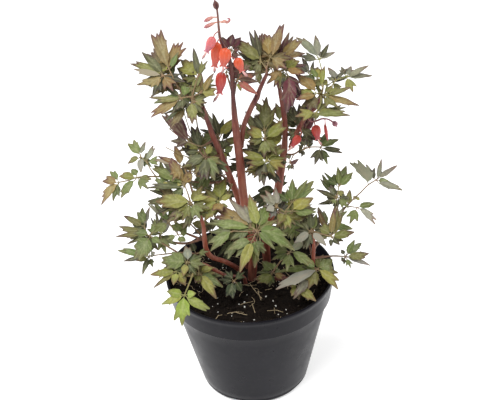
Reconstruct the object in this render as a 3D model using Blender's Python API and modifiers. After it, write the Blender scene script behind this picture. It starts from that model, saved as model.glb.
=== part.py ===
"""Bleeding heart plant in a round nursery pot.  Metres, +Z up, origin at the centre of the pot's flat underside.

Sizes below are in millimetres and MM turns them into metres.
"""
import math

import bmesh
import bpy
import numpy as np
from mathutils.bvhtree import BVHTree

MM = 0.001

# ---------------------------------------------------------------- layout plane
# The plant is set out on a sloping front layout: u to the right, v down, and y the
# distance in mm behind the pot's axis.  sight() gives the line of one (u, v).
EYE = (4.0, -873.0, 763.0)
SLOPE = math.radians(32.16)
LEAN = math.radians(-3.13)
REACH = 1063.0


def vec(p):
    return np.array(p, dtype=float)


def unit(a):
    n = math.sqrt(float(a[0] * a[0] + a[1] * a[1] + a[2] * a[2]))
    return a / n if n > 1e-9 else a


def cross(a, b):
    return np.array([a[1] * b[2] - a[2] * b[1], a[2] * b[0] - a[0] * b[2], a[0] * b[1] - a[1] * b[0]])


def dot(a, b):
    return float(a[0] * b[0] + a[1] * b[1] + a[2] * b[2])


_FW = vec((0.0, math.cos(SLOPE), -math.sin(SLOPE)))
_RT = vec((1.0, 0.0, 0.0))
_UP = cross(_RT, _FW)
_R2 = _RT * math.cos(LEAN) + _UP * math.sin(LEAN)
_U2 = _UP * math.cos(LEAN) - _RT * math.sin(LEAN)
EYE_AT = vec(EYE)


def sight(u, v):
    return unit(_FW + _R2 * ((u - 250.0) / REACH) - _U2 * ((v - 200.0) / REACH))


def at_depth(u, v, y):
    d = sight(u, v)
    return EYE_AT + d * ((y - EYE_AT[1]) / d[1])


def on_plane(u, v, p0, n, most=55.0):
    """The point of the layout line (u, v) on the plane through p0, held within `most` mm of p0's depth."""
    d = sight(u, v)
    k = dot(d, n)
    p = EYE_AT + d * (dot(p0 - EYE_AT, n) / k) if abs(k) > 1e-6 else at_depth(u, v, p0[1])
    if abs(p[1] - p0[1]) > most:
        p = at_depth(u, v, p0[1] + math.copysign(most, p[1] - p0[1]))
    return p


# ---------------------------------------------------------------- pot and soil (mm)
POT_H = 130.0
POT_R_TOP = 85.0
POT_R_BASE = 56.0
COLLAR_H = 25.0
COLLAR_STEP = 2.6
POT_R_NECK = 78.9
WALL = 2.0
FLOOR_T = 2.6
SOIL_TOP = 119.0
CLEAR = 0.3

# ---------------------------------------------------------------- stems
# name, points (u, v, y), radii in mm at the points
STEMS = [
    ("stem_main",
     [(252, 279, 0), (253, 252, -2), (249, 225, -4), (244, 200, -4), (241, 171, -3), (238.5, 149, -2), (236, 130, -1),
      (234.5, 115, 0), (233, 95, 0), (232.5, 81, 0), (231, 68, 0), (228.5, 56, 0), (224, 47, 0), (220.5, 40, 0),
      (218.8, 28, 0), (217.8, 16, 0), (217, 9.5, 0), (216.4, 7, 0), (215.6, 4, 0), (214.6, 0.5, 0)],
     [4.4, 4.4, 4.3, 4.2, 4.1, 3.9, 3.6, 2.7, 2.0, 2.3, 2.0, 1.7, 1.6, 1.3, 1.1, 0.9, 0.9, 2.6, 2.7, 0.6]),
    ("stem_right_upper",
     [(241.2, 147, 4.8), (242, 137, 4.8), (244, 125, 5), (248, 115, 5), (252, 106, 6), (257, 97, 7), (259.5, 90, 8),
      (263, 82, 9), (266.8, 74, 10)],
     [2.4, 2.4, 2.4, 2.5, 2.5, 2.7, 2.0, 1.9, 1.7]),
    ("stem_right",
     [(267, 262, 30), (266, 240, 29), (270, 218, 28), (275, 202, 28), (278, 190, 27), (280.5, 172, 26), (283.5, 155, 25.5),
      (285, 137, 25), (284.5, 120, 24), (283, 108, 23.5), (281, 97, 23), (279, 85, 21.5), (276.3, 72, 20)],
     [4.3, 4.3, 4.2, 4.2, 4.2, 4.1, 3.6, 2.8, 2.6, 2.3, 2.1, 1.9, 1.8]),
    ("stem_right_outer",
     [(290.6, 147.5, 24.5), (294, 138, 24), (299, 128, 22), (304.5, 119, 20), (310, 112.5, 18), (316, 107, 17),
      (319, 101, 16), (321, 94.5, 16)],
     [2.4, 2.3, 2.2, 2.1, 2.0, 2.0, 1.8, 1.6]),
    ("stem_left",
     [(248, 265, 20), (243, 240, 16), (240.5, 215, 12), (239.5, 203, 9.5), (236, 192, 7), (231, 179, 4),
      (225.7, 166, 1), (218.6, 149, -3), (212.5, 135, -6), (209, 125, -8), (206, 117, -10), (203, 108, -12)],
     [3.2, 3.2, 3.1, 3.1, 3.1, 3.0, 3.0, 2.9, 2.6, 2.3, 2.1, 2.0]),
    ("stem_low_left",
     [(240, 271, -3), (226, 262, -12), (212, 257, -18), (206.5, 250, -22), (204.5, 238, -26), (203, 224, -28),
      (198, 210.5, -30)],
     [2.6, 2.4, 2.4, 2.5, 2.3, 1.8, 1.5]),
    ("stem_low_front",
     [(243.5, 277.5, -9), (227, 276, -20), (213, 269, -28), (203, 264, -34), (196, 263.5, -38)],
     [1.9, 1.8, 1.7, 1.6, 1.4]),
    ("stem_low_right",
     [(262, 277, 0), (280, 279, -18), (302, 276, -32), (312, 268, -38), (313.5, 255, -38), (313.5, 240, -37),
      (312.5, 228, -36)],
     [1.9, 1.8, 1.8, 1.8, 1.7, 1.6, 1.4]),
]

# ---------------------------------------------------------------- leaves
# name, tone, hub (u, v), hub depth, plane normal, stalk points (u, v, y) from the stem up to the hub,
# then twigs: (path of (u, v) from an earlier hub, blades at its end).
# One blade: base u, v, [lobe tips u, v ...], width in mm, {t: tone, f: 1 where its underside is in front}
LEAVES = [
    ("leaf_top_left", "bronze", (172, 75), 0, (-0.25, -0.55, 0.8), [(204.8, 113, -9), (190, 97.5, -4), (178, 87, -2)], [
        ([(172, 75), (169, 69)], [
            (166.5, 64, [(154, 38.5), (160, 37.5), (164.2, 33.8)], 12),
            (163, 58, [(144.5, 44.5), (151, 42.5)], 8),
            (169, 63, [(171.5, 39), (176.3, 38.5), (181.3, 38), (185.5, 45.3)], 12, {}),
            (172.5, 66, [(179.3, 53)], 5, {"t": "green"}),
            (166, 70, [(157.5, 59)], 7, {"t": "yellow"})]),
        ([(172, 75), (163, 75)], [
            (160, 70, [(141.8, 52), (147, 55)], 8, {"t": "dark"}),
            (158, 72, [(127, 60), (133, 58), (140, 61)], 9, {"t": "olive"}),
            (157, 75, [(134.5, 70.3), (139, 74.5)], 6, {"f": 1}),
            (160, 78, [(134, 82.3), (140, 78), (145, 84), (149.5, 87), (157, 85.5)], 10)]),
    ]),
    ("leaf_upper_left", "olive", (192, 97), -16, (-0.15, -0.5, 0.85), [(202.3, 105.8, -13)], [
        ([(192, 97), (182, 98)], [
            (175, 93, [(162.5, 82.3), (168, 89)], 6, {"t": "dark"}),
            (176, 97, [(149, 94.5), (157, 92.5)], 9, {"t": "green"}),
            (177, 100, [(149.5, 100.3), (160, 103.5)], 5),
            (173, 104, [(148.5, 109.7), (157, 104.5), (148, 114.3), (160, 112.5)], 10, {"t": "bronze"}),
            (184, 103, [(176.3, 110), (183, 109.5)], 8, {"t": "dark"}),
            (187, 93, [(181, 82), (185.5, 85.5), (190, 86.5)], 7, {"t": "green"})]),
        ([(192, 97), (195, 86), (198, 77)], [
            (195, 73, [(176.5, 67), (180.3, 58.5), (184.3, 58)], 13, {"t": "yellow"}),
            (198, 70, [(186.5, 50.5)], 5, {"t": "dark"}),
            (199, 70, [(194.8, 51)], 5, {"t": "dark"}),
            (200, 72, [(206, 61)], 4),
            (202, 72, [(210.5, 67.5), (204, 66)], 4)]),
        ([(192, 97), (200, 93)], [
            (203, 93, [(216.3, 88), (215, 94.5)], 9, {"t": "yellow"}),
            (205.5, 86, [(211.5, 70.5), (213.5, 77)], 6, {"t": "green"}),
            (202.5, 86, [(203.5, 77.5)], 4, {"t": "dark"}),
            (208, 89, [(216.5, 79.5)], 5, {"t": "bronze"})]),
        ([(192, 97), (192, 101)], [
            (192, 104, [(187.5, 118), (191.7, 123.2), (196, 119.5)], 10)]),
    ]),
    ("leaf_plum_left", "plum", (189, 142), -14, (-0.4, -0.75, 0.5), [(213, 142, -8), (201, 146, -12)], [
        ([], [
            (186, 138, [(159.3, 114.3), (163, 112)], 8),
            (184.5, 133, [(166, 110.5), (170.5, 110)], 10),
            (187, 135, [(176.5, 119.5), (181, 117), (183.5, 120)], 7)]),
    ]),
    ("leaf_mid_left", "olive", (206, 157), -19, (-0.25, -0.5, 0.8), [(219, 158, -6), (212, 157, -14)], [
        ([(206, 157), (200, 151)], [
            (197.5, 148, [(178.3, 141.3), (186, 143)], 7, {"t": "yellow"}),
            (196, 151.5, [(184.5, 152.3)], 4.5, {"t": "dark"}),
            (198.5, 146, [(194.5, 131), (201, 131)], 9, {"t": "dark"}),
            (202, 147, [(203, 133), (207.5, 131)], 5, {"t": "green"})]),
        ([], [
            (208, 153, [(209.3, 142.5), (212.5, 146)], 7, {"t": "yellow"}),
            (202, 157, [(191, 166), (184.5, 163), (187, 157.5)], 10, {"t": "dark"}),
            (205, 162, [(200, 179), (207, 179.5)], 10, {"t": "dark"}),
            (210, 160, [(213, 179), (218, 172)], 8, {"t": "green"})]),
        ([(200, 151), (199.3, 140), (197.5, 127), (195.5, 113)], []),
        ([(206, 157), (204, 150), (196, 142), (190, 131), (186, 119), (183.7, 111.5)], []),
    ]),
    ("leaf_inner_left", "green", (219, 140), 6, (0.1, -0.55, 0.85), [(213.5, 140, -4)], [
        ([(219, 140), (218.8, 136)], [
            (218, 131, [(212.5, 111)], 5, {"t": "dark"}),
            (216.5, 131, [(206, 110.5), (209, 112)], 4.5, {"f": 1}),
            (222, 132, [(235, 117), (233, 125)], 9, {"t": "yellow"})]),
        ([(219, 140), (222, 150)], [
            (224, 144, [(220, 139), (226, 137.5), (230, 141)], 10, {"t": "dark"}),
            (225, 151, [(233, 146), (231, 152)], 7),
            (223, 154, [(227, 159), (221, 158)], 7, {"t": "yellow"})]),
    ]),
    ("leaf_top_mid", "bronze", (266.5, 69), 7, (-0.1, -0.6, 0.8), [(266.9, 72.5, 10)], [
        ([(266.5, 69), (261, 61)], [
            (258, 57, [(241, 53.5), (235, 49.3), (239, 44.3)], 14, {"t": "olive"}),
            (257.5, 52, [(249, 31.5)], 4.5, {"t": "dark"}),
            (259.5, 50, [(255.5, 34)], 4.5, {"t": "dark"}),
            (260, 65, [(254, 70), (252, 62.5), (256, 60)], 10, {"t": "yellow"})]),
        ([(266.5, 69), (270, 57)], [
            (268, 52, [(264, 32), (269, 33.5)], 11),
            (271.5, 51, [(273.3, 27), (277.6, 27)], 9),
            (275.5, 53, [(281, 28.5), (285, 27.5)], 9)]),
    ]),
    ("leaf_top_right", "bronze", (277, 67), 18, (0.15, -0.6, 0.8), [(276.5, 70.5, 20)], [
        ([(277, 67), (280, 58)], [
            (281.5, 52, [(287, 36), (290, 30)], 6, {"t": "plum"}),
            (283.5, 52, [(292, 35), (295.3, 30.5)], 6, {"t": "plum"}),
            (285.5, 54, [(296, 41), (301.5, 43)], 9),
            (286, 57, [(301, 48), (307.5, 48)], 7),
            (284, 61, [(292, 57.5), (287, 65)], 10, {"t": "yellow"})]),
        ([(277, 67), (284, 69)], [
            (288, 67, [(295, 59), (300, 61)], 8, {"t": "yellow"}),
            (293, 68.5, [(304, 60), (308.5, 60)], 5, {"t": "plum"}),
            (291, 71, [(306, 72.5)], 6)]),
        ([(284, 69), (288, 75)], [
            (289.5, 80, [(287, 112), (293, 106)], 13, {"t": "plum"}),
            (284.5, 79, [(283.5, 87.5)], 6, {"t": "dark"})]),
    ]),
    ("leaf_right_upper", "yellow", (321, 92), 9, (0.1, -0.5, 0.85), [(321.3, 93.2, 13)], [
        ([(321, 92), (323, 87)], [
            (321.5, 85, [(320, 74), (323, 72.5)], 5),
            (324, 85, [(327.3, 76.5)], 4)]),
        ([(321, 92), (316, 93)], [
            (313, 88, [(295, 72), (301, 74)], 12, {"t": "bronze"}),
            (312, 92.5, [(292, 94.5), (300, 89)], 9),
            (313, 97, [(299, 99.5), (295, 103)], 8, {"t": "bronze"})]),
        ([(321, 92), (326, 94)], [
            (329, 91, [(341.5, 87.7), (338, 92)], 6),
            (331, 95, [(350, 93.5), (343, 96)], 6, {"t": "olive"}),
            (332, 99, [(361, 102), (345, 102)], 8, {"t": "bronze"}),
            (328, 101, [(338, 109), (325, 108)], 7, {"t": "olive"})]),
        ([(321, 92), (320.5, 104), (316, 112.5)], [
            (319, 113, [(341, 111), (335, 110)], 8, {"t": "olive"}),
            (319, 116.5, [(351, 117), (346, 112)], 7, {"t": "olive"})]),
        ([(323, 87), (322, 79.5), (321.6, 70), (319, 59.5)], [
            (314, 52, [(296, 35.5), (303, 36.3)], 9, {"t": "grey"}),
            (316.5, 51, [(315, 36), (317.3, 39)], 7, {"t": "grey"}),
            (321, 55.5, [(321.5, 46.5), (324.5, 49)], 5, {"t": "grey"}),
            (323.5, 56, [(328.3, 46)], 4, {"t": "dark"}),
            (324, 58, [(330, 51), (336, 50)], 5, {"t": "grey"})]),
        ([(322, 79.5), (317.5, 80)], [
            (316, 77, [(310, 67.5), (313, 70)], 6, {"t": "green"}),
            (318, 76, [(319, 63.5)], 8, {})]),
        ([(326, 94), (331, 87.5), (336, 80.5)], [
            (334.5, 76, [(328, 66.5), (334, 71)], 7, {"t": "grey"}),
            (339, 78.5, [(339.5, 73.5)], 4, {"t": "grey"})]),
        ([(336, 80.5), (346, 76.5)], [
            (348, 73, [(351.5, 65.5)], 4.5, {"t": "grey"}),
            (350, 74, [(355.5, 68), (359.3, 69)], 8, {"t": "grey"}),
            (352, 76, [(367, 72.3)], 5, {"t": "grey"}),
            (352, 77.5, [(372.5, 76.5), (363, 76)], 6, {"t": "grey"})]),
    ]),
    ("leaf_dark_clump", "dark", (303, 131), 12, (0.0, -0.8, 0.6), [(299.5, 131, 19)], [
        ([(303, 131), (303, 124)], [
            (300.5, 117, [(299, 103)], 6),
            (304, 117, [(305, 103.5), (309, 102)], 7),
            (307, 117, [(311.5, 104.7)], 5)]),
        ([], [
            (304.5, 129, [(314, 114.5), (311, 118)], 11, {"t": "plum"})]),
    ]),
    ("leaf_mid", "olive", (265, 138), 14, (0.0, -0.7, 0.7), [(280, 154, 21), (271, 146, 17)], [
        ([(265, 138), (265, 131)], [
            (263.5, 122, [(261, 104), (266.5, 95.3), (269, 108)], 11),
            (269.5, 122, [(273, 108), (276.3, 103)], 6),
            (260.5, 126, [(251.5, 118), (254, 115.5)], 6, {"t": "dark"}),
            (259.5, 130, [(256, 123.3)], 4, {"t": "dark"})]),
        ([], [
            (260, 136.5, [(246, 132), (250.5, 126)], 9, {"t": "yellow"}),
            (270, 135.5, [(287, 127), (283, 119)], 9, {"t": "yellow"})]),
    ]),
    ("leaf_mid_front", "yellow", (267, 160), -4, (0.0, -0.45, 0.9), [(279, 163, 20), (274, 162, 8)], [
        ([(267, 160), (266, 151)], [
            (259, 145, [(247.5, 145), (249.5, 139)], 9, {"t": "dark"}),
            (265, 145, [(262, 139)], 6),
            (272, 146, [(275, 130), (283, 130)], 13),
            (260, 151, [(250, 153), (247, 148)], 7)]),
        ([], [
            (261, 158, [(243, 159), (240.5, 150)], 8, {}),
            (262, 162, [(246, 165.5)], 5),
            (262, 165, [(250, 172), (246, 169.5)], 7, {"t": "olive"}),
            (263, 168, [(264, 183), (259, 180), (255, 173)], 10, {"t": "dark"}),
            (275, 152, [(286, 147), (281, 142)], 8, {"t": "olive"})]),
    ]),
    ("leaf_right_small", "dark", (320.5, 147), 8, (0.1, -0.5, 0.85), [(287, 157, 21), (294, 154, 16), (300, 150.5, 13), (310, 147.2, 10)], [
        ([], [
            (322, 146, [(333, 139.5), (339.3, 138.3)], 8, {"t": "green"}),
            (324, 149, [(343.3, 152.2), (341.5, 148.5)], 6)]),
        ([(303, 149.6), (305, 148)], [
            (304.5, 145.5, [(300.5, 141), (306, 139.5)], 7),
            (308, 145.5, [(309, 138), (314, 140)], 6),
            (302, 151, [(298.5, 148), (299, 153.5)], 5)]),
        ([(294, 154), (290, 162)], [
            (291, 163.5, [(295, 159.3)], 4, {"t": "plum"}),
            (291.5, 164.5, [(298.5, 160.3)], 3.5, {"t": "plum"})]),
    ]),
    ("leaf_right_fan", "green", (285, 212), -45, (0.2, -0.5, 0.85), [(277, 213, 21), (282, 213, -14)], [
        ([(285, 212), (292, 203)], [
            (291.5, 197, [(293, 177)], 6),
            (287, 198, [(288.5, 185.3)], 5),
            (297, 195, [(308.7, 177.5)], 5),
            (299, 197, [(316.2, 176)], 8),
            (303, 197.5, [(314.3, 189)], 4)]),
        ([(285, 212), (292, 211)], [
            (296, 207, [(305, 199), (313, 199.3)], 12, {"t": "yellow"}),
            (299, 212, [(318, 210), (306, 215)], 7)]),
        ([], [
            (287, 216, [(291, 228), (285, 229)], 7, {"t": "yellow"}),
            (282, 217, [(277, 226)], 7, {"t": "olive"})]),
        ([(285, 212), (277, 207)], [
            (271, 203, [(260, 194)], 6, {"t": "grey"}),
            (272.5, 201, [(264, 192)], 5, {"t": "grey"}),
            (274, 200, [(269.5, 189)], 5, {"t": "grey"}),
            (276, 200, [(275.5, 187)], 5, {"t": "grey"}),
            (279, 200, [(282, 190)], 5, {"t": "grey"}),
            (273, 207.5, [(266, 210)], 6, {"t": "grey", "f": 1})]),
    ]),
    ("leaf_central", "green", (257, 231), -64, (-0.05, -0.6, 0.8), [(257.5, 266, -7), (259, 250, -36)], [
        ([(257, 231), (251, 227)], [
            (246, 228, [(206.5, 222), (212, 219)], 9),
            (244, 222, [(213, 213.5), (215, 206.5), (222, 204)], 13, {"t": "bronze"}),
            (247.5, 219, [(229.5, 202), (233.5, 203)], 7, {"t": "grey"}),
            (251, 219, [(238, 202), (244, 203)], 8, {"t": "grey"})]),
        ([], [
            (256, 217, [(249, 193.5)], 8, {"t": "yellow"}),
            (262, 220, [(260, 205), (266, 199), (270, 207)], 11, {"t": "green"}),
            (263, 234, [(275, 249)], 5),
            (265, 229, [(294.5, 247.3), (287, 233), (280, 228)], 14)]),
        ([(257, 231), (245, 231.5), (233, 231)], [
            (229, 233, [(207.5, 242.5), (210, 250.5)], 9)]),
        ([(257, 231), (252.5, 240)], [
            (248, 242, [(228, 249), (233, 242.5)], 9),
            (249.5, 248, [(239.3, 272)], 8, {"t": "yellow"}),
            (256, 243, [(258, 254.5), (253, 250)], 8)]),
    ]),
    ("leaf_tall_right", "green", (337, 197), -2, (0.2, -0.55, 0.8), [(314.5, 246, -34), (325, 236, -24), (332.5, 222, -14), (336, 207, -6)], [
        ([(337, 197), (338.7, 187)], [
            (339, 181, [(338.2, 165.5)], 4.5),
            (341, 181, [(344, 168), (349.5, 160.5)], 8),
            (343, 182.5, [(353.3, 171.8)], 6)]),
        ([], [
            (333, 197.5, [(316, 188.5)], 4.5, {"t": "dark"}),
            (333.5, 193.5, [(326.5, 190), (329, 187.5)], 7, {"t": "dark"}),
            (339.5, 195, [(341, 189), (346, 186.8)], 8, {"t": "yellow"})]),
    ]),
    ("leaf_far_right", "green", (347, 206), -6, (0.25, -0.5, 0.85), [(313.8, 232, -33), (328, 236, -26), (338, 229, -18), (342, 217, -12), (343.5, 210, -9)], [
        ([(347, 206), (357, 207.5)], [
            (361, 206.5, [(370, 203.3), (375.5, 203)], 7),
            (362, 210, [(378, 222.3), (379.5, 217), (376, 211.5)], 8, {"t": "grey"})]),
        ([], [
            (344, 202.5, [(338, 199)], 7, {"t": "grey", "f": 1}),
            (348.7, 200, [(350.5, 188.5)], 5, {"t": "olive"})]),
        ([(347, 206), (353, 199.5), (360, 193), (368.5, 184.7)], [
            (367, 180, [(350, 159.7), (354.5, 160.3), (358, 158), (363.5, 163.7), (368.3, 165), (373, 172)], 14, {"f": 1})]),
        ([(353, 199.5)], [
            (356, 199, [(357, 193.5), (361.3, 194.7)], 7, {"t": "yellow"})]),
        ([(368.5, 184.7), (376, 180)], [
            (379.5, 175, [(382.5, 157)], 4, {"t": "grey"}),
            (382, 173, [(385, 164.5), (388.5, 167)], 6, {"t": "dark"}),
            (384, 174.5, [(395, 169.2)], 4.5, {"t": "grey"}),
            (381, 181, [(391, 187), (395, 180.5), (390, 178.3)], 10),
            (382, 186, [(400.5, 194.5), (397, 190)], 7, {"t": "grey"})]),
    ]),
    ("leaf_low_far_right", "green", (345.5, 256.5), -34, (0.3, -0.5, 0.8), [(315.6, 258, -38), (333, 256, -36)], [
        ([], [
            (349, 249.5, [(355.3, 239)], 5),
            (351, 251, [(358, 242), (366, 238.3)], 8),
            (351, 256.5, [(366, 257.5), (370, 252.7)], 8, {"t": "olive"}),
            (352, 259, [(374, 262.5)], 4.5, {"t": "grey"}),
            (343, 252, [(341, 249.5)], 4, {"t": "dark"}),
            (343.5, 259, [(341.5, 261)], 4, {"t": "dark"})]),
    ]),
    ("leaf_rim_right", "green", (317.5, 269), -47, (0.2, -0.5, 0.85), [(313.5, 270, -41)], [
        ([], [
            (322, 272, [(339, 288.3), (340, 280)], 9, {"t": "yellow"}),
            (322, 266, [(334.5, 266), (333.5, 257)], 12),
            (312, 272.5, [(276, 288.2), (278.5, 283)], 10, {"t": "grey", "f": 1}),
            (311, 269, [(280, 268.3), (289, 265.5)], 8),
            (311, 265, [(299, 259)], 6)]),
    ]),
    ("leaf_front_right", "green", (290, 252), -50, (0.1, -0.5, 0.85), [(267.5, 278, -7), (272.5, 272.5, -24), (280, 262, -38)], [
        ([], [
            (294, 252, [(314.5, 263.5), (309, 265)], 9),
            (294, 247.5, [(308, 238)], 6, {"f": 1})]),
        ([(272.5, 272.5)], [
            (271, 268, [(262, 260.5)], 8),
            (275.5, 266.5, [(275, 260)], 6),
            (269, 276.5, [(267, 284.5), (257, 283), (253.5, 279)], 10, {"t": "olive"}),
            (277, 275, [(286, 275.5), (283, 280)], 6, {"t": "bronze"})]),
    ]),
    ("leaf_soil_right", "yellow", (299, 286), -55, (0.1, -0.5, 0.85), [(298.5, 278.5, -32), (299, 281, -44)], [
        ([], [
            (303, 284, [(319.5, 279.3)], 7, {"t": "olive"}),
            (296, 289, [(290, 292), (291.5, 296)], 7),
            (303, 289, [(316.5, 300.3), (304, 297)], 10),
            (295, 285, [(290.5, 285)], 5)]),
    ]),
    ("leaf_right_low", "dark", (311, 231), -46, (0.1, -0.6, 0.8), [(312.8, 234, -39)], [
        ([], [
            (306, 229, [(300, 221), (305, 216)], 8),
            (305, 235, [(294, 243)], 6, {"f": 1}),
            (311, 226, [(309, 213)], 6),
            (313.5, 226, [(317, 213)], 5, {"t": "green"}),
            (315, 229, [(321.5, 212)], 6),
            (316, 236, [(327, 245.5)], 6, {"f": 1, "t": "grey"})]),
        ([(311, 231), (320, 233.5), (331, 236.5)], [
            (337, 236.5, [(355.3, 231.2)], 7, {"t": "olive"}),
            (334.5, 240.5, [(340, 244.7)], 4),
            (331, 241, [(331, 246.5)], 3.5),
            (336, 230, [(342.5, 213), (338, 205)], 7, {"t": "olive"}),
            (331.5, 229, [(333, 209.5)], 5, {"t": "bronze"}),
            (327, 231, [(318, 226), (324, 219)], 8, {"t": "olive"})]),
    ]),
    ("leaf_left", "green", (191, 203), -38, (-0.2, -0.5, 0.85), [(196.3, 208, -32)], [
        ([], [
            (185, 201, [(160.5, 205.5), (154, 200), (161, 195)], 15, {"t": "yellow"}),
            (185, 206, [(165, 211), (171, 216)], 9, {"t": "olive"}),
            (194, 199.5, [(211, 196), (203, 193.5)], 5, {"t": "yellow"})]),
        ([(191, 203), (188, 194), (185, 186)], [
            (178, 179, [(150.5, 166.5), (152, 163)], 10),
            (175, 172.5, [(161.3, 160)], 5, {"t": "dark"}),
            (178, 183.5, [(155, 185.3), (156, 182.3), (154.5, 178.5)], 8, {"t": "yellow"}),
            (181.5, 176, [(171.5, 166.5), (174, 162.5)], 10, {"t": "bronze"}),
            (184, 172, [(179.5, 155)], 6, {"t": "dark"}),
            (187, 180, [(191, 170)], 8, {"t": "bronze"}),
            (178, 189, [(147, 191.5), (152.5, 187)], 5, {"t": "dark"})]),
    ]),
    ("leaf_far_left", "green", (137, 177.5), 2, (-0.3, -0.5, 0.8), [(229, 182, 3), (205, 183, 10), (180, 179, 8), (156, 176.5, 4)], [
        ([], [
            (132, 178, [(120.5, 178), (124, 174.5)], 8, {"t": "yellow"}),
            (130, 185, [(120, 197.5), (119.5, 192)], 9),
            (136, 174, [(129, 167), (134, 168)], 7)]),
        ([(137, 177.5), (128, 180.5), (119, 182.3)], [
            (115.5, 177, [(109, 170.5), (114, 170)], 6),
            (113, 183, [(103, 182.3), (107, 176.5)], 8, {"t": "bronze"}),
            (115, 187, [(97.8, 203), (98.5, 195), (99.5, 190)], 10, {"t": "bronze"})]),
        ([(156, 176.5), (151, 170), (146.5, 162.5)], [
            (147.5, 158.5, [(153, 144.5), (155, 147.5)], 6, {"t": "grey"}),
            (145.8, 158, [(144, 151), (147, 149.5)], 5, {"t": "dark"})]),
        ([(146.5, 162.5), (140.5, 156)], [
            (138.5, 152.5, [(126.5, 142.5), (133, 138.5)], 8),
            (141.3, 151.5, [(143.3, 139)], 4.5, {"t": "grey"}),
            (137, 160, [(127, 163.5), (130, 158)], 6, {"t": "olive"}),
            (141, 162, [(140.5, 172.5)], 6, {"t": "grey", "f": 1})]),
    ]),
    ("leaf_low_left", "green", (146, 234), -14, (-0.2, -0.6, 0.75), [(203.5, 240, -29), (186, 243, -22), (172, 242, -18), (158, 239.5, -16)], [
        ([(146, 234), (144.5, 226)], [
            (144, 220, [(136.5, 211.5), (142, 207)], 8),
            (146, 221, [(148, 205)], 4, {"t": "grey"}),
            (138, 225, [(125, 217.3), (134, 219)], 7, {"t": "olive"})]),
        ([], [
            (138.5, 229.5, [(121, 230), (117, 225.5)], 6, {"t": "olive"}),
            (139.5, 232.5, [(116.5, 238.3)], 4.5, {"t": "olive"}),
            (146.5, 240, [(147, 252), (142.5, 246)], 10),
            (140.5, 238.5, [(133, 240.3)], 4)]),
        ([(158, 239.5), (160, 235)], [
            (155.5, 231, [(153.5, 217.5)], 4),
            (158.5, 229, [(157.5, 211)], 3, {"t": "dark"}),
            (162.5, 229, [(159, 213.3), (164, 213.5)], 8),
            (167, 231, [(169.5, 213)], 7, {"t": "grey"})]),
    ]),
    ("leaf_left_edge", "green", (149, 256), -26, (-0.3, -0.5, 0.8), [(204.5, 254.5, -25), (186, 252.5, -28), (166, 254, -28)], [
        ([], [
            (142, 256, [(115, 249), (122, 247.5)], 7),
            (141, 258, [(120, 259)], 4.5, {"t": "dark"}),
            (145, 261, [(138, 262.5)], 5, {"t": "olive"}),
            (147.5, 261, [(141, 274)], 5, {"t": "dark"}),
            (154, 257, [(158, 255)], 5, {"t": "grey"})]),
        ([(196, 253.6)], [
            (194, 258, [(188.5, 262.5), (196, 263)], 8),
            (194, 248.5, [(190, 241)], 6, {"t": "dark"})]),
    ]),
    ("leaf_curled", "green", (187, 262), -46, (-0.1, -0.55, 0.8), [(194.5, 263, -40)], [
        ([], [
            (183, 262, [(166, 268), (160.5, 262), (161, 257), (172, 251.5)], 17, {}),
            (188.5, 257, [(190, 247), (185, 245)], 8, {"t": "grey"}),
            (185, 268, [(183, 276)], 6, {"t": "yellow"})]),
    ]),
    ("leaf_left_hang", "yellow", (176.5, 271), -52, (-0.2, -0.5, 0.85), [(194.5, 266, -41), (185, 270.5, -48)], [
        ([], [
            (170, 272.5, [(149, 274)], 7),
            (170, 275.5, [(151, 286.3)], 4.5, {"t": "olive"}),
            (176, 276, [(173, 285)], 6),
            (182.5, 276, [(184, 283.5)], 7)]),
    ]),
    ("leaf_star", "lime", (184.5, 295), -70, (-0.25, -0.7, 0.65), [(196, 266.5, -42), (191, 279, -56)], [
        ([], [
            (180, 294, [(166, 291)], 7),
            (178.5, 297.5, [(158, 304)], 6),
            (183, 301, [(173, 320.8), (181, 326.3), (189.5, 316)], 12),
            (189.5, 299.5, [(206, 311), (210, 309)], 8.5),
            (189, 294.5, [(197, 293.5)], 6)]),
    ]),
    ("leaf_rim_left", "green", (199, 273), -54, (-0.05, -0.6, 0.8), [(199.5, 266.5, -41)], [
        ([], [
            (205.5, 280, [(216.5, 298.7)], 8, {"t": "yellow"}),
            (206.5, 276, [(222.5, 286), (217, 280)], 8),
            (198, 278, [(196, 284.3), (201, 283)], 7, {"t": "olive"}),
            (205, 270.5, [(214.5, 267), (208, 265)], 7, {"t": "yellow"}),
            (193, 271, [(189, 267)], 6)]),
    ]),
    ("leaf_shade", "shade", (234, 281), -22, (0.0, -0.5, 0.85), [(238, 279, -14)], [
        ([], [
            (231, 285, [(233, 298.5), (226, 296)], 9),
            (238, 284, [(241.5, 290)], 7)]),
    ]),
    ("leaf_yellow", "yellow", (219, 201), -32, (-0.1, -0.5, 0.85), [(232.5, 186, 0), (226, 196, -20)], [
        ([], [
            (221, 194, [(214, 182), (226, 176)], 10),
            (214, 199.5, [(191.5, 200.5)], 5),
            (212, 204, [(196, 213.5)], 6),
            (214, 207.5, [(203, 219.5)], 7),
            (224, 199, [(232.5, 193)], 5),
            (220, 207, [(213, 214), (224, 215)], 9, {"t": "bronze"})]),
    ]),
    ("leaf_back_left", "olive", (196, 88), 52, (-0.3, -0.1, 0.95), [(224, 160, 4), (214, 128, 30), (203, 104, 46)], [
        ([], [
            (192, 90, [(176, 97), (178, 90)], 10),
            (194, 85, [(181, 76), (187, 72)], 10),
            (199, 84, [(202, 74)], 7),
            (199, 90, [(209, 94), (211, 87)], 9)]),
    ]),
    ("leaf_back_mid", "bronze", (272, 62), 62, (0.1, -0.1, 0.95), [(279.5, 90, 25), (276, 78, 46)], [
        ([], [
            (267, 62, [(252, 60), (256, 53)], 10),
            (270, 57, [(266, 42), (271, 40)], 9),
            (275, 57, [(280, 42)], 8),
            (277, 62, [(290, 60), (288, 53)], 9)]),
    ]),
    ("leaf_back_right", "green", (292, 222), 74, (0.3, -0.15, 0.93), [(274.5, 208, 33), (283, 214, 56)], [
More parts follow.
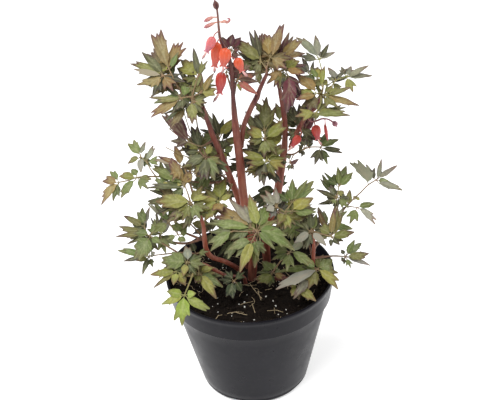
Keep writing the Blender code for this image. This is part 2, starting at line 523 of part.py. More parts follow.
        ([], [
            (287, 221, [(272, 217), (276, 226)], 11),
            (292, 216, [(288, 203), (297, 203)], 11),
            (297, 221, [(313, 216), (315, 223)], 11),
            (292, 227, [(292, 239)], 9)]),
    ]),
    ("leaf_plum_top", "plum", (230.5, 50), 3, (0.1, -0.8, 0.5), [(228.2, 55, 0.5)], [
        ([], [
            (229, 45.5, [(230, 36), (233.2, 33.8)], 9),
            (233, 45.5, [(238, 38.5), (242, 36)], 7),
            (226, 46.5, [(221.5, 37), (224.5, 41)], 7),
            (234, 50.5, [(239.5, 49.5)], 3)]),
    ]),
    ("leaf_bract", "rose", (236.5, 80), -4, (0.1, -0.7, 0.6), [(233.4, 80.3, -1)], [
        ([], [
            (242, 79.8, [(259, 81.3)], 5, {"t": "plum"}),
            (242, 76, [(252, 76.5), (256.5, 71.5)], 9),
            (241, 83.5, [(250.5, 90), (258, 94)], 7),
            (239.5, 84, [(241.5, 90.5)], 3.5, {"t": "yellow"})]),
    ]),
]

# ---------------------------------------------------------------- flowers
# name, pedicel points (u, v, y) from the stem, top (u, v), mouth (u, v), tip (u, v), depth y, width, thickness, tone
HEARTS = [
    ("heart_pink", [(217.3, 31.5, -1), (215, 34, -6)], (213.3, 38), (206.6, 51.5), (202, 59.5), -13, 8.0, 5.5, "pink"),
    ("heart_orange_left", [(218.8, 39.5, -2), (217.5, 41.5, -5)], (217.2, 44), (214.6, 66), (214.5, 73), -6, 9.5, 6.5, "orange"),
    ("heart_orange_mid", [(226, 50.3, -3), (226.6, 47.8, -7)], (226, 49.5), (223.2, 66), (222.5, 74), -14, 10.5, 6.5, "orange"),
    ("heart_red", [(229, 68.5, -3), (224, 70, -6)], (221.6, 73.5), (219.5, 93), (213, 102.5), -9, 9.5, 6.5, "red"),
    ("heart_orange_right", [(229.8, 55, -3), (233, 57.5, -6)], (236.8, 59), (242, 71), (248, 77), -9, 8.5, 6.0, "orange"),
    ("heart_red_right", [(313.5, 121, 11), (314.5, 123, 8)], (315.4, 126), (317.6, 139), (322, 146), 5, 8.5, 5.5, "red"),
    ("heart_low_right", [(303, 133.5, 14), (301, 134.5, 7)], (299, 136.5), (292.5, 146), (288, 151), 3, 7.5, 5.5, "red"),
]
# name, points (u, v, y), radii, tone
BUDS = [
    ("bud_left_high", [(216.3, 17.3, 0), (213.5, 17.2, -1), (211, 18, -2), (208.5, 19.2, -2), (206, 20.4, -2), (204.5, 21.2, -2)],
     [0.6, 0.6, 1.4, 1.8, 1.5, 0.6], "rose"),
    ("bud_left_low", [(216.8, 22.3, 0), (214.5, 22.8, -1), (211.5, 24.2, -2), (208.5, 25.6, -2), (206, 26.8, -2), (204.4, 27.4, -2)],
     [0.6, 0.7, 1.5, 1.7, 1.6, 0.6], "rose"),
    ("bud_right_curl", [(220.1, 21.8, 0), (222, 22.1, 0), (224.5, 21.3, -1), (227, 22.2, -1), (229.2, 21, -1), (229.4, 18.9, -1), (227.8, 18.4, -1)],
     [0.6, 1.0, 1.3, 1.3, 1.0, 0.8, 0.5], "rose"),
    ("raceme_right", [(309, 118.5, 15), (311.5, 121.5, 13), (316.5, 120.8, 12), (322, 118.8, 12), (328, 119.3, 12), (332.3, 121.6, 12), (334.2, 123, 12), (335.6, 124.6, 12), (336.6, 126.2, 12)],
     [0.9, 0.9, 0.9, 0.8, 0.7, 0.8, 2.4, 2.5, 0.8], "mauve"),
    ("bud_slender", [(325, 120.6, 10), (325.1, 123.5, 9), (325.3, 127, 8), (326, 131.5, 8), (326.9, 136, 8), (327.5, 140.2, 8)],
     [0.4, 0.5, 1.4, 1.7, 1.3, 0.5], "red"),
]
# ---------------------------------------------------------------- rules for the plant's layout


def stem_axis(points):
    return [at_depth(u, v, y) for u, v, y in points]


STEM_AXES = [(name, stem_axis(points), radii) for name, points, radii in STEMS]
CARRIERS = STEM_AXES + [(name, stem_axis(points), radii) for name, points, radii, _ in BUDS if name.startswith("raceme")]


def nearest_on_stems(p, own=""):
    """The nearest point on any stem's centre line, the stem's radius there, and its direction."""
    best = None
    for name, axis, radii in CARRIERS:
        if name == own:
            continue
        for i in range(len(axis) - 1):
            a, b = axis[i], axis[i + 1]
            ab = b - a
            t = min(1.0, max(0.0, dot(p - a, ab) / max(dot(ab, ab), 1e-9)))
            q = a + ab * t
            d = math.sqrt(dot(p - q, p - q))
            r = radii[i] + (radii[i + 1] - radii[i]) * t
            if best is None or d - r < best[0]:
                best = (d - r, q, r, unit(ab))
    return best[1], best[2], best[3]


def in_picture(p):
    """Where a point is seen, in pixels."""
    d = p - EYE_AT
    w = dot(d, _FW)
    return 250.0 + REACH * dot(d, _R2) / w, 200.0 - REACH * dot(d, _U2) / w


def apart(p, a, b):
    """Distance from p to the line from a to b."""
    ab = b - a
    t = min(1.0, max(0.0, dot(p - a, ab) / max(dot(ab, ab), 1e-9)))
    d = p - a - ab * t
    return math.sqrt(dot(d, d))


FILLED = {}
# leaflets added at most in a leaf's gaps, where it isn't 4
EXTRA_LEAFLETS = {
    "leaf_star": 0, "leaf_bract": 0, "leaf_plum_top": 2, "leaf_plum_left": 0, "leaf_far_left": 2, "leaf_left_edge": 2,
    "leaf_far_right": 1, "leaf_low_far_right": 1, "leaf_left_hang": 1, "leaf_soil_right": 1, "leaf_yellow": 3,
    "leaf_mid_left": 6, "leaf_inner_left": 6, "leaf_left": 6, "leaf_mid_front": 6, "leaf_central": 4, "leaf_upper_left": 6,
    "leaf_top_left": 5, "leaf_top_mid": 4, "leaf_top_right": 5, "leaf_dark_clump": 6, "leaf_right_upper": 4, "leaf_mid": 6,
    "leaf_tall_right": 5, "leaf_back_left": 6, "leaf_back_mid": 6, "leaf_back_right": 6, "leaf_shade": 3,
}


def gap_blades(leaf):
    """Leaflets that fill the gaps round a leaf's forks, as (fork, base, tips, width) with points as seen."""
    name = leaf[0]
    if name in FILLED:
        return FILLED[name]
    FILLED[name] = []
    wanted = EXTRA_LEAFLETS.get(name, 4)
    layout = leaf_layout(leaf)
    pts, n = layout["pts"], layout["n"]
    taken = [(pts[i], pts[j], 0.9) for i, j in layout["links"]]
    at_fork = {}
    for blade in layout["blades"]:
        long = max(math.sqrt(dot(t - blade["base"], t - blade["base"])) for t in blade["tips"])
        at_fork.setdefault(blade["at"], []).append(long)
        half = blade["width"] / 2.0 / len(blade["tips"]) ** 0.55
        for tip in blade["tips"]:
            taken.append((blade["base"] + (tip - blade["base"]) * 0.12, tip, half * 0.8))
    ex = unit(cross(n, vec((0.3, 0.2, 0.9))))
    ey = cross(n, ex)
    found = []
    for turn in range(wanted):
        best = None
        for at in sorted(at_fork):
            mean = sum(at_fork[at]) / len(at_fork[at])
            if sum(1 for f in found if f[0] == at) >= 3:
                continue
            for share in (0.95, 0.75, 0.55):
                long = min(17.0, mean * share)
                if long < 5.5:
                    continue
                for k in range(24):
                    ang = 2 * math.pi * k / 24 + 0.13 * turn
                    tips = []
                    for da, sh in ((-0.42, 0.74), (0.0, 1.0), (0.42, 0.74)):
                        tips.append(pts[at] + (ex * math.cos(ang + da) + ey * math.sin(ang + da)) * (3.0 + long * sh))
                    base = pts[at] + (ex * math.cos(ang) + ey * math.sin(ang)) * 3.0
                    half = long * 0.16
                    room = 9.0
                    for tip in tips:
                        for s in (0.35, 0.7, 1.0):
                            q = base + (tip - base) * s
                            w = half * (1.0 if s < 1 else 0.3)
                            for a, b, other in taken:
                                room = min(room, apart(q, a, b) - other - w)
                        if room < 0.35:
                            break
                    if room < 0.35:
                        continue
                    score = long + min(room, 3.0)
                    if best is None or score > best[0]:
                        best = (score, at, base, tips, long)
        if best is None:
            break
        _, at, base, tips, long = best
        found.append((at, in_picture(base), [in_picture(t) for t in tips], long * 0.52))
        for tip in tips:
            taken.append((base, tip, long * 0.15))
    FILLED[name] = found
    return found


def leaf_layout(leaf, shift=0.0, lifts=None):
    """The leaf as a tree: points, links between them, and blades at them.  `shift` slides it along its sight lines."""
    name, tone, hub_uv, hub_y, normal, stalk, twigs = leaf
    n = unit(vec(normal))
    hub = at_depth(hub_uv[0], hub_uv[1], hub_y + shift)
    pts, uvs, links = [], [], []
    for i, (u, v, y) in enumerate(stalk):
        pts.append(at_depth(u, v, y + (shift * i / len(stalk) if i else 0.0)))
        uvs.append((u, v))
        if i:
            links.append([i - 1, i])
    pts.append(hub)
    uvs.append(hub_uv)
    links.append([len(pts) - 2, len(pts) - 1])
    root = len(pts) - 1

    def find(uv):
        for i, w in enumerate(uvs):
            if math.hypot(w[0] - uv[0], w[1] - uv[1]) < 1.5:
                return i
        best = None
        for k, (i, j) in enumerate(links):
            a, b = uvs[i], uvs[j]
            ab = (b[0] - a[0], b[1] - a[1])
            t = ((uv[0] - a[0]) * ab[0] + (uv[1] - a[1]) * ab[1]) / max(ab[0] ** 2 + ab[1] ** 2, 1e-9)
            t = min(0.9, max(0.1, t))
            d = math.hypot(a[0] + ab[0] * t - uv[0], a[1] + ab[1] * t - uv[1])
            if best is None or d < best[0]:
                best = (d, k, t)
        _, k, t = best
        i, j = links[k]
        pts.append(pts[i] + (pts[j] - pts[i]) * t)
        uvs.append((uv[0], uv[1]))
        links[k] = [i, len(pts) - 1]
        links.append([len(pts) - 1, j])
        return len(pts) - 1

    blades = []
    for path, items in twigs:
        at = root
        if path:
            at = find(path[0])
            for uv in path[1:]:
                known = [i for i, w in enumerate(uvs) if math.hypot(w[0] - uv[0], w[1] - uv[1]) < 1.5]
                if known:
                    at = known[0]
                    continue
                pts.append(on_plane(uv[0], uv[1], hub, n))
                uvs.append(uv)
                links.append([at, len(pts) - 1])
                at = len(pts) - 1
        for item in items:
            bu, bv, tips, width = item[:4]
            more = item[4] if len(item) > 4 else {}
            base = on_plane(bu, bv, hub, n)
            # a blade that hangs from a point off the hub's plane keeps its own plane through that point
            off = dot(pts[at] - hub, n)
            if abs(off) > 0.5:
                base = on_plane(bu, bv, pts[at], n)
            ends = [on_plane(tu, tv, hub + n * off if abs(off) > 0.5 else hub, n) for tu, tv in tips]
            # the blade's body starts close to the point where it grows
            gap = base - pts[at]
            far = math.sqrt(dot(gap, gap))
            if far > 3.2:
                base = pts[at] + gap * (max(3.0, far * 0.5) / far)
            k = len(blades)
            blades.append({
                "at": at, "base": base, "tips": ends, "width": width * 1.2, "n": n,
                "tone": more.get("t", tone), "flip": more.get("f", 0),
                "lift": 0.0 if lifts is None else lifts[k],
            })
    for at, seen, ends, width in gap_blades(leaf):
        k = len(blades)
        blades.append({
            "at": at, "base": on_plane(seen[0], seen[1], pts[at], n),
            "tips": [on_plane(u, v, pts[at], n) for u, v in ends], "width": width, "n": n,
            "tone": tone, "flip": 0, "lift": 0.0 if lifts is None or k >= len(lifts) else lifts[k],
        })
    # the stalk starts on the nearest stem
    q, r, along = nearest_on_stems(pts[0])
    way = pts[1] - q
    way = unit(unit(way - along * dot(way, along)) + along * (0.35 if dot(way, along) > 0 else -0.35))
    return {"name": name, "n": n, "pts": pts, "uvs": uvs, "links": links, "blades": blades, "root": root,
            "stem_point": q, "stem_r": r, "way": way}


def blade_frame(blade, at_point):
    """Axis, side and length of a blade, and its lobes in order from right to left."""
    base, n = blade["base"], blade["n"]
    mean = sum(blade["tips"]) / len(blade["tips"])
    axis = mean - base
    axis = unit(axis - n * dot(axis, n))
    side = cross(n, axis)
    lobes = []
    for tip in blade["tips"]:
        d = tip - base
        lobes.append((math.atan2(dot(d, side), dot(d, axis)), dot(d, axis), dot(d, side)))
    lobes.sort(key=lambda l: l[0])
    length = max(math.hypot(l[1], l[2]) for l in lobes)
    return axis, side, length, lobes


def bend(blade, a, b, length):
    """Height of the blade's surface over its plane at a mm along and b mm across."""
    s = math.hypot(a, b) / max(length, 1e-6) if a > 0 else 0.0
    return blade["lift"] * s - 0.10 * length * s * s


# ---------------------------------------------------------------- one leaf as one sheet
HUB_R = 1.5
STALK_W = 0.9
LEAF_T = 1.0


def blade_outline(blade, at_point):
    """Points of the blade from its right shoulder round the tips to its left shoulder."""
    axis, side, length, lobes = blade_frame(blade, at_point)
    base, n = blade["base"], blade["n"]
    out = []

    def put(a, b):
        out.append(base + axis * a + side * b + n * bend(blade, a, b, length))

    half = blade["width"] / 2.0 / max(1.0, len(lobes) ** 0.55)
    neck = math.sqrt(dot(base - at_point, base - at_point)) > HUB_R + 3.5
    if neck:
        put(0.0, -0.75)
    ang, a, b = lobes[0]
    r = math.hypot(a, b)
    wide = blade["width"] >= 11 and len(lobes) == 1
    sa, ca = math.sin(ang), math.cos(ang)
    steps = ((0.30, 0.92), (0.66, 0.72)) if wide else ((0.42, 1.0),)
    for s, w in steps:
        put(r * s * ca + half * w * sa, r * s * sa - half * w * ca)
    for k, (ang, a, b) in enumerate(lobes):
        put(a, b)
        if k + 1 < len(lobes):
            ang2, a2, b2 = lobes[k + 1]
            gap = ang2 - ang
            f = 0.68 - 0.22 * min(1.0, gap / 0.9)
            put((a + a2) / 2 * f, (b + b2) / 2 * f)
    ang, a, b = lobes[-1]
    r = math.hypot(a, b)
    sa, ca = math.sin(ang), math.cos(ang)
    for s, w in reversed(steps):
        put(r * s * ca - half * w * sa, r * s * sa + half * w * ca)
    if neck:
        put(0.0, 0.75)
    return out


def leaf_sheet(layout, without=()):
    """Vertices, faces and the part of the leaf each face belongs to (-1 for stalks)."""
    pts, links, blades, n = layout["pts"], layout["links"], layout["blades"], layout["n"]
    verts, faces, part = [], [], []
    reach = layout["stem_r"] + 1.35
    start = layout["stem_point"] + layout["way"] * reach
    pts = list(pts)
    pts[0] = start
    items = {i: [] for i in range(len(pts))}
    for k, (i, j) in enumerate(links):
        items[i].append(("link", k, pts[j] - pts[i]))
        items[j].append(("link", k, pts[i] - pts[j]))
    for k, blade in enumerate(blades):
        if k in without:
            continue
        i = blade["at"]
        d = blade["base"] - pts[i]
        if dot(d, d) < 2.0:
            d = sum(blade["tips"]) / len(blade["tips"]) - pts[i]
        items[i].append(("blade", k, d))
    ends = {}
    for i, here in items.items():
        if len(here) == 1 and here[0][0] == "link":
            continue
        if len(here) == 2 and all(h[0] == "link" for h in here):
            continue
        # a plane for this joint: the leaf's own, or the one that holds its links
        e1 = unit(here[0][2] - n * dot(here[0][2], n))
        e2 = cross(n, e1)
        ring = sorted(((math.atan2(dot(h[2], e2), dot(h[2], e1)) % (2 * math.pi), h) for h in here), key=lambda x: x[0])
        angles = [x[0] for x in ring]
        m = len(angles)
        if m == 2:
            # a blade straight on from one link: the joint is one edge, shared by both
            (kind_a, ka, da), (kind_b, kb, db) = ring[0][1], ring[1][1]
            d = db if kind_b == "blade" else da
            s = unit(cross(n, d)) * STALK_W
            verts.append(pts[i] - s)
            verts.append(pts[i] + s)
            right, left = len(verts) - 2, len(verts) - 1
            for kind, k, dd in (ring[0][1], ring[1][1]):
                if kind == "blade":
                    ends[("blade", k, i)] = (right, left)
                else:
                    ends[("link", k, i)] = (left, right)
            continue
        for _ in range(30):
            moved = False
            for a in range(m):
                b = (a + 1) % m
                gap = (angles[b] - angles[a]) % (2 * math.pi)
                if gap < 0.42:
                    angles[a] -= 0.04
                    angles[b] += 0.04
                    moved = True
            if not moved:
                break
        first = len(verts)
        for a in range(m):
            b = (a + 1) % m
            gap = (angles[b] - angles[a]) % (2 * math.pi)
            mid = angles[a] + gap / 2
            verts.append(pts[i] + (e1 * math.cos(mid) + e2 * math.sin(mid)) * HUB_R)
        faces.append([first + a for a in range(m)])
        part.append(-1)
        for a in range(m):
            kind, k, _ = ring[a][1]
            ends[(kind, k, i)] = (first + (a - 1) % m, first + a)
    # stalks: runs of links between joints and free ends
    joint = {i for (_, _, i) in ends}
    done = set()
    for i in sorted(items):
        if i not in joint and len(items[i]) != 1:
            continue
        for kind, k, _ in items[i]:
            if kind != "link" or k in done:
                continue
            run, at, link = [i], i, k
            while True:
                done.add(link)
                a, b = links[link]
                at = b if at == a else a
                run.append(at)
                if at in joint or len(items[at]) == 1:
                    break
                link = [h[1] for h in items[at] if h[0] == "link" and h[1] != link][0]
            last_link = link
            right, left = [], []
            for s, at in enumerate(run):
                if s == 0 and at in joint:
                    r, l = ends[("link", k, at)]
                elif s == len(run) - 1 and at in joint:
                    l, r = ends[("link", last_link, at)]
                else:
                    before = pts[run[max(s - 1, 0)]]
                    after = pts[run[min(s + 1, len(run) - 1)]]
                    across = unit(cross(unit(n + TOWARDS), after - before)) * STALK_W
                    verts.append(pts[at] - across)
                    verts.append(pts[at] + across)
                    r, l = len(verts) - 2, len(verts) - 1
                right.append(r)
                left.append(l)
            for s in range(len(run) - 1):
                faces.append([right[s], right[s + 1], left[s + 1], left[s]])
                part.append(-1)
    for k, blade in enumerate(blades):
        if k in without:
            continue
        r, l = ends[("blade", k, blade["at"])]
        out = blade_outline(blade, pts[blade["at"]])
        first = len(verts)
        verts.extend(out)
        ids = list(range(first, len(verts)))
        faces.append([r] + ids + [l])
        part.append(k)
    return verts, faces, part


TOWARDS = unit(vec((0.0, -0.85, 0.53)))


def cut_into_triangles(verts, faces, part):
    """Ear clipping in the plane of each face, so that both sides of the leaf are cut alike."""
    tris, owner = [], []
    for face, who in zip(faces, part):
        ids = list(face)
        if len(ids) == 3:
            tris.append(ids)
            owner.append(who)
            continue
        m = np.zeros(3)
        for a in range(len(ids)):
            m += cross(verts[ids[a]], verts[ids[(a + 1) % len(ids)]])
        m = unit(m)
        guard = 0
        while len(ids) > 3 and guard < 400:
            guard += 1
            best = None
            for a in range(len(ids)):
                i, j, k = ids[a - 1], ids[a], ids[(a + 1) % len(ids)]
                c = cross(verts[j] - verts[i], verts[k] - verts[j])
                turn = dot(c, m)
                if turn <= 1e-9:
                    continue
                inside = False
                for b in ids:
                    if b in (i, j, k):
                        continue
                    p = verts[b]
                    if (dot(cross(verts[j] - verts[i], p - verts[i]), m) >= -1e-9
                            and dot(cross(verts[k] - verts[j], p - verts[j]), m) >= -1e-9
                            and dot(cross(verts[i] - verts[k], p - verts[k]), m) >= -1e-9):
                        inside = True
                        break
                if inside:
                    continue
                e = [math.sqrt(dot(verts[y] - verts[x], verts[y] - verts[x])) for x, y in ((i, j), (j, k), (k, i))]
                shape = turn / max(e[0] ** 2 + e[1] ** 2 + e[2] ** 2, 1e-9)
                if best is None or shape > best[0]:
                    best = (shape, a)
            if best is None:
                best = (0, 0)
            a = best[1]
            tris.append([ids[a - 1], ids[a], ids[(a + 1) % len(ids)]])
            owner.append(who)
            ids.pop(a)
        tris.append(ids)
        owner.append(who)
    return tris, owner


def thickened(verts, tris, t):
    v = np.array(verts)
    f = np.array(tris)
    nor = np.cross(v[f[:, 1]] - v[f[:, 0]], v[f[:, 2]] - v[f[:, 0]])
    vn = np.zeros_like(v)
    for c in range(3):
        np.add.at(vn, f[:, c], nor)
    vn /= np.maximum(np.linalg.norm(vn, axis=1), 1e-9)[:, None]
    top, bottom = v + vn * t / 2, v - vn * t / 2
    nv = len(v)
    edges = {}
    for tri in tris:
        for a in range(3):
            i, j = tri[a], tri[(a + 1) % 3]
            if (j, i) in edges:
                del edges[(j, i)]
            else:
                edges[(i, j)] = tri
    faces = [list(tri) for tri in tris] + [[nv + c for c in reversed(tri)] for tri in tris]
    source = list(range(len(tris))) * 2
    index = {id(tri): k for k, tri in enumerate(tris)}
    for (i, j), tri in edges.items():
        faces.append([j, i, nv + i])
        faces.append([j, nv + i, nv + j])
        source += [index[id(tri)]] * 2
    return np.concatenate([top, bottom]), faces, source


def tree_of(points, faces):
    return BVHTree.FromPolygons([tuple(map(float, p)) for p in points], faces, epsilon=0.0)


def own_clashes(verts, tris, owner, t):
    points, faces, source = thickened(verts, tris, t)
    tree = tree_of(points, faces)
    nv = len(verts)
    found = {}
    for a, b in tree.overlap(tree):
        if a >= b:
            continue
        pa, pb = owner[source[a]], owner[source[b]]
        if pa == pb:
            continue
        if {c % nv for c in faces[a]} & {c % nv for c in faces[b]}:
            continue
        key = (min(pa, pb), max(pa, pb))
        found[key] = found.get(key, 0) + 1
    return found


def settled_lifts(leaf):
    """How far each blade of a leaf tilts up or down so that the blades pass each other."""
    m = sum(len(items) for _, items in leaf[6]) + len(gap_blades(leaf))
    lifts = [0.0] * m
    best = None
    for turn in range(8):
        layout = leaf_layout(leaf, 0.0, lifts)
        verts, faces, part = leaf_sheet(layout)
        tris, owner = cut_into_triangles(verts, faces, part)
        found = own_clashes(verts, tris, owner, LEAF_T + 0.3)
        score = sum(found.values())
        if best is None or score < best[0]:
            best = (score, list(lifts))
        if not found:
            break
        moved = set()
        for (a, b), _ in sorted(found.items()):
            k = b if a < 0 or b not in moved else a
            if k in moved or k < 0:
                continue
            moved.add(k)
            other = a if k == b else b
            way = 1.0 if (k % 2 == 0) else -1.0
            if other >= 0 and lifts[other] > lifts[k]:
                way = -1.0
            elif other >= 0 and lifts[other] < lifts[k]:
                way = 1.0
            lifts[k] += way * 1.8
    return best[1]


def thinned_sheet(layout, without):
    """The leaf's sheet with each blade that still runs into another left out."""
    without = set(without)
    while True:
        verts, faces, part = leaf_sheet(layout, without)
        tris, owner = cut_into_triangles(verts, faces, part)
        found = own_clashes(verts, tris, owner, LEAF_T + 0.25)
        count = {}
        for (a, b), c in found.items():
            for k in (a, b):
                if k >= 0:
                    count[k] = count.get(k, 0) + c
        if not count:
            return verts, tris, owner, without
        without.add(max(sorted(count), key=lambda k: count[k]))


def tube(points, radii, sides=8, grow=0.0):
    """A closed tube along points, for finding what it would touch."""
    pts = [vec(p) for p in points]
    rings, faces = [], []
    ref = vec((0.31, 0.77, 0.55))
    for i, p in enumerate(pts):
        d = unit(pts[min(i + 1, len(pts) - 1)] - pts[max(i - 1, 0)])
        s = unit(cross(d, ref))
        t = cross(d, s)
        for k in range(sides):
            w = 2 * math.pi * k / sides
            rings.append(p + (s * math.cos(w) + t * math.sin(w)) * (radii[i] + grow))
    for i in range(len(pts) - 1):
        for k in range(sides):
            a, b = i * sides + k, i * sides + (k + 1) % sides
            faces.append([a, b, b + sides, a + sides])
    faces.append(list(range(sides)))
    faces.append([len(rings) - sides + k for k in range(sides)])
    return rings, faces


def heart_rings(spec):
    """A flattened heart flower: pedicel, two shoulders beside its notch, pouch, flared mouth and inner petals."""
    name, pedicel, top, mouth, tip, y, width, thick, tone = spec
    top3, mouth3, tip3 = at_depth(top[0], top[1], y), at_depth(mouth[0], mouth[1], y), at_depth(tip[0], tip[1], y)
    stalk = [at_depth(u, v, yy) for u, v, yy in pedicel]
    down = unit(mouth3 - top3)
    side = unit(cross(TOWARDS, down))
    front = cross(down, side)
    length = math.sqrt(dot(mouth3 - top3, mouth3 - top3))
    q, r, _ = nearest_on_stems(stalk[0])
    stalk[0] = q + unit(stalk[1] - q) * (r + CLEAR + 0.45)
    rings = []
    for i, p in enumerate(stalk):
        d = unit((stalk[i + 1] if i + 1 < len(stalk) else top3) - p)
        s = unit(side - d * dot(side, d))
        rings.append((p, s, cross(s, d) * -1.0, 0.55, 0.55, 0.0))
    w, t = width / 2.0, thick / 2.0
    for s, a, b, up in ((0.02, 0.16, 0.26, 0.0), (0.03, 0.55, 0.62, 0.05), (0.10, 0.90, 0.92, 0.035),
                        (0.34, 1.0, 1.0, 0.0), (0.60, 0.80, 0.85, 0.0), (0.82, 0.50, 0.55, 0.0),
                        (0.95, 0.36, 0.42, 0.0), (1.0, 0.46, 0.45, 0.0)):
        rings.append((top3 + down * (length * s), side, front, w * a, t * b, up * length))
    end = tip3 - mouth3
    for s, a, b in ((0.30, 0.26, 0.30), (0.70, 0.30, 0.34), (0.95, 0.14, 0.16)):
        d = unit(end)
        sd = unit(side - d * dot(side, d))
        rings.append((mouth3 + end * s, sd, cross(d, sd), w * a, t * b, 0.0))
    return rings, down


def heart_mesh(spec, sides=8):
    rings, down = heart_rings(spec)
    verts, faces = [], []
    for p, s, f, a, b, up in rings:
        for k in range(sides):
            w = 2 * math.pi * k / sides
            c = math.cos(w)
            verts.append(p + s * (a * c) + f * (b * math.sin(w)) - down * (up * c * c))
    for i in range(len(rings) - 1):
        for k in range(sides):
            a, b = i * sides + k, i * sides + (k + 1) % sides
            faces.append([a, b, b + sides, a + sides])
    faces.append(list(reversed(range(sides))))
    faces.append([len(verts) - sides + k for k in range(sides)])
    return verts, faces


def pot_tree():
    """The pot and the soil as a plain solid of turns, for keeping leaves clear of them."""
    rings = [(POT_R_BASE, 0.0), (POT_R_NECK, POT_H - COLLAR_H - 3.0), (POT_R_NECK + 2.6, POT_H - COLLAR_H - 0.5),
             (POT_R_TOP, POT_H), (POT_R_TOP - WALL - 0.4, POT_H + 0.3), (POT_R_TOP - WALL - 1.4, SOIL_TOP),
             (60.0, SOIL_TOP + 0.6), (20.0, SOIL_TOP + 0.8)]
    m = 48
    pts = [(0.55 * 0 + (r + 0.7) * math.cos(2 * math.pi * k / m), (r + 0.7) * math.sin(2 * math.pi * k / m), z + 0.6)
           for r, z in rings for k in range(m)]
    faces = [[i * m + k, i * m + (k + 1) % m, (i + 1) * m + (k + 1) % m, (i + 1) * m + k]
             for i in range(len(rings) - 1) for k in range(m)]
    return BVHTree.FromPolygons(pts, faces, epsilon=0.0)


SHIFTS = [0, -3, 3, -6, 6, -9, 9, -12, 12, -16, 16, -20, 20, -25, 25, -30, 30]


def settled_plant():
    """Every leaf in order, slid along its sight lines to the depth where it best clears all before it."""
    solid = [("pot", pot_tree())]
    for name, axis, radii in STEM_AXES:
        solid.append((name, tree_of(*tube(axis, radii, 8, 0.1))))
    for spec in HEARTS:
        solid.append((spec[0], tree_of(*heart_mesh(spec, 8))))
    for name, points, radii, tone in BUDS:
        solid.append((name, tree_of(*tube([at_depth(*p) for p in points], radii, 8, 0.2))))
    placed = {}
    for leaf in LEAVES:
        lifts = settled_lifts(leaf)
        best = None
        for shift in SHIFTS:
            if best is not None and abs(shift) / 4.0 >= best[0]:
                continue
            layout = leaf_layout(leaf, shift, lifts)
            verts, tris, owner, without = thinned_sheet(layout, ())
            blocked = 0
            while True:
                points, faces, source = thickened(verts, tris, LEAF_T + 0.7)
                tree = tree_of(points, faces)
                count = {}
                for _, other in solid:
                    for a, _ in tree.overlap(other):
                        k = owner[source[a]]
                        count[k] = count.get(k, 0) + 1
                blocked = count.pop(-1, 0)
                if not count or blocked:
                    break
                without.add(max(sorted(count), key=lambda k: count[k]))
                verts, tris, owner, without = thinned_sheet(layout, without)
            cost = abs(shift) / 4.0 + 3.0 * len(without) + 50.0 * (blocked > 0)
            if best is None or cost < best[0]:
                best = (cost, shift, without, verts, tris, tree, blocked)
        placed[leaf[0]] = {"shift": best[1], "lifts": lifts, "without": best[2], "verts": best[3], "tris": best[4],
                           "blocked": best[6]}
        solid.append((leaf[0], best[5]))
    return placed


# ---------------------------------------------------------------- colours of the plant's tones
TONES = {
    "bronze": (0.25, 0.17, 0.085), "olive": (0.21, 0.21, 0.075), "green": (0.13, 0.21, 0.06),
    "yellow": (0.36, 0.36, 0.10), "dark": (0.07, 0.06, 0.035), "grey": (0.33, 0.31, 0.28),
    "plum": (0.16, 0.06, 0.075), "lime": (0.36, 0.45, 0.07), "shade": (0.05, 0.07, 0.03),
    "rose": (0.55, 0.20, 0.20), "orange": (0.76, 0.13, 0.05), "red": (0.48, 0.04, 0.025),
    "pink": (0.75, 0.22, 0.25), "mauve": (0.30, 0.12, 0.17), "stem": (0.26, 0.075, 0.045),
    "pot": (0.045, 0.043, 0.05), "soil": (0.022, 0.016, 0.012),
}
ROUGHNESS = {"pot": 0.42, "soil": 0.95, "stem": 0.5}


def material(name, tone):
    m = bpy.data.materials.new(name)
    m.use_nodes = True
    shader = m.node_tree.nodes["Principled BSDF"]
    shader.inputs["Base Color"].default_value = TONES[tone] + (1.0,)
    shader.inputs["Roughness"].default_value = ROUGHNESS.get(tone, 0.6)
    shader.inputs["Metallic"].default_value = 0.0
    return m


def place(name, data, tone, collection, at=(0.0, 0.0, 0.0)):
    obj = bpy.data.objects.new(name, data)
    obj.location = at
    data.materials.append(material(name + "_finish", tone))
    collection.objects.link(obj)
    return obj


def turned(name, profile, steps, tone, collection):
    """A profile (x, z) in mm turned about the Z axis."""
    mesh = bpy.data.meshes.new(name)
    mesh.from_pydata([(x * MM, 0.0, z * MM) for x, z in profile], [(i, i + 1) for i in range(len(profile) - 1)], [])
    obj = place(name, mesh, tone, collection)
    screw = obj.modifiers.new("turn", "SCREW")
    screw.axis = "Z"
    screw.angle = 2 * math.pi
    screw.steps = screw.render_steps = steps
    screw.use_merge_vertices = True
    screw.merge_threshold = 0.00001
    screw.use_smooth_shade = True
    return obj


def rod(name, points, radii, tone, collection, sides_level=2):
    """A tapering tube along points given in mm."""
    curve = bpy.data.curves.new(name, "CURVE")
    curve.dimensions = "3D"
    widest = max(radii)
    curve.bevel_depth = widest * MM
    curve.bevel_resolution = sides_level
    curve.use_fill_caps = True
    first = points[0]
    spline = curve.splines.new("POLY")
    spline.points.add(len(points) - 1)
    for point, p, r in zip(spline.points, points, radii):
        q = (p - first) * MM
        point.co = (q[0], q[1], q[2], 1.0)
        point.radius = r / widest
    return place(name, curve, tone, collection, tuple(first * MM))


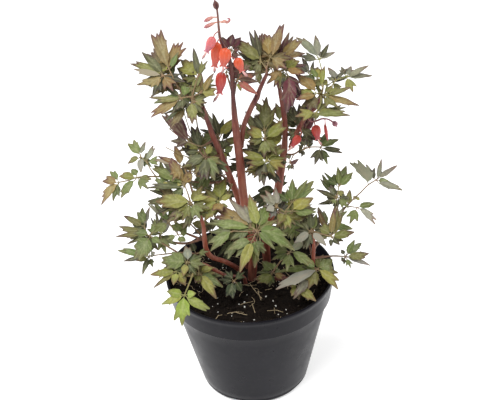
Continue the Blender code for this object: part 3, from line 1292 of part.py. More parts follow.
def sheet(name, verts, faces, tone, collection, thickness=None):
    """A free-formed surface: a leaf's sheet with its thickness, or a loft that is already closed."""
    first = verts[0]
    mesh = bpy.data.meshes.new(name)
    mesh.from_pydata([tuple((v - first) * MM) for v in verts], [], [list(f) for f in faces])
    bm = bmesh.new()
    bm.from_mesh(mesh)
    if thickness is None:
        bmesh.ops.recalc_face_normals(bm, faces=bm.faces)
        if bm.calc_volume(signed=True) < 0:
            bmesh.ops.reverse_faces(bm, faces=bm.faces)
        bmesh.ops.triangulate(bm, faces=bm.faces)
    bm.to_mesh(mesh)
    bm.free()
    mesh.validate()
    obj = place(name, mesh, tone, collection, tuple(first * MM))
    if thickness is not None:
        solid = obj.modifiers.new("thickness", "SOLIDIFY")
        solid.thickness = thickness * MM
        solid.offset = 0.0
    return obj


def clear_scene():
    for obj in list(bpy.data.objects):
        bpy.data.objects.remove(obj, do_unlink=True)


def outer_radius(z):
    """The pot's outer wall below the collar."""
    return POT_R_BASE + (POT_R_NECK - POT_R_BASE) * (z - 4.0) / (POT_H - COLLAR_H - 4.0)


def build_pot(collection, cutters):
    neck = POT_H - COLLAR_H
    low = POT_R_NECK + COLLAR_STEP
    profile = [
        (0.0, FLOOR_T), (outer_radius(FLOOR_T) - WALL - 1.6, FLOOR_T), (outer_radius(6.0) - WALL, 6.0),
        (POT_R_NECK - WALL, neck + 0.6), (low - WALL, neck + 3.2), (POT_R_TOP - WALL - 0.3, POT_H - 0.6),
        (POT_R_TOP - WALL + 0.3, POT_H), (POT_R_TOP - 0.5, POT_H), (POT_R_TOP, POT_H - 0.7), (POT_R_TOP - 0.2, POT_H - 3.0),
        (low, neck + 0.6), (low - 0.5, neck), (POT_R_NECK, neck - 0.6), (outer_radius(7.0), 7.0),
        (POT_R_BASE - 0.9, 3.0), (POT_R_BASE - 2.9, 0.9), (POT_R_BASE - 6.5, 0.0), (0.0, 0.0),
    ]
    pot = turned("pot", profile, 40, "pot", collection)
    # drainage notches round the edge of the base, one of them at the front
    for k in range(5):
        angle = math.radians(-107.9 + 72.0 * k)
        bpy.ops.mesh.primitive_cube_add(size=1.0)
        cutter = bpy.context.object
        cutter.name = "notch_%d" % (k + 1)
        for c in list(cutter.users_collection):
            c.objects.unlink(cutter)
        cutters.objects.link(cutter)
        for v in cutter.data.vertices:
            v.co.x *= 0.014
            v.co.y *= 0.031 if v.co.z < 0 else 0.023
            v.co.z = -0.002 if v.co.z < 0 else 0.0044
        cutter.location = (0.0535 * math.cos(angle), 0.0535 * math.sin(angle), 0.0)
        cutter.rotation_euler = (0.0, 0.0, angle)
        cutter.hide_render = True
        cutter.display_type = "WIRE"
        cut = pot.modifiers.new(cutter.name, "BOOLEAN")
        cut.operation = "DIFFERENCE"
        cut.solver = "EXACT"
        cut.object = cutter
    return pot


def build_soil(collection):
    neck = POT_H - COLLAR_H
    low = POT_R_NECK + COLLAR_STEP
    wall_at_top = low - WALL + (POT_R_TOP - low) * (SOIL_TOP - neck - 3.2) / (COLLAR_H - 3.8)
    profile = [
        (0.0, SOIL_TOP), (40.0, SOIL_TOP), (wall_at_top - 3.0, SOIL_TOP - 0.6), (wall_at_top - CLEAR - 0.9, SOIL_TOP - 2.4),
        (low - WALL - CLEAR - 0.2, neck + 3.8), (POT_R_NECK - WALL - CLEAR - 0.1, neck + 0.2),
        (outer_radius(6.0) - WALL - CLEAR - 0.2, 6.2), (POT_R_BASE - WALL - 3.2, FLOOR_T + CLEAR + 1.0), (0.0, FLOOR_T + CLEAR + 1.0),
    ]
    return turned("soil", profile, 40, "soil", collection)


def above_soil(points, radii):
    """Keeps a stem's foot just over the soil."""
    out = [p.copy() for p in points]
    for i in range(len(out)):
        d = unit(out[min(i + 1, len(out) - 1)] - out[max(i - 1, 0)])
        lean = math.sqrt(max(0.0, 1.0 - d[2] * d[2]))
        least = SOIL_TOP + CLEAR + 0.1 + radii[i] * lean
        if out[i][2] < least and out[i][0] ** 2 + out[i][1] ** 2 < 80.0 ** 2:
            out[i][2] = least
    return out


def main():
    clear_scene()
    plant = bpy.data.collections.new("bleeding_heart_plant")
    cutters = bpy.data.collections.new("cutters")
    bpy.context.scene.collection.children.link(plant)
    bpy.context.scene.collection.children.link(cutters)
    build_pot(plant, cutters)
    build_soil(plant)
    for name, axis, radii in STEM_AXES:
        rod(name, above_soil(axis, radii), radii, "stem", plant)
    for spec in HEARTS:
        verts, faces = heart_mesh(spec)
        sheet(spec[0], verts, faces, spec[8], plant)
    for name, points, radii, tone in BUDS:
        axis = [at_depth(*p) for p in points]
        q, r, _ = nearest_on_stems(axis[0], name)
        axis[0] = q + unit(axis[1] - q) * (r + radii[0] * 0.5 + CLEAR)
        rod(name, axis, radii, tone, plant, 1)
    placed = settled_plant()
    for leaf in LEAVES:
        made = placed[leaf[0]]
        sheet(leaf[0], made["verts"], made["tris"], leaf[1], plant, LEAF_T)


main()
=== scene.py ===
import math

import bmesh
import bpy
import numpy as np
from mathutils import Matrix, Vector
from mathutils.bvhtree import BVHTree


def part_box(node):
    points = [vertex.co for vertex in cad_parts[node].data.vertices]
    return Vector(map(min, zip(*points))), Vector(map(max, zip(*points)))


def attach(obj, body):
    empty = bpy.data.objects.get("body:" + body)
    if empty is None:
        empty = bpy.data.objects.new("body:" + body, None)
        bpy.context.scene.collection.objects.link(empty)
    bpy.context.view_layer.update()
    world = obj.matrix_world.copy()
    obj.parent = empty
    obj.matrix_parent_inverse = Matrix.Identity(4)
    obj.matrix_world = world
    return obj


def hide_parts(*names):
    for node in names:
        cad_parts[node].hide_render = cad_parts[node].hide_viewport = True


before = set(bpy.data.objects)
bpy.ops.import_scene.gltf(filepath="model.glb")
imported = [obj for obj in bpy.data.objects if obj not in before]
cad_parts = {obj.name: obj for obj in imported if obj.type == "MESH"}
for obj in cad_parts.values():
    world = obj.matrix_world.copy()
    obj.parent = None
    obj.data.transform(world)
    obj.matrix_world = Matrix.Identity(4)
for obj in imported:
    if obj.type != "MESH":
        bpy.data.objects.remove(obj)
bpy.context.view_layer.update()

MM = 0.001

# ---------------------------------------------------------------- layout plane
# The plant is set out on a sloping front layout: u to the right, v down, and y the
# distance in mm behind the pot's axis.  sight() gives the line of one (u, v).
EYE = (4.0, -873.0, 763.0)
SLOPE = math.radians(32.16)
LEAN = math.radians(-3.13)
REACH = 1063.0


def vec(p):
    return np.array(p, dtype=float)


def unit(a):
    n = math.sqrt(float(a[0] * a[0] + a[1] * a[1] + a[2] * a[2]))
    return a / n if n > 1e-9 else a


def cross(a, b):
    return np.array([a[1] * b[2] - a[2] * b[1], a[2] * b[0] - a[0] * b[2], a[0] * b[1] - a[1] * b[0]])


def dot(a, b):
    return float(a[0] * b[0] + a[1] * b[1] + a[2] * b[2])


_FW = vec((0.0, math.cos(SLOPE), -math.sin(SLOPE)))
_RT = vec((1.0, 0.0, 0.0))
_UP = cross(_RT, _FW)
_R2 = _RT * math.cos(LEAN) + _UP * math.sin(LEAN)
_U2 = _UP * math.cos(LEAN) - _RT * math.sin(LEAN)
EYE_AT = vec(EYE)


def sight(u, v):
    return unit(_FW + _R2 * ((u - 250.0) / REACH) - _U2 * ((v - 200.0) / REACH))


def at_depth(u, v, y):
    d = sight(u, v)
    return EYE_AT + d * ((y - EYE_AT[1]) / d[1])


def on_plane(u, v, p0, n, most=55.0):
    """The point of the layout line (u, v) on the plane through p0, held within `most` mm of p0's depth."""
    d = sight(u, v)
    k = dot(d, n)
    p = EYE_AT + d * (dot(p0 - EYE_AT, n) / k) if abs(k) > 1e-6 else at_depth(u, v, p0[1])
    if abs(p[1] - p0[1]) > most:
        p = at_depth(u, v, p0[1] + math.copysign(most, p[1] - p0[1]))
    return p


# ---------------------------------------------------------------- pot and soil (mm)
POT_H = 130.0
POT_R_TOP = 85.0
POT_R_BASE = 56.0
COLLAR_H = 25.0
COLLAR_STEP = 2.6
POT_R_NECK = 78.9
WALL = 2.0
FLOOR_T = 2.6
SOIL_TOP = 119.0
CLEAR = 0.3

# ---------------------------------------------------------------- stems
# name, points (u, v, y), radii in mm at the points
STEMS = [
    ("stem_main",
     [(252, 279, 0), (253, 252, -2), (249, 225, -4), (244, 200, -4), (241, 171, -3), (238.5, 149, -2), (236, 130, -1),
      (234.5, 115, 0), (233, 95, 0), (232.5, 81, 0), (231, 68, 0), (228.5, 56, 0), (224, 47, 0), (220.5, 40, 0),
      (218.8, 28, 0), (217.8, 16, 0), (217, 9.5, 0), (216.4, 7, 0), (215.6, 4, 0), (214.6, 0.5, 0)],
     [4.4, 4.4, 4.3, 4.2, 4.1, 3.9, 3.6, 2.7, 2.0, 2.3, 2.0, 1.7, 1.6, 1.3, 1.1, 0.9, 0.9, 2.6, 2.7, 0.6]),
    ("stem_right_upper",
     [(241.2, 147, 4.8), (242, 137, 4.8), (244, 125, 5), (248, 115, 5), (252, 106, 6), (257, 97, 7), (259.5, 90, 8),
      (263, 82, 9), (266.8, 74, 10)],
     [2.4, 2.4, 2.4, 2.5, 2.5, 2.7, 2.0, 1.9, 1.7]),
    ("stem_right",
     [(267, 262, 30), (266, 240, 29), (270, 218, 28), (275, 202, 28), (278, 190, 27), (280.5, 172, 26), (283.5, 155, 25.5),
      (285, 137, 25), (284.5, 120, 24), (283, 108, 23.5), (281, 97, 23), (279, 85, 21.5), (276.3, 72, 20)],
     [4.3, 4.3, 4.2, 4.2, 4.2, 4.1, 3.6, 2.8, 2.6, 2.3, 2.1, 1.9, 1.8]),
    ("stem_right_outer",
     [(290.6, 147.5, 24.5), (294, 138, 24), (299, 128, 22), (304.5, 119, 20), (310, 112.5, 18), (316, 107, 17),
      (319, 101, 16), (321, 94.5, 16)],
     [2.4, 2.3, 2.2, 2.1, 2.0, 2.0, 1.8, 1.6]),
    ("stem_left",
     [(248, 265, 20), (243, 240, 16), (240.5, 215, 12), (239.5, 203, 9.5), (236, 192, 7), (231, 179, 4),
      (225.7, 166, 1), (218.6, 149, -3), (212.5, 135, -6), (209, 125, -8), (206, 117, -10), (203, 108, -12)],
     [3.2, 3.2, 3.1, 3.1, 3.1, 3.0, 3.0, 2.9, 2.6, 2.3, 2.1, 2.0]),
    ("stem_low_left",
     [(240, 271, -3), (226, 262, -12), (212, 257, -18), (206.5, 250, -22), (204.5, 238, -26), (203, 224, -28),
      (198, 210.5, -30)],
     [2.6, 2.4, 2.4, 2.5, 2.3, 1.8, 1.5]),
    ("stem_low_front",
     [(243.5, 277.5, -9), (227, 276, -20), (213, 269, -28), (203, 264, -34), (196, 263.5, -38)],
     [1.9, 1.8, 1.7, 1.6, 1.4]),
    ("stem_low_right",
     [(262, 277, 0), (280, 279, -18), (302, 276, -32), (312, 268, -38), (313.5, 255, -38), (313.5, 240, -37),
      (312.5, 228, -36)],
     [1.9, 1.8, 1.8, 1.8, 1.7, 1.6, 1.4]),
]

# ---------------------------------------------------------------- leaves
# name, tone, hub (u, v), hub depth, plane normal, stalk points (u, v, y) from the stem up to the hub,
# then twigs: (path of (u, v) from an earlier hub, blades at its end).
# One blade: base u, v, [lobe tips u, v ...], width in mm, {t: tone, f: 1 where its underside is in front}
LEAVES = [
    ("leaf_top_left", "bronze", (172, 75), 0, (-0.25, -0.55, 0.8), [(204.8, 113, -9), (190, 97.5, -4), (178, 87, -2)], [
        ([(172, 75), (169, 69)], [
            (166.5, 64, [(154, 38.5), (160, 37.5), (164.2, 33.8)], 12),
            (163, 58, [(144.5, 44.5), (151, 42.5)], 8),
            (169, 63, [(171.5, 39), (176.3, 38.5), (181.3, 38), (185.5, 45.3)], 12, {}),
            (172.5, 66, [(179.3, 53)], 5, {"t": "green"}),
            (166, 70, [(157.5, 59)], 7, {"t": "yellow"})]),
        ([(172, 75), (163, 75)], [
            (160, 70, [(141.8, 52), (147, 55)], 8, {"t": "dark"}),
            (158, 72, [(127, 60), (133, 58), (140, 61)], 9, {"t": "olive"}),
            (157, 75, [(134.5, 70.3), (139, 74.5)], 6, {"f": 1}),
            (160, 78, [(134, 82.3), (140, 78), (145, 84), (149.5, 87), (157, 85.5)], 10)]),
    ]),
    ("leaf_upper_left", "olive", (192, 97), -16, (-0.15, -0.5, 0.85), [(202.3, 105.8, -13)], [
        ([(192, 97), (182, 98)], [
            (175, 93, [(162.5, 82.3), (168, 89)], 6, {"t": "dark"}),
            (176, 97, [(149, 94.5), (157, 92.5)], 9, {"t": "green"}),
            (177, 100, [(149.5, 100.3), (160, 103.5)], 5),
            (173, 104, [(148.5, 109.7), (157, 104.5), (148, 114.3), (160, 112.5)], 10, {"t": "bronze"}),
            (184, 103, [(176.3, 110), (183, 109.5)], 8, {"t": "dark"}),
            (187, 93, [(181, 82), (185.5, 85.5), (190, 86.5)], 7, {"t": "green"})]),
        ([(192, 97), (195, 86), (198, 77)], [
            (195, 73, [(176.5, 67), (180.3, 58.5), (184.3, 58)], 13, {"t": "yellow"}),
            (198, 70, [(186.5, 50.5)], 5, {"t": "dark"}),
            (199, 70, [(194.8, 51)], 5, {"t": "dark"}),
            (200, 72, [(206, 61)], 4),
            (202, 72, [(210.5, 67.5), (204, 66)], 4)]),
        ([(192, 97), (200, 93)], [
            (203, 93, [(216.3, 88), (215, 94.5)], 9, {"t": "yellow"}),
            (205.5, 86, [(211.5, 70.5), (213.5, 77)], 6, {"t": "green"}),
            (202.5, 86, [(203.5, 77.5)], 4, {"t": "dark"}),
            (208, 89, [(216.5, 79.5)], 5, {"t": "bronze"})]),
        ([(192, 97), (192, 101)], [
            (192, 104, [(187.5, 118), (191.7, 123.2), (196, 119.5)], 10)]),
    ]),
    ("leaf_plum_left", "plum", (189, 142), -14, (-0.4, -0.75, 0.5), [(213, 142, -8), (201, 146, -12)], [
        ([], [
            (186, 138, [(159.3, 114.3), (163, 112)], 8),
            (184.5, 133, [(166, 110.5), (170.5, 110)], 10),
            (187, 135, [(176.5, 119.5), (181, 117), (183.5, 120)], 7)]),
    ]),
    ("leaf_mid_left", "olive", (206, 157), -19, (-0.25, -0.5, 0.8), [(219, 158, -6), (212, 157, -14)], [
        ([(206, 157), (200, 151)], [
            (197.5, 148, [(178.3, 141.3), (186, 143)], 7, {"t": "yellow"}),
            (196, 151.5, [(184.5, 152.3)], 4.5, {"t": "dark"}),
            (198.5, 146, [(194.5, 131), (201, 131)], 9, {"t": "dark"}),
            (202, 147, [(203, 133), (207.5, 131)], 5, {"t": "green"})]),
        ([], [
            (208, 153, [(209.3, 142.5), (212.5, 146)], 7, {"t": "yellow"}),
            (202, 157, [(191, 166), (184.5, 163), (187, 157.5)], 10, {"t": "dark"}),
            (205, 162, [(200, 179), (207, 179.5)], 10, {"t": "dark"}),
            (210, 160, [(213, 179), (218, 172)], 8, {"t": "green"})]),
        ([(200, 151), (199.3, 140), (197.5, 127), (195.5, 113)], []),
        ([(206, 157), (204, 150), (196, 142), (190, 131), (186, 119), (183.7, 111.5)], []),
    ]),
    ("leaf_inner_left", "green", (219, 140), 6, (0.1, -0.55, 0.85), [(213.5, 140, -4)], [
        ([(219, 140), (218.8, 136)], [
            (218, 131, [(212.5, 111)], 5, {"t": "dark"}),
            (216.5, 131, [(206, 110.5), (209, 112)], 4.5, {"f": 1}),
            (222, 132, [(235, 117), (233, 125)], 9, {"t": "yellow"})]),
        ([(219, 140), (222, 150)], [
            (224, 144, [(220, 139), (226, 137.5), (230, 141)], 10, {"t": "dark"}),
            (225, 151, [(233, 146), (231, 152)], 7),
            (223, 154, [(227, 159), (221, 158)], 7, {"t": "yellow"})]),
    ]),
    ("leaf_top_mid", "bronze", (266.5, 69), 7, (-0.1, -0.6, 0.8), [(266.9, 72.5, 10)], [
        ([(266.5, 69), (261, 61)], [
            (258, 57, [(241, 53.5), (235, 49.3), (239, 44.3)], 14, {"t": "olive"}),
            (257.5, 52, [(249, 31.5)], 4.5, {"t": "dark"}),
            (259.5, 50, [(255.5, 34)], 4.5, {"t": "dark"}),
            (260, 65, [(254, 70), (252, 62.5), (256, 60)], 10, {"t": "yellow"})]),
        ([(266.5, 69), (270, 57)], [
            (268, 52, [(264, 32), (269, 33.5)], 11),
            (271.5, 51, [(273.3, 27), (277.6, 27)], 9),
            (275.5, 53, [(281, 28.5), (285, 27.5)], 9)]),
    ]),
    ("leaf_top_right", "bronze", (277, 67), 18, (0.15, -0.6, 0.8), [(276.5, 70.5, 20)], [
        ([(277, 67), (280, 58)], [
            (281.5, 52, [(287, 36), (290, 30)], 6, {"t": "plum"}),
            (283.5, 52, [(292, 35), (295.3, 30.5)], 6, {"t": "plum"}),
            (285.5, 54, [(296, 41), (301.5, 43)], 9),
            (286, 57, [(301, 48), (307.5, 48)], 7),
            (284, 61, [(292, 57.5), (287, 65)], 10, {"t": "yellow"})]),
        ([(277, 67), (284, 69)], [
            (288, 67, [(295, 59), (300, 61)], 8, {"t": "yellow"}),
            (293, 68.5, [(304, 60), (308.5, 60)], 5, {"t": "plum"}),
            (291, 71, [(306, 72.5)], 6)]),
        ([(284, 69), (288, 75)], [
            (289.5, 80, [(287, 112), (293, 106)], 13, {"t": "plum"}),
            (284.5, 79, [(283.5, 87.5)], 6, {"t": "dark"})]),
    ]),
    ("leaf_right_upper", "yellow", (321, 92), 9, (0.1, -0.5, 0.85), [(321.3, 93.2, 13)], [
        ([(321, 92), (323, 87)], [
            (321.5, 85, [(320, 74), (323, 72.5)], 5),
            (324, 85, [(327.3, 76.5)], 4)]),
        ([(321, 92), (316, 93)], [
            (313, 88, [(295, 72), (301, 74)], 12, {"t": "bronze"}),
            (312, 92.5, [(292, 94.5), (300, 89)], 9),
            (313, 97, [(299, 99.5), (295, 103)], 8, {"t": "bronze"})]),
        ([(321, 92), (326, 94)], [
            (329, 91, [(341.5, 87.7), (338, 92)], 6),
            (331, 95, [(350, 93.5), (343, 96)], 6, {"t": "olive"}),
            (332, 99, [(361, 102), (345, 102)], 8, {"t": "bronze"}),
            (328, 101, [(338, 109), (325, 108)], 7, {"t": "olive"})]),
        ([(321, 92), (320.5, 104), (316, 112.5)], [
            (319, 113, [(341, 111), (335, 110)], 8, {"t": "olive"}),
            (319, 116.5, [(351, 117), (346, 112)], 7, {"t": "olive"})]),
        ([(323, 87), (322, 79.5), (321.6, 70), (319, 59.5)], [
            (314, 52, [(296, 35.5), (303, 36.3)], 9, {"t": "grey"}),
            (316.5, 51, [(315, 36), (317.3, 39)], 7, {"t": "grey"}),
            (321, 55.5, [(321.5, 46.5), (324.5, 49)], 5, {"t": "grey"}),
            (323.5, 56, [(328.3, 46)], 4, {"t": "dark"}),
            (324, 58, [(330, 51), (336, 50)], 5, {"t": "grey"})]),
        ([(322, 79.5), (317.5, 80)], [
            (316, 77, [(310, 67.5), (313, 70)], 6, {"t": "green"}),
            (318, 76, [(319, 63.5)], 8, {})]),
        ([(326, 94), (331, 87.5), (336, 80.5)], [
            (334.5, 76, [(328, 66.5), (334, 71)], 7, {"t": "grey"}),
            (339, 78.5, [(339.5, 73.5)], 4, {"t": "grey"})]),
        ([(336, 80.5), (346, 76.5)], [
            (348, 73, [(351.5, 65.5)], 4.5, {"t": "grey"}),
            (350, 74, [(355.5, 68), (359.3, 69)], 8, {"t": "grey"}),
            (352, 76, [(367, 72.3)], 5, {"t": "grey"}),
            (352, 77.5, [(372.5, 76.5), (363, 76)], 6, {"t": "grey"})]),
    ]),
    ("leaf_dark_clump", "dark", (303, 131), 12, (0.0, -0.8, 0.6), [(299.5, 131, 19)], [
        ([(303, 131), (303, 124)], [
            (300.5, 117, [(299, 103)], 6),
            (304, 117, [(305, 103.5), (309, 102)], 7),
            (307, 117, [(311.5, 104.7)], 5)]),
        ([], [
            (304.5, 129, [(314, 114.5), (311, 118)], 11, {"t": "plum"})]),
    ]),
    ("leaf_mid", "olive", (265, 138), 14, (0.0, -0.7, 0.7), [(280, 154, 21), (271, 146, 17)], [
        ([(265, 138), (265, 131)], [
            (263.5, 122, [(261, 104), (266.5, 95.3), (269, 108)], 11),
            (269.5, 122, [(273, 108), (276.3, 103)], 6),
            (260.5, 126, [(251.5, 118), (254, 115.5)], 6, {"t": "dark"}),
            (259.5, 130, [(256, 123.3)], 4, {"t": "dark"})]),
        ([], [
            (260, 136.5, [(246, 132), (250.5, 126)], 9, {"t": "yellow"}),
            (270, 135.5, [(287, 127), (283, 119)], 9, {"t": "yellow"})]),
    ]),
    ("leaf_mid_front", "yellow", (267, 160), -4, (0.0, -0.45, 0.9), [(279, 163, 20), (274, 162, 8)], [
        ([(267, 160), (266, 151)], [
            (259, 145, [(247.5, 145), (249.5, 139)], 9, {"t": "dark"}),
            (265, 145, [(262, 139)], 6),
            (272, 146, [(275, 130), (283, 130)], 13),
            (260, 151, [(250, 153), (247, 148)], 7)]),
        ([], [
            (261, 158, [(243, 159), (240.5, 150)], 8, {}),
            (262, 162, [(246, 165.5)], 5),
            (262, 165, [(250, 172), (246, 169.5)], 7, {"t": "olive"}),
            (263, 168, [(264, 183), (259, 180), (255, 173)], 10, {"t": "dark"}),
            (275, 152, [(286, 147), (281, 142)], 8, {"t": "olive"})]),
    ]),
    ("leaf_right_small", "dark", (320.5, 147), 8, (0.1, -0.5, 0.85), [(287, 157, 21), (294, 154, 16), (300, 150.5, 13), (310, 147.2, 10)], [
        ([], [
            (322, 146, [(333, 139.5), (339.3, 138.3)], 8, {"t": "green"}),
            (324, 149, [(343.3, 152.2), (341.5, 148.5)], 6)]),
        ([(303, 149.6), (305, 148)], [
            (304.5, 145.5, [(300.5, 141), (306, 139.5)], 7),
            (308, 145.5, [(309, 138), (314, 140)], 6),
            (302, 151, [(298.5, 148), (299, 153.5)], 5)]),
        ([(294, 154), (290, 162)], [
            (291, 163.5, [(295, 159.3)], 4, {"t": "plum"}),
            (291.5, 164.5, [(298.5, 160.3)], 3.5, {"t": "plum"})]),
    ]),
    ("leaf_right_fan", "green", (285, 212), -45, (0.2, -0.5, 0.85), [(277, 213, 21), (282, 213, -14)], [
        ([(285, 212), (292, 203)], [
            (291.5, 197, [(293, 177)], 6),
            (287, 198, [(288.5, 185.3)], 5),
            (297, 195, [(308.7, 177.5)], 5),
            (299, 197, [(316.2, 176)], 8),
            (303, 197.5, [(314.3, 189)], 4)]),
        ([(285, 212), (292, 211)], [
            (296, 207, [(305, 199), (313, 199.3)], 12, {"t": "yellow"}),
            (299, 212, [(318, 210), (306, 215)], 7)]),
        ([], [
            (287, 216, [(291, 228), (285, 229)], 7, {"t": "yellow"}),
            (282, 217, [(277, 226)], 7, {"t": "olive"})]),
        ([(285, 212), (277, 207)], [
            (271, 203, [(260, 194)], 6, {"t": "grey"}),
            (272.5, 201, [(264, 192)], 5, {"t": "grey"}),
            (274, 200, [(269.5, 189)], 5, {"t": "grey"}),
            (276, 200, [(275.5, 187)], 5, {"t": "grey"}),
            (279, 200, [(282, 190)], 5, {"t": "grey"}),
            (273, 207.5, [(266, 210)], 6, {"t": "grey", "f": 1})]),
    ]),
    ("leaf_central", "green", (257, 231), -64, (-0.05, -0.6, 0.8), [(257.5, 266, -7), (259, 250, -36)], [
        ([(257, 231), (251, 227)], [
            (246, 228, [(206.5, 222), (212, 219)], 9),
            (244, 222, [(213, 213.5), (215, 206.5), (222, 204)], 13, {"t": "bronze"}),
            (247.5, 219, [(229.5, 202), (233.5, 203)], 7, {"t": "grey"}),
            (251, 219, [(238, 202), (244, 203)], 8, {"t": "grey"})]),
        ([], [
            (256, 217, [(249, 193.5)], 8, {"t": "yellow"}),
            (262, 220, [(260, 205), (266, 199), (270, 207)], 11, {"t": "green"}),
            (263, 234, [(275, 249)], 5),
            (265, 229, [(294.5, 247.3), (287, 233), (280, 228)], 14)]),
        ([(257, 231), (245, 231.5), (233, 231)], [
            (229, 233, [(207.5, 242.5), (210, 250.5)], 9)]),
        ([(257, 231), (252.5, 240)], [
            (248, 242, [(228, 249), (233, 242.5)], 9),
            (249.5, 248, [(239.3, 272)], 8, {"t": "yellow"}),
            (256, 243, [(258, 254.5), (253, 250)], 8)]),
    ]),
    ("leaf_tall_right", "green", (337, 197), -2, (0.2, -0.55, 0.8), [(314.5, 246, -34), (325, 236, -24), (332.5, 222, -14), (336, 207, -6)], [
        ([(337, 197), (338.7, 187)], [
            (339, 181, [(338.2, 165.5)], 4.5),
            (341, 181, [(344, 168), (349.5, 160.5)], 8),
            (343, 182.5, [(353.3, 171.8)], 6)]),
        ([], [
            (333, 197.5, [(316, 188.5)], 4.5, {"t": "dark"}),
            (333.5, 193.5, [(326.5, 190), (329, 187.5)], 7, {"t": "dark"}),
            (339.5, 195, [(341, 189), (346, 186.8)], 8, {"t": "yellow"})]),
    ]),
    ("leaf_far_right", "green", (347, 206), -6, (0.25, -0.5, 0.85), [(313.8, 232, -33), (328, 236, -26), (338, 229, -18), (342, 217, -12), (343.5, 210, -9)], [
        ([(347, 206), (357, 207.5)], [
            (361, 206.5, [(370, 203.3), (375.5, 203)], 7),
            (362, 210, [(378, 222.3), (379.5, 217), (376, 211.5)], 8, {"t": "grey"})]),
        ([], [
            (344, 202.5, [(338, 199)], 7, {"t": "grey", "f": 1}),
            (348.7, 200, [(350.5, 188.5)], 5, {"t": "olive"})]),
        ([(347, 206), (353, 199.5), (360, 193), (368.5, 184.7)], [
            (367, 180, [(350, 159.7), (354.5, 160.3), (358, 158), (363.5, 163.7), (368.3, 165), (373, 172)], 14, {"f": 1})]),
        ([(353, 199.5)], [
            (356, 199, [(357, 193.5), (361.3, 194.7)], 7, {"t": "yellow"})]),
        ([(368.5, 184.7), (376, 180)], [
            (379.5, 175, [(382.5, 157)], 4, {"t": "grey"}),
            (382, 173, [(385, 164.5), (388.5, 167)], 6, {"t": "dark"}),
            (384, 174.5, [(395, 169.2)], 4.5, {"t": "grey"}),
            (381, 181, [(391, 187), (395, 180.5), (390, 178.3)], 10),
            (382, 186, [(400.5, 194.5), (397, 190)], 7, {"t": "grey"})]),
    ]),
    ("leaf_low_far_right", "green", (345.5, 256.5), -34, (0.3, -0.5, 0.8), [(315.6, 258, -38), (333, 256, -36)], [
        ([], [
            (349, 249.5, [(355.3, 239)], 5),
            (351, 251, [(358, 242), (366, 238.3)], 8),
            (351, 256.5, [(366, 257.5), (370, 252.7)], 8, {"t": "olive"}),
            (352, 259, [(374, 262.5)], 4.5, {"t": "grey"}),
            (343, 252, [(341, 249.5)], 4, {"t": "dark"}),
            (343.5, 259, [(341.5, 261)], 4, {"t": "dark"})]),
    ]),
    ("leaf_rim_right", "green", (317.5, 269), -47, (0.2, -0.5, 0.85), [(313.5, 270, -41)], [
        ([], [
            (322, 272, [(339, 288.3), (340, 280)], 9, {"t": "yellow"}),
            (322, 266, [(334.5, 266), (333.5, 257)], 12),
            (312, 272.5, [(276, 288.2), (278.5, 283)], 10, {"t": "grey", "f": 1}),
            (311, 269, [(280, 268.3), (289, 265.5)], 8),
            (311, 265, [(299, 259)], 6)]),
    ]),
    ("leaf_front_right", "green", (290, 252), -50, (0.1, -0.5, 0.85), [(267.5, 278, -7), (272.5, 272.5, -24), (280, 262, -38)], [
        ([], [
            (294, 252, [(314.5, 263.5), (309, 265)], 9),
            (294, 247.5, [(308, 238)], 6, {"f": 1})]),
        ([(272.5, 272.5)], [
            (271, 268, [(262, 260.5)], 8),
            (275.5, 266.5, [(275, 260)], 6),
            (269, 276.5, [(267, 284.5), (257, 283), (253.5, 279)], 10, {"t": "olive"}),
            (277, 275, [(286, 275.5), (283, 280)], 6, {"t": "bronze"})]),
    ]),
    ("leaf_soil_right", "yellow", (299, 286), -55, (0.1, -0.5, 0.85), [(298.5, 278.5, -32), (299, 281, -44)], [
        ([], [
            (303, 284, [(319.5, 279.3)], 7, {"t": "olive"}),
            (296, 289, [(290, 292), (291.5, 296)], 7),
            (303, 289, [(316.5, 300.3), (304, 297)], 10),
            (295, 285, [(290.5, 285)], 5)]),
    ]),
    ("leaf_right_low", "dark", (311, 231), -46, (0.1, -0.6, 0.8), [(312.8, 234, -39)], [
        ([], [
            (306, 229, [(300, 221), (305, 216)], 8),
            (305, 235, [(294, 243)], 6, {"f": 1}),
            (311, 226, [(309, 213)], 6),
            (313.5, 226, [(317, 213)], 5, {"t": "green"}),
            (315, 229, [(321.5, 212)], 6),
            (316, 236, [(327, 245.5)], 6, {"f": 1, "t": "grey"})]),
        ([(311, 231), (320, 233.5), (331, 236.5)], [
            (337, 236.5, [(355.3, 231.2)], 7, {"t": "olive"}),
            (334.5, 240.5, [(340, 244.7)], 4),
            (331, 241, [(331, 246.5)], 3.5),
            (336, 230, [(342.5, 213), (338, 205)], 7, {"t": "olive"}),
            (331.5, 229, [(333, 209.5)], 5, {"t": "bronze"}),
            (327, 231, [(318, 226), (324, 219)], 8, {"t": "olive"})]),
    ]),
    ("leaf_left", "green", (191, 203), -38, (-0.2, -0.5, 0.85), [(196.3, 208, -32)], [
        ([], [
            (185, 201, [(160.5, 205.5), (154, 200), (161, 195)], 15, {"t": "yellow"}),
            (185, 206, [(165, 211), (171, 216)], 9, {"t": "olive"}),
            (194, 199.5, [(211, 196), (203, 193.5)], 5, {"t": "yellow"})]),
        ([(191, 203), (188, 194), (185, 186)], [
            (178, 179, [(150.5, 166.5), (152, 163)], 10),
            (175, 172.5, [(161.3, 160)], 5, {"t": "dark"}),
            (178, 183.5, [(155, 185.3), (156, 182.3), (154.5, 178.5)], 8, {"t": "yellow"}),
            (181.5, 176, [(171.5, 166.5), (174, 162.5)], 10, {"t": "bronze"}),
            (184, 172, [(179.5, 155)], 6, {"t": "dark"}),
            (187, 180, [(191, 170)], 8, {"t": "bronze"}),
            (178, 189, [(147, 191.5), (152.5, 187)], 5, {"t": "dark"})]),
    ]),
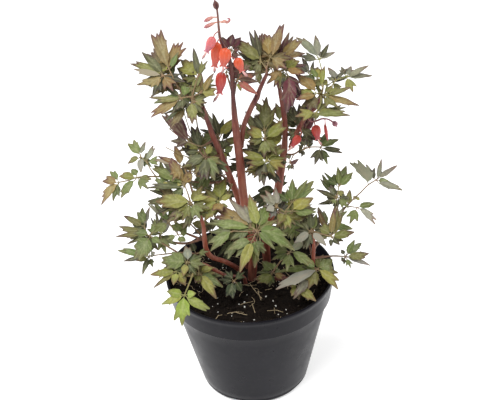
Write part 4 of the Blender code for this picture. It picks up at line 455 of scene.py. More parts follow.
    ("leaf_far_left", "green", (137, 177.5), 2, (-0.3, -0.5, 0.8), [(229, 182, 3), (205, 183, 10), (180, 179, 8), (156, 176.5, 4)], [
        ([], [
            (132, 178, [(120.5, 178), (124, 174.5)], 8, {"t": "yellow"}),
            (130, 185, [(120, 197.5), (119.5, 192)], 9),
            (136, 174, [(129, 167), (134, 168)], 7)]),
        ([(137, 177.5), (128, 180.5), (119, 182.3)], [
            (115.5, 177, [(109, 170.5), (114, 170)], 6),
            (113, 183, [(103, 182.3), (107, 176.5)], 8, {"t": "bronze"}),
            (115, 187, [(97.8, 203), (98.5, 195), (99.5, 190)], 10, {"t": "bronze"})]),
        ([(156, 176.5), (151, 170), (146.5, 162.5)], [
            (147.5, 158.5, [(153, 144.5), (155, 147.5)], 6, {"t": "grey"}),
            (145.8, 158, [(144, 151), (147, 149.5)], 5, {"t": "dark"})]),
        ([(146.5, 162.5), (140.5, 156)], [
            (138.5, 152.5, [(126.5, 142.5), (133, 138.5)], 8),
            (141.3, 151.5, [(143.3, 139)], 4.5, {"t": "grey"}),
            (137, 160, [(127, 163.5), (130, 158)], 6, {"t": "olive"}),
            (141, 162, [(140.5, 172.5)], 6, {"t": "grey", "f": 1})]),
    ]),
    ("leaf_low_left", "green", (146, 234), -14, (-0.2, -0.6, 0.75), [(203.5, 240, -29), (186, 243, -22), (172, 242, -18), (158, 239.5, -16)], [
        ([(146, 234), (144.5, 226)], [
            (144, 220, [(136.5, 211.5), (142, 207)], 8),
            (146, 221, [(148, 205)], 4, {"t": "grey"}),
            (138, 225, [(125, 217.3), (134, 219)], 7, {"t": "olive"})]),
        ([], [
            (138.5, 229.5, [(121, 230), (117, 225.5)], 6, {"t": "olive"}),
            (139.5, 232.5, [(116.5, 238.3)], 4.5, {"t": "olive"}),
            (146.5, 240, [(147, 252), (142.5, 246)], 10),
            (140.5, 238.5, [(133, 240.3)], 4)]),
        ([(158, 239.5), (160, 235)], [
            (155.5, 231, [(153.5, 217.5)], 4),
            (158.5, 229, [(157.5, 211)], 3, {"t": "dark"}),
            (162.5, 229, [(159, 213.3), (164, 213.5)], 8),
            (167, 231, [(169.5, 213)], 7, {"t": "grey"})]),
    ]),
    ("leaf_left_edge", "green", (149, 256), -26, (-0.3, -0.5, 0.8), [(204.5, 254.5, -25), (186, 252.5, -28), (166, 254, -28)], [
        ([], [
            (142, 256, [(115, 249), (122, 247.5)], 7),
            (141, 258, [(120, 259)], 4.5, {"t": "dark"}),
            (145, 261, [(138, 262.5)], 5, {"t": "olive"}),
            (147.5, 261, [(141, 274)], 5, {"t": "dark"}),
            (154, 257, [(158, 255)], 5, {"t": "grey"})]),
        ([(196, 253.6)], [
            (194, 258, [(188.5, 262.5), (196, 263)], 8),
            (194, 248.5, [(190, 241)], 6, {"t": "dark"})]),
    ]),
    ("leaf_curled", "green", (187, 262), -46, (-0.1, -0.55, 0.8), [(194.5, 263, -40)], [
        ([], [
            (183, 262, [(166, 268), (160.5, 262), (161, 257), (172, 251.5)], 17, {}),
            (188.5, 257, [(190, 247), (185, 245)], 8, {"t": "grey"}),
            (185, 268, [(183, 276)], 6, {"t": "yellow"})]),
    ]),
    ("leaf_left_hang", "yellow", (176.5, 271), -52, (-0.2, -0.5, 0.85), [(194.5, 266, -41), (185, 270.5, -48)], [
        ([], [
            (170, 272.5, [(149, 274)], 7),
            (170, 275.5, [(151, 286.3)], 4.5, {"t": "olive"}),
            (176, 276, [(173, 285)], 6),
            (182.5, 276, [(184, 283.5)], 7)]),
    ]),
    ("leaf_star", "lime", (184.5, 295), -70, (-0.25, -0.7, 0.65), [(196, 266.5, -42), (191, 279, -56)], [
        ([], [
            (180, 294, [(166, 291)], 7),
            (178.5, 297.5, [(158, 304)], 6),
            (183, 301, [(173, 320.8), (181, 326.3), (189.5, 316)], 12),
            (189.5, 299.5, [(206, 311), (210, 309)], 8.5),
            (189, 294.5, [(197, 293.5)], 6)]),
    ]),
    ("leaf_rim_left", "green", (199, 273), -54, (-0.05, -0.6, 0.8), [(199.5, 266.5, -41)], [
        ([], [
            (205.5, 280, [(216.5, 298.7)], 8, {"t": "yellow"}),
            (206.5, 276, [(222.5, 286), (217, 280)], 8),
            (198, 278, [(196, 284.3), (201, 283)], 7, {"t": "olive"}),
            (205, 270.5, [(214.5, 267), (208, 265)], 7, {"t": "yellow"}),
            (193, 271, [(189, 267)], 6)]),
    ]),
    ("leaf_shade", "shade", (234, 281), -22, (0.0, -0.5, 0.85), [(238, 279, -14)], [
        ([], [
            (231, 285, [(233, 298.5), (226, 296)], 9),
            (238, 284, [(241.5, 290)], 7)]),
    ]),
    ("leaf_yellow", "yellow", (219, 201), -32, (-0.1, -0.5, 0.85), [(232.5, 186, 0), (226, 196, -20)], [
        ([], [
            (221, 194, [(214, 182), (226, 176)], 10),
            (214, 199.5, [(191.5, 200.5)], 5),
            (212, 204, [(196, 213.5)], 6),
            (214, 207.5, [(203, 219.5)], 7),
            (224, 199, [(232.5, 193)], 5),
            (220, 207, [(213, 214), (224, 215)], 9, {"t": "bronze"})]),
    ]),
    ("leaf_back_left", "olive", (196, 88), 52, (-0.3, -0.1, 0.95), [(224, 160, 4), (214, 128, 30), (203, 104, 46)], [
        ([], [
            (192, 90, [(176, 97), (178, 90)], 10),
            (194, 85, [(181, 76), (187, 72)], 10),
            (199, 84, [(202, 74)], 7),
            (199, 90, [(209, 94), (211, 87)], 9)]),
    ]),
    ("leaf_back_mid", "bronze", (272, 62), 62, (0.1, -0.1, 0.95), [(279.5, 90, 25), (276, 78, 46)], [
        ([], [
            (267, 62, [(252, 60), (256, 53)], 10),
            (270, 57, [(266, 42), (271, 40)], 9),
            (275, 57, [(280, 42)], 8),
            (277, 62, [(290, 60), (288, 53)], 9)]),
    ]),
    ("leaf_back_right", "green", (292, 222), 74, (0.3, -0.15, 0.93), [(274.5, 208, 33), (283, 214, 56)], [
        ([], [
            (287, 221, [(272, 217), (276, 226)], 11),
            (292, 216, [(288, 203), (297, 203)], 11),
            (297, 221, [(313, 216), (315, 223)], 11),
            (292, 227, [(292, 239)], 9)]),
    ]),
    ("leaf_plum_top", "plum", (230.5, 50), 3, (0.1, -0.8, 0.5), [(228.2, 55, 0.5)], [
        ([], [
            (229, 45.5, [(230, 36), (233.2, 33.8)], 9),
            (233, 45.5, [(238, 38.5), (242, 36)], 7),
            (226, 46.5, [(221.5, 37), (224.5, 41)], 7),
            (234, 50.5, [(239.5, 49.5)], 3)]),
    ]),
    ("leaf_bract", "rose", (236.5, 80), -4, (0.1, -0.7, 0.6), [(233.4, 80.3, -1)], [
        ([], [
            (242, 79.8, [(259, 81.3)], 5, {"t": "plum"}),
            (242, 76, [(252, 76.5), (256.5, 71.5)], 9),
            (241, 83.5, [(250.5, 90), (258, 94)], 7),
            (239.5, 84, [(241.5, 90.5)], 3.5, {"t": "yellow"})]),
    ]),
]

# ---------------------------------------------------------------- flowers
# name, pedicel points (u, v, y) from the stem, top (u, v), mouth (u, v), tip (u, v), depth y, width, thickness, tone
HEARTS = [
    ("heart_pink", [(217.3, 31.5, -1), (215, 34, -6)], (213.3, 38), (206.6, 51.5), (202, 59.5), -13, 8.0, 5.5, "pink"),
    ("heart_orange_left", [(218.8, 39.5, -2), (217.5, 41.5, -5)], (217.2, 44), (214.6, 66), (214.5, 73), -6, 9.5, 6.5, "orange"),
    ("heart_orange_mid", [(226, 50.3, -3), (226.6, 47.8, -7)], (226, 49.5), (223.2, 66), (222.5, 74), -14, 10.5, 6.5, "orange"),
    ("heart_red", [(229, 68.5, -3), (224, 70, -6)], (221.6, 73.5), (219.5, 93), (213, 102.5), -9, 9.5, 6.5, "red"),
    ("heart_orange_right", [(229.8, 55, -3), (233, 57.5, -6)], (236.8, 59), (242, 71), (248, 77), -9, 8.5, 6.0, "orange"),
    ("heart_red_right", [(313.5, 121, 11), (314.5, 123, 8)], (315.4, 126), (317.6, 139), (322, 146), 5, 8.5, 5.5, "red"),
    ("heart_low_right", [(303, 133.5, 14), (301, 134.5, 7)], (299, 136.5), (292.5, 146), (288, 151), 3, 7.5, 5.5, "red"),
]
# name, points (u, v, y), radii, tone
BUDS = [
    ("bud_left_high", [(216.3, 17.3, 0), (213.5, 17.2, -1), (211, 18, -2), (208.5, 19.2, -2), (206, 20.4, -2), (204.5, 21.2, -2)],
     [0.6, 0.6, 1.4, 1.8, 1.5, 0.6], "rose"),
    ("bud_left_low", [(216.8, 22.3, 0), (214.5, 22.8, -1), (211.5, 24.2, -2), (208.5, 25.6, -2), (206, 26.8, -2), (204.4, 27.4, -2)],
     [0.6, 0.7, 1.5, 1.7, 1.6, 0.6], "rose"),
    ("bud_right_curl", [(220.1, 21.8, 0), (222, 22.1, 0), (224.5, 21.3, -1), (227, 22.2, -1), (229.2, 21, -1), (229.4, 18.9, -1), (227.8, 18.4, -1)],
     [0.6, 1.0, 1.3, 1.3, 1.0, 0.8, 0.5], "rose"),
    ("raceme_right", [(309, 118.5, 15), (311.5, 121.5, 13), (316.5, 120.8, 12), (322, 118.8, 12), (328, 119.3, 12), (332.3, 121.6, 12), (334.2, 123, 12), (335.6, 124.6, 12), (336.6, 126.2, 12)],
     [0.9, 0.9, 0.9, 0.8, 0.7, 0.8, 2.4, 2.5, 0.8], "mauve"),
    ("bud_slender", [(325, 120.6, 10), (325.1, 123.5, 9), (325.3, 127, 8), (326, 131.5, 8), (326.9, 136, 8), (327.5, 140.2, 8)],
     [0.4, 0.5, 1.4, 1.7, 1.3, 0.5], "red"),
]
# ---------------------------------------------------------------- rules for the plant's layout


def stem_axis(points):
    return [at_depth(u, v, y) for u, v, y in points]


STEM_AXES = [(name, stem_axis(points), radii) for name, points, radii in STEMS]
CARRIERS = STEM_AXES + [(name, stem_axis(points), radii) for name, points, radii, _ in BUDS if name.startswith("raceme")]


def nearest_on_stems(p, own=""):
    """The nearest point on any stem's centre line, the stem's radius there, and its direction."""
    best = None
    for name, axis, radii in CARRIERS:
        if name == own:
            continue
        for i in range(len(axis) - 1):
            a, b = axis[i], axis[i + 1]
            ab = b - a
            t = min(1.0, max(0.0, dot(p - a, ab) / max(dot(ab, ab), 1e-9)))
            q = a + ab * t
            d = math.sqrt(dot(p - q, p - q))
            r = radii[i] + (radii[i + 1] - radii[i]) * t
            if best is None or d - r < best[0]:
                best = (d - r, q, r, unit(ab))
    return best[1], best[2], best[3]


def in_picture(p):
    """Where a point is seen, in pixels."""
    d = p - EYE_AT
    w = dot(d, _FW)
    return 250.0 + REACH * dot(d, _R2) / w, 200.0 - REACH * dot(d, _U2) / w


def apart(p, a, b):
    """Distance from p to the line from a to b."""
    ab = b - a
    t = min(1.0, max(0.0, dot(p - a, ab) / max(dot(ab, ab), 1e-9)))
    d = p - a - ab * t
    return math.sqrt(dot(d, d))


FILLED = {}
# leaflets added at most in a leaf's gaps, where it isn't 4
EXTRA_LEAFLETS = {
    "leaf_star": 0, "leaf_bract": 0, "leaf_plum_top": 2, "leaf_plum_left": 0, "leaf_far_left": 2, "leaf_left_edge": 2,
    "leaf_far_right": 1, "leaf_low_far_right": 1, "leaf_left_hang": 1, "leaf_soil_right": 1, "leaf_yellow": 3,
    "leaf_mid_left": 6, "leaf_inner_left": 6, "leaf_left": 6, "leaf_mid_front": 6, "leaf_central": 4, "leaf_upper_left": 6,
    "leaf_top_left": 5, "leaf_top_mid": 4, "leaf_top_right": 5, "leaf_dark_clump": 6, "leaf_right_upper": 4, "leaf_mid": 6,
    "leaf_tall_right": 5, "leaf_back_left": 6, "leaf_back_mid": 6, "leaf_back_right": 6, "leaf_shade": 3,
}


def gap_blades(leaf):
    """Leaflets that fill the gaps round a leaf's forks, as (fork, base, tips, width) with points as seen."""
    name = leaf[0]
    if name in FILLED:
        return FILLED[name]
    FILLED[name] = []
    wanted = EXTRA_LEAFLETS.get(name, 4)
    layout = leaf_layout(leaf)
    pts, n = layout["pts"], layout["n"]
    taken = [(pts[i], pts[j], 0.9) for i, j in layout["links"]]
    at_fork = {}
    for blade in layout["blades"]:
        long = max(math.sqrt(dot(t - blade["base"], t - blade["base"])) for t in blade["tips"])
        at_fork.setdefault(blade["at"], []).append(long)
        half = blade["width"] / 2.0 / len(blade["tips"]) ** 0.55
        for tip in blade["tips"]:
            taken.append((blade["base"] + (tip - blade["base"]) * 0.12, tip, half * 0.8))
    ex = unit(cross(n, vec((0.3, 0.2, 0.9))))
    ey = cross(n, ex)
    found = []
    for turn in range(wanted):
        best = None
        for at in sorted(at_fork):
            mean = sum(at_fork[at]) / len(at_fork[at])
            if sum(1 for f in found if f[0] == at) >= 3:
                continue
            for share in (0.95, 0.75, 0.55):
                long = min(17.0, mean * share)
                if long < 5.5:
                    continue
                for k in range(24):
                    ang = 2 * math.pi * k / 24 + 0.13 * turn
                    tips = []
                    for da, sh in ((-0.42, 0.74), (0.0, 1.0), (0.42, 0.74)):
                        tips.append(pts[at] + (ex * math.cos(ang + da) + ey * math.sin(ang + da)) * (3.0 + long * sh))
                    base = pts[at] + (ex * math.cos(ang) + ey * math.sin(ang)) * 3.0
                    half = long * 0.16
                    room = 9.0
                    for tip in tips:
                        for s in (0.35, 0.7, 1.0):
                            q = base + (tip - base) * s
                            w = half * (1.0 if s < 1 else 0.3)
                            for a, b, other in taken:
                                room = min(room, apart(q, a, b) - other - w)
                        if room < 0.35:
                            break
                    if room < 0.35:
                        continue
                    score = long + min(room, 3.0)
                    if best is None or score > best[0]:
                        best = (score, at, base, tips, long)
        if best is None:
            break
        _, at, base, tips, long = best
        found.append((at, in_picture(base), [in_picture(t) for t in tips], long * 0.52))
        for tip in tips:
            taken.append((base, tip, long * 0.15))
    FILLED[name] = found
    return found


def leaf_layout(leaf, shift=0.0, lifts=None):
    """The leaf as a tree: points, links between them, and blades at them.  `shift` slides it along its sight lines."""
    name, tone, hub_uv, hub_y, normal, stalk, twigs = leaf
    n = unit(vec(normal))
    hub = at_depth(hub_uv[0], hub_uv[1], hub_y + shift)
    pts, uvs, links = [], [], []
    for i, (u, v, y) in enumerate(stalk):
        pts.append(at_depth(u, v, y + (shift * i / len(stalk) if i else 0.0)))
        uvs.append((u, v))
        if i:
            links.append([i - 1, i])
    pts.append(hub)
    uvs.append(hub_uv)
    links.append([len(pts) - 2, len(pts) - 1])
    root = len(pts) - 1

    def find(uv):
        for i, w in enumerate(uvs):
            if math.hypot(w[0] - uv[0], w[1] - uv[1]) < 1.5:
                return i
        best = None
        for k, (i, j) in enumerate(links):
            a, b = uvs[i], uvs[j]
            ab = (b[0] - a[0], b[1] - a[1])
            t = ((uv[0] - a[0]) * ab[0] + (uv[1] - a[1]) * ab[1]) / max(ab[0] ** 2 + ab[1] ** 2, 1e-9)
            t = min(0.9, max(0.1, t))
            d = math.hypot(a[0] + ab[0] * t - uv[0], a[1] + ab[1] * t - uv[1])
            if best is None or d < best[0]:
                best = (d, k, t)
        _, k, t = best
        i, j = links[k]
        pts.append(pts[i] + (pts[j] - pts[i]) * t)
        uvs.append((uv[0], uv[1]))
        links[k] = [i, len(pts) - 1]
        links.append([len(pts) - 1, j])
        return len(pts) - 1

    blades = []
    for path, items in twigs:
        at = root
        if path:
            at = find(path[0])
            for uv in path[1:]:
                known = [i for i, w in enumerate(uvs) if math.hypot(w[0] - uv[0], w[1] - uv[1]) < 1.5]
                if known:
                    at = known[0]
                    continue
                pts.append(on_plane(uv[0], uv[1], hub, n))
                uvs.append(uv)
                links.append([at, len(pts) - 1])
                at = len(pts) - 1
        for item in items:
            bu, bv, tips, width = item[:4]
            more = item[4] if len(item) > 4 else {}
            base = on_plane(bu, bv, hub, n)
            # a blade that hangs from a point off the hub's plane keeps its own plane through that point
            off = dot(pts[at] - hub, n)
            if abs(off) > 0.5:
                base = on_plane(bu, bv, pts[at], n)
            ends = [on_plane(tu, tv, hub + n * off if abs(off) > 0.5 else hub, n) for tu, tv in tips]
            # the blade's body starts close to the point where it grows
            gap = base - pts[at]
            far = math.sqrt(dot(gap, gap))
            if far > 3.2:
                base = pts[at] + gap * (max(3.0, far * 0.5) / far)
            k = len(blades)
            blades.append({
                "at": at, "base": base, "tips": ends, "width": width * 1.2, "n": n,
                "tone": more.get("t", tone), "flip": more.get("f", 0),
                "lift": 0.0 if lifts is None else lifts[k],
            })
    for at, seen, ends, width in gap_blades(leaf):
        k = len(blades)
        blades.append({
            "at": at, "base": on_plane(seen[0], seen[1], pts[at], n),
            "tips": [on_plane(u, v, pts[at], n) for u, v in ends], "width": width, "n": n,
            "tone": tone, "flip": 0, "lift": 0.0 if lifts is None or k >= len(lifts) else lifts[k],
        })
    # the stalk starts on the nearest stem
    q, r, along = nearest_on_stems(pts[0])
    way = pts[1] - q
    way = unit(unit(way - along * dot(way, along)) + along * (0.35 if dot(way, along) > 0 else -0.35))
    return {"name": name, "n": n, "pts": pts, "uvs": uvs, "links": links, "blades": blades, "root": root,
            "stem_point": q, "stem_r": r, "way": way}


def blade_frame(blade, at_point):
    """Axis, side and length of a blade, and its lobes in order from right to left."""
    base, n = blade["base"], blade["n"]
    mean = sum(blade["tips"]) / len(blade["tips"])
    axis = mean - base
    axis = unit(axis - n * dot(axis, n))
    side = cross(n, axis)
    lobes = []
    for tip in blade["tips"]:
        d = tip - base
        lobes.append((math.atan2(dot(d, side), dot(d, axis)), dot(d, axis), dot(d, side)))
    lobes.sort(key=lambda l: l[0])
    length = max(math.hypot(l[1], l[2]) for l in lobes)
    return axis, side, length, lobes


def bend(blade, a, b, length):
    """Height of the blade's surface over its plane at a mm along and b mm across."""
    s = math.hypot(a, b) / max(length, 1e-6) if a > 0 else 0.0
    return blade["lift"] * s - 0.10 * length * s * s


# ---------------------------------------------------------------- one leaf as one sheet
HUB_R = 1.5
STALK_W = 0.9
LEAF_T = 1.0


def blade_outline(blade, at_point):
    """Points of the blade from its right shoulder round the tips to its left shoulder."""
    axis, side, length, lobes = blade_frame(blade, at_point)
    base, n = blade["base"], blade["n"]
    out = []

    def put(a, b):
        out.append(base + axis * a + side * b + n * bend(blade, a, b, length))

    half = blade["width"] / 2.0 / max(1.0, len(lobes) ** 0.55)
    neck = math.sqrt(dot(base - at_point, base - at_point)) > HUB_R + 3.5
    if neck:
        put(0.0, -0.75)
    ang, a, b = lobes[0]
    r = math.hypot(a, b)
    wide = blade["width"] >= 11 and len(lobes) == 1
    sa, ca = math.sin(ang), math.cos(ang)
    steps = ((0.30, 0.92), (0.66, 0.72)) if wide else ((0.42, 1.0),)
    for s, w in steps:
        put(r * s * ca + half * w * sa, r * s * sa - half * w * ca)
    for k, (ang, a, b) in enumerate(lobes):
        put(a, b)
        if k + 1 < len(lobes):
            ang2, a2, b2 = lobes[k + 1]
            gap = ang2 - ang
            f = 0.68 - 0.22 * min(1.0, gap / 0.9)
            put((a + a2) / 2 * f, (b + b2) / 2 * f)
    ang, a, b = lobes[-1]
    r = math.hypot(a, b)
    sa, ca = math.sin(ang), math.cos(ang)
    for s, w in reversed(steps):
        put(r * s * ca - half * w * sa, r * s * sa + half * w * ca)
    if neck:
        put(0.0, 0.75)
    return out


def leaf_sheet(layout, without=()):
    """Vertices, faces and the part of the leaf each face belongs to (-1 for stalks)."""
    pts, links, blades, n = layout["pts"], layout["links"], layout["blades"], layout["n"]
    verts, faces, part = [], [], []
    reach = layout["stem_r"] + 1.35
    start = layout["stem_point"] + layout["way"] * reach
    pts = list(pts)
    pts[0] = start
    items = {i: [] for i in range(len(pts))}
    for k, (i, j) in enumerate(links):
        items[i].append(("link", k, pts[j] - pts[i]))
        items[j].append(("link", k, pts[i] - pts[j]))
    for k, blade in enumerate(blades):
        if k in without:
            continue
        i = blade["at"]
        d = blade["base"] - pts[i]
        if dot(d, d) < 2.0:
            d = sum(blade["tips"]) / len(blade["tips"]) - pts[i]
        items[i].append(("blade", k, d))
    ends = {}
    for i, here in items.items():
        if len(here) == 1 and here[0][0] == "link":
            continue
        if len(here) == 2 and all(h[0] == "link" for h in here):
            continue
        # a plane for this joint: the leaf's own, or the one that holds its links
        e1 = unit(here[0][2] - n * dot(here[0][2], n))
        e2 = cross(n, e1)
        ring = sorted(((math.atan2(dot(h[2], e2), dot(h[2], e1)) % (2 * math.pi), h) for h in here), key=lambda x: x[0])
        angles = [x[0] for x in ring]
        m = len(angles)
        if m == 2:
            # a blade straight on from one link: the joint is one edge, shared by both
            (kind_a, ka, da), (kind_b, kb, db) = ring[0][1], ring[1][1]
            d = db if kind_b == "blade" else da
            s = unit(cross(n, d)) * STALK_W
            verts.append(pts[i] - s)
            verts.append(pts[i] + s)
            right, left = len(verts) - 2, len(verts) - 1
            for kind, k, dd in (ring[0][1], ring[1][1]):
                if kind == "blade":
                    ends[("blade", k, i)] = (right, left)
                else:
                    ends[("link", k, i)] = (left, right)
            continue
        for _ in range(30):
            moved = False
            for a in range(m):
                b = (a + 1) % m
                gap = (angles[b] - angles[a]) % (2 * math.pi)
                if gap < 0.42:
                    angles[a] -= 0.04
                    angles[b] += 0.04
                    moved = True
            if not moved:
                break
        first = len(verts)
        for a in range(m):
            b = (a + 1) % m
            gap = (angles[b] - angles[a]) % (2 * math.pi)
            mid = angles[a] + gap / 2
            verts.append(pts[i] + (e1 * math.cos(mid) + e2 * math.sin(mid)) * HUB_R)
        faces.append([first + a for a in range(m)])
        part.append(-1)
        for a in range(m):
            kind, k, _ = ring[a][1]
            ends[(kind, k, i)] = (first + (a - 1) % m, first + a)
    # stalks: runs of links between joints and free ends
    joint = {i for (_, _, i) in ends}
    done = set()
    for i in sorted(items):
        if i not in joint and len(items[i]) != 1:
            continue
        for kind, k, _ in items[i]:
            if kind != "link" or k in done:
                continue
            run, at, link = [i], i, k
            while True:
                done.add(link)
                a, b = links[link]
                at = b if at == a else a
                run.append(at)
                if at in joint or len(items[at]) == 1:
                    break
                link = [h[1] for h in items[at] if h[0] == "link" and h[1] != link][0]
            last_link = link
            right, left = [], []
            for s, at in enumerate(run):
                if s == 0 and at in joint:
                    r, l = ends[("link", k, at)]
                elif s == len(run) - 1 and at in joint:
                    l, r = ends[("link", last_link, at)]
                else:
                    before = pts[run[max(s - 1, 0)]]
                    after = pts[run[min(s + 1, len(run) - 1)]]
                    across = unit(cross(unit(n + TOWARDS), after - before)) * STALK_W
                    verts.append(pts[at] - across)
                    verts.append(pts[at] + across)
                    r, l = len(verts) - 2, len(verts) - 1
                right.append(r)
                left.append(l)
            for s in range(len(run) - 1):
                faces.append([right[s], right[s + 1], left[s + 1], left[s]])
                part.append(-1)
    for k, blade in enumerate(blades):
        if k in without:
            continue
        r, l = ends[("blade", k, blade["at"])]
        out = blade_outline(blade, pts[blade["at"]])
        first = len(verts)
        verts.extend(out)
        ids = list(range(first, len(verts)))
        faces.append([r] + ids + [l])
        part.append(k)
    return verts, faces, part


TOWARDS = unit(vec((0.0, -0.85, 0.53)))


def cut_into_triangles(verts, faces, part):
    """Ear clipping in the plane of each face, so that both sides of the leaf are cut alike."""
    tris, owner = [], []
    for face, who in zip(faces, part):
        ids = list(face)
        if len(ids) == 3:
            tris.append(ids)
            owner.append(who)
            continue
        m = np.zeros(3)
        for a in range(len(ids)):
            m += cross(verts[ids[a]], verts[ids[(a + 1) % len(ids)]])
        m = unit(m)
        guard = 0
        while len(ids) > 3 and guard < 400:
            guard += 1
            best = None
            for a in range(len(ids)):
                i, j, k = ids[a - 1], ids[a], ids[(a + 1) % len(ids)]
                c = cross(verts[j] - verts[i], verts[k] - verts[j])
                turn = dot(c, m)
                if turn <= 1e-9:
                    continue
                inside = False
                for b in ids:
                    if b in (i, j, k):
                        continue
                    p = verts[b]
                    if (dot(cross(verts[j] - verts[i], p - verts[i]), m) >= -1e-9
                            and dot(cross(verts[k] - verts[j], p - verts[j]), m) >= -1e-9
                            and dot(cross(verts[i] - verts[k], p - verts[k]), m) >= -1e-9):
                        inside = True
                        break
                if inside:
                    continue
                e = [math.sqrt(dot(verts[y] - verts[x], verts[y] - verts[x])) for x, y in ((i, j), (j, k), (k, i))]
                shape = turn / max(e[0] ** 2 + e[1] ** 2 + e[2] ** 2, 1e-9)
                if best is None or shape > best[0]:
                    best = (shape, a)
            if best is None:
                best = (0, 0)
            a = best[1]
            tris.append([ids[a - 1], ids[a], ids[(a + 1) % len(ids)]])
            owner.append(who)
            ids.pop(a)
        tris.append(ids)
        owner.append(who)
    return tris, owner


def thickened(verts, tris, t):
    v = np.array(verts)
    f = np.array(tris)
    nor = np.cross(v[f[:, 1]] - v[f[:, 0]], v[f[:, 2]] - v[f[:, 0]])
    vn = np.zeros_like(v)
    for c in range(3):
        np.add.at(vn, f[:, c], nor)
    vn /= np.maximum(np.linalg.norm(vn, axis=1), 1e-9)[:, None]
    top, bottom = v + vn * t / 2, v - vn * t / 2
    nv = len(v)
    edges = {}
    for tri in tris:
        for a in range(3):
            i, j = tri[a], tri[(a + 1) % 3]
            if (j, i) in edges:
                del edges[(j, i)]
            else:
                edges[(i, j)] = tri
    faces = [list(tri) for tri in tris] + [[nv + c for c in reversed(tri)] for tri in tris]
    source = list(range(len(tris))) * 2
    index = {id(tri): k for k, tri in enumerate(tris)}
    for (i, j), tri in edges.items():
        faces.append([j, i, nv + i])
        faces.append([j, nv + i, nv + j])
        source += [index[id(tri)]] * 2
    return np.concatenate([top, bottom]), faces, source


def tree_of(points, faces):
    return BVHTree.FromPolygons([tuple(map(float, p)) for p in points], faces, epsilon=0.0)


def own_clashes(verts, tris, owner, t):
    points, faces, source = thickened(verts, tris, t)
    tree = tree_of(points, faces)
    nv = len(verts)
    found = {}
    for a, b in tree.overlap(tree):
        if a >= b:
            continue
        pa, pb = owner[source[a]], owner[source[b]]
        if pa == pb:
            continue
        if {c % nv for c in faces[a]} & {c % nv for c in faces[b]}:
            continue
        key = (min(pa, pb), max(pa, pb))
        found[key] = found.get(key, 0) + 1
    return found


def settled_lifts(leaf):
    """How far each blade of a leaf tilts up or down so that the blades pass each other."""
    m = sum(len(items) for _, items in leaf[6]) + len(gap_blades(leaf))
    lifts = [0.0] * m
    best = None
    for turn in range(8):
        layout = leaf_layout(leaf, 0.0, lifts)
        verts, faces, part = leaf_sheet(layout)
        tris, owner = cut_into_triangles(verts, faces, part)
        found = own_clashes(verts, tris, owner, LEAF_T + 0.3)
        score = sum(found.values())
        if best is None or score < best[0]:
            best = (score, list(lifts))
        if not found:
            break
        moved = set()
        for (a, b), _ in sorted(found.items()):
            k = b if a < 0 or b not in moved else a
            if k in moved or k < 0:
                continue
            moved.add(k)
            other = a if k == b else b
            way = 1.0 if (k % 2 == 0) else -1.0
            if other >= 0 and lifts[other] > lifts[k]:
                way = -1.0
            elif other >= 0 and lifts[other] < lifts[k]:
                way = 1.0
            lifts[k] += way * 1.8
    return best[1]


def thinned_sheet(layout, without):
    """The leaf's sheet with each blade that still runs into another left out."""
    without = set(without)
    while True:
        verts, faces, part = leaf_sheet(layout, without)
        tris, owner = cut_into_triangles(verts, faces, part)
        found = own_clashes(verts, tris, owner, LEAF_T + 0.25)
        count = {}
        for (a, b), c in found.items():
            for k in (a, b):
                if k >= 0:
                    count[k] = count.get(k, 0) + c
        if not count:
            return verts, tris, owner, without
        without.add(max(sorted(count), key=lambda k: count[k]))


def tube(points, radii, sides=8, grow=0.0):
    """A closed tube along points, for finding what it would touch."""
    pts = [vec(p) for p in points]
    rings, faces = [], []
    ref = vec((0.31, 0.77, 0.55))
    for i, p in enumerate(pts):
        d = unit(pts[min(i + 1, len(pts) - 1)] - pts[max(i - 1, 0)])
        s = unit(cross(d, ref))
        t = cross(d, s)
        for k in range(sides):
            w = 2 * math.pi * k / sides
            rings.append(p + (s * math.cos(w) + t * math.sin(w)) * (radii[i] + grow))
    for i in range(len(pts) - 1):
        for k in range(sides):
            a, b = i * sides + k, i * sides + (k + 1) % sides
            faces.append([a, b, b + sides, a + sides])
    faces.append(list(range(sides)))
    faces.append([len(rings) - sides + k for k in range(sides)])
    return rings, faces


def heart_rings(spec):
    """A flattened heart flower: pedicel, two shoulders beside its notch, pouch, flared mouth and inner petals."""
    name, pedicel, top, mouth, tip, y, width, thick, tone = spec
    top3, mouth3, tip3 = at_depth(top[0], top[1], y), at_depth(mouth[0], mouth[1], y), at_depth(tip[0], tip[1], y)
    stalk = [at_depth(u, v, yy) for u, v, yy in pedicel]
    down = unit(mouth3 - top3)
    side = unit(cross(TOWARDS, down))
    front = cross(down, side)
    length = math.sqrt(dot(mouth3 - top3, mouth3 - top3))
    q, r, _ = nearest_on_stems(stalk[0])
    stalk[0] = q + unit(stalk[1] - q) * (r + CLEAR + 0.45)
    rings = []
    for i, p in enumerate(stalk):
        d = unit((stalk[i + 1] if i + 1 < len(stalk) else top3) - p)
        s = unit(side - d * dot(side, d))
        rings.append((p, s, cross(s, d) * -1.0, 0.55, 0.55, 0.0))
    w, t = width / 2.0, thick / 2.0
    for s, a, b, up in ((0.02, 0.16, 0.26, 0.0), (0.03, 0.55, 0.62, 0.05), (0.10, 0.90, 0.92, 0.035),
                        (0.34, 1.0, 1.0, 0.0), (0.60, 0.80, 0.85, 0.0), (0.82, 0.50, 0.55, 0.0),
                        (0.95, 0.36, 0.42, 0.0), (1.0, 0.46, 0.45, 0.0)):
        rings.append((top3 + down * (length * s), side, front, w * a, t * b, up * length))
    end = tip3 - mouth3
    for s, a, b in ((0.30, 0.26, 0.30), (0.70, 0.30, 0.34), (0.95, 0.14, 0.16)):
        d = unit(end)
        sd = unit(side - d * dot(side, d))
        rings.append((mouth3 + end * s, sd, cross(d, sd), w * a, t * b, 0.0))
    return rings, down


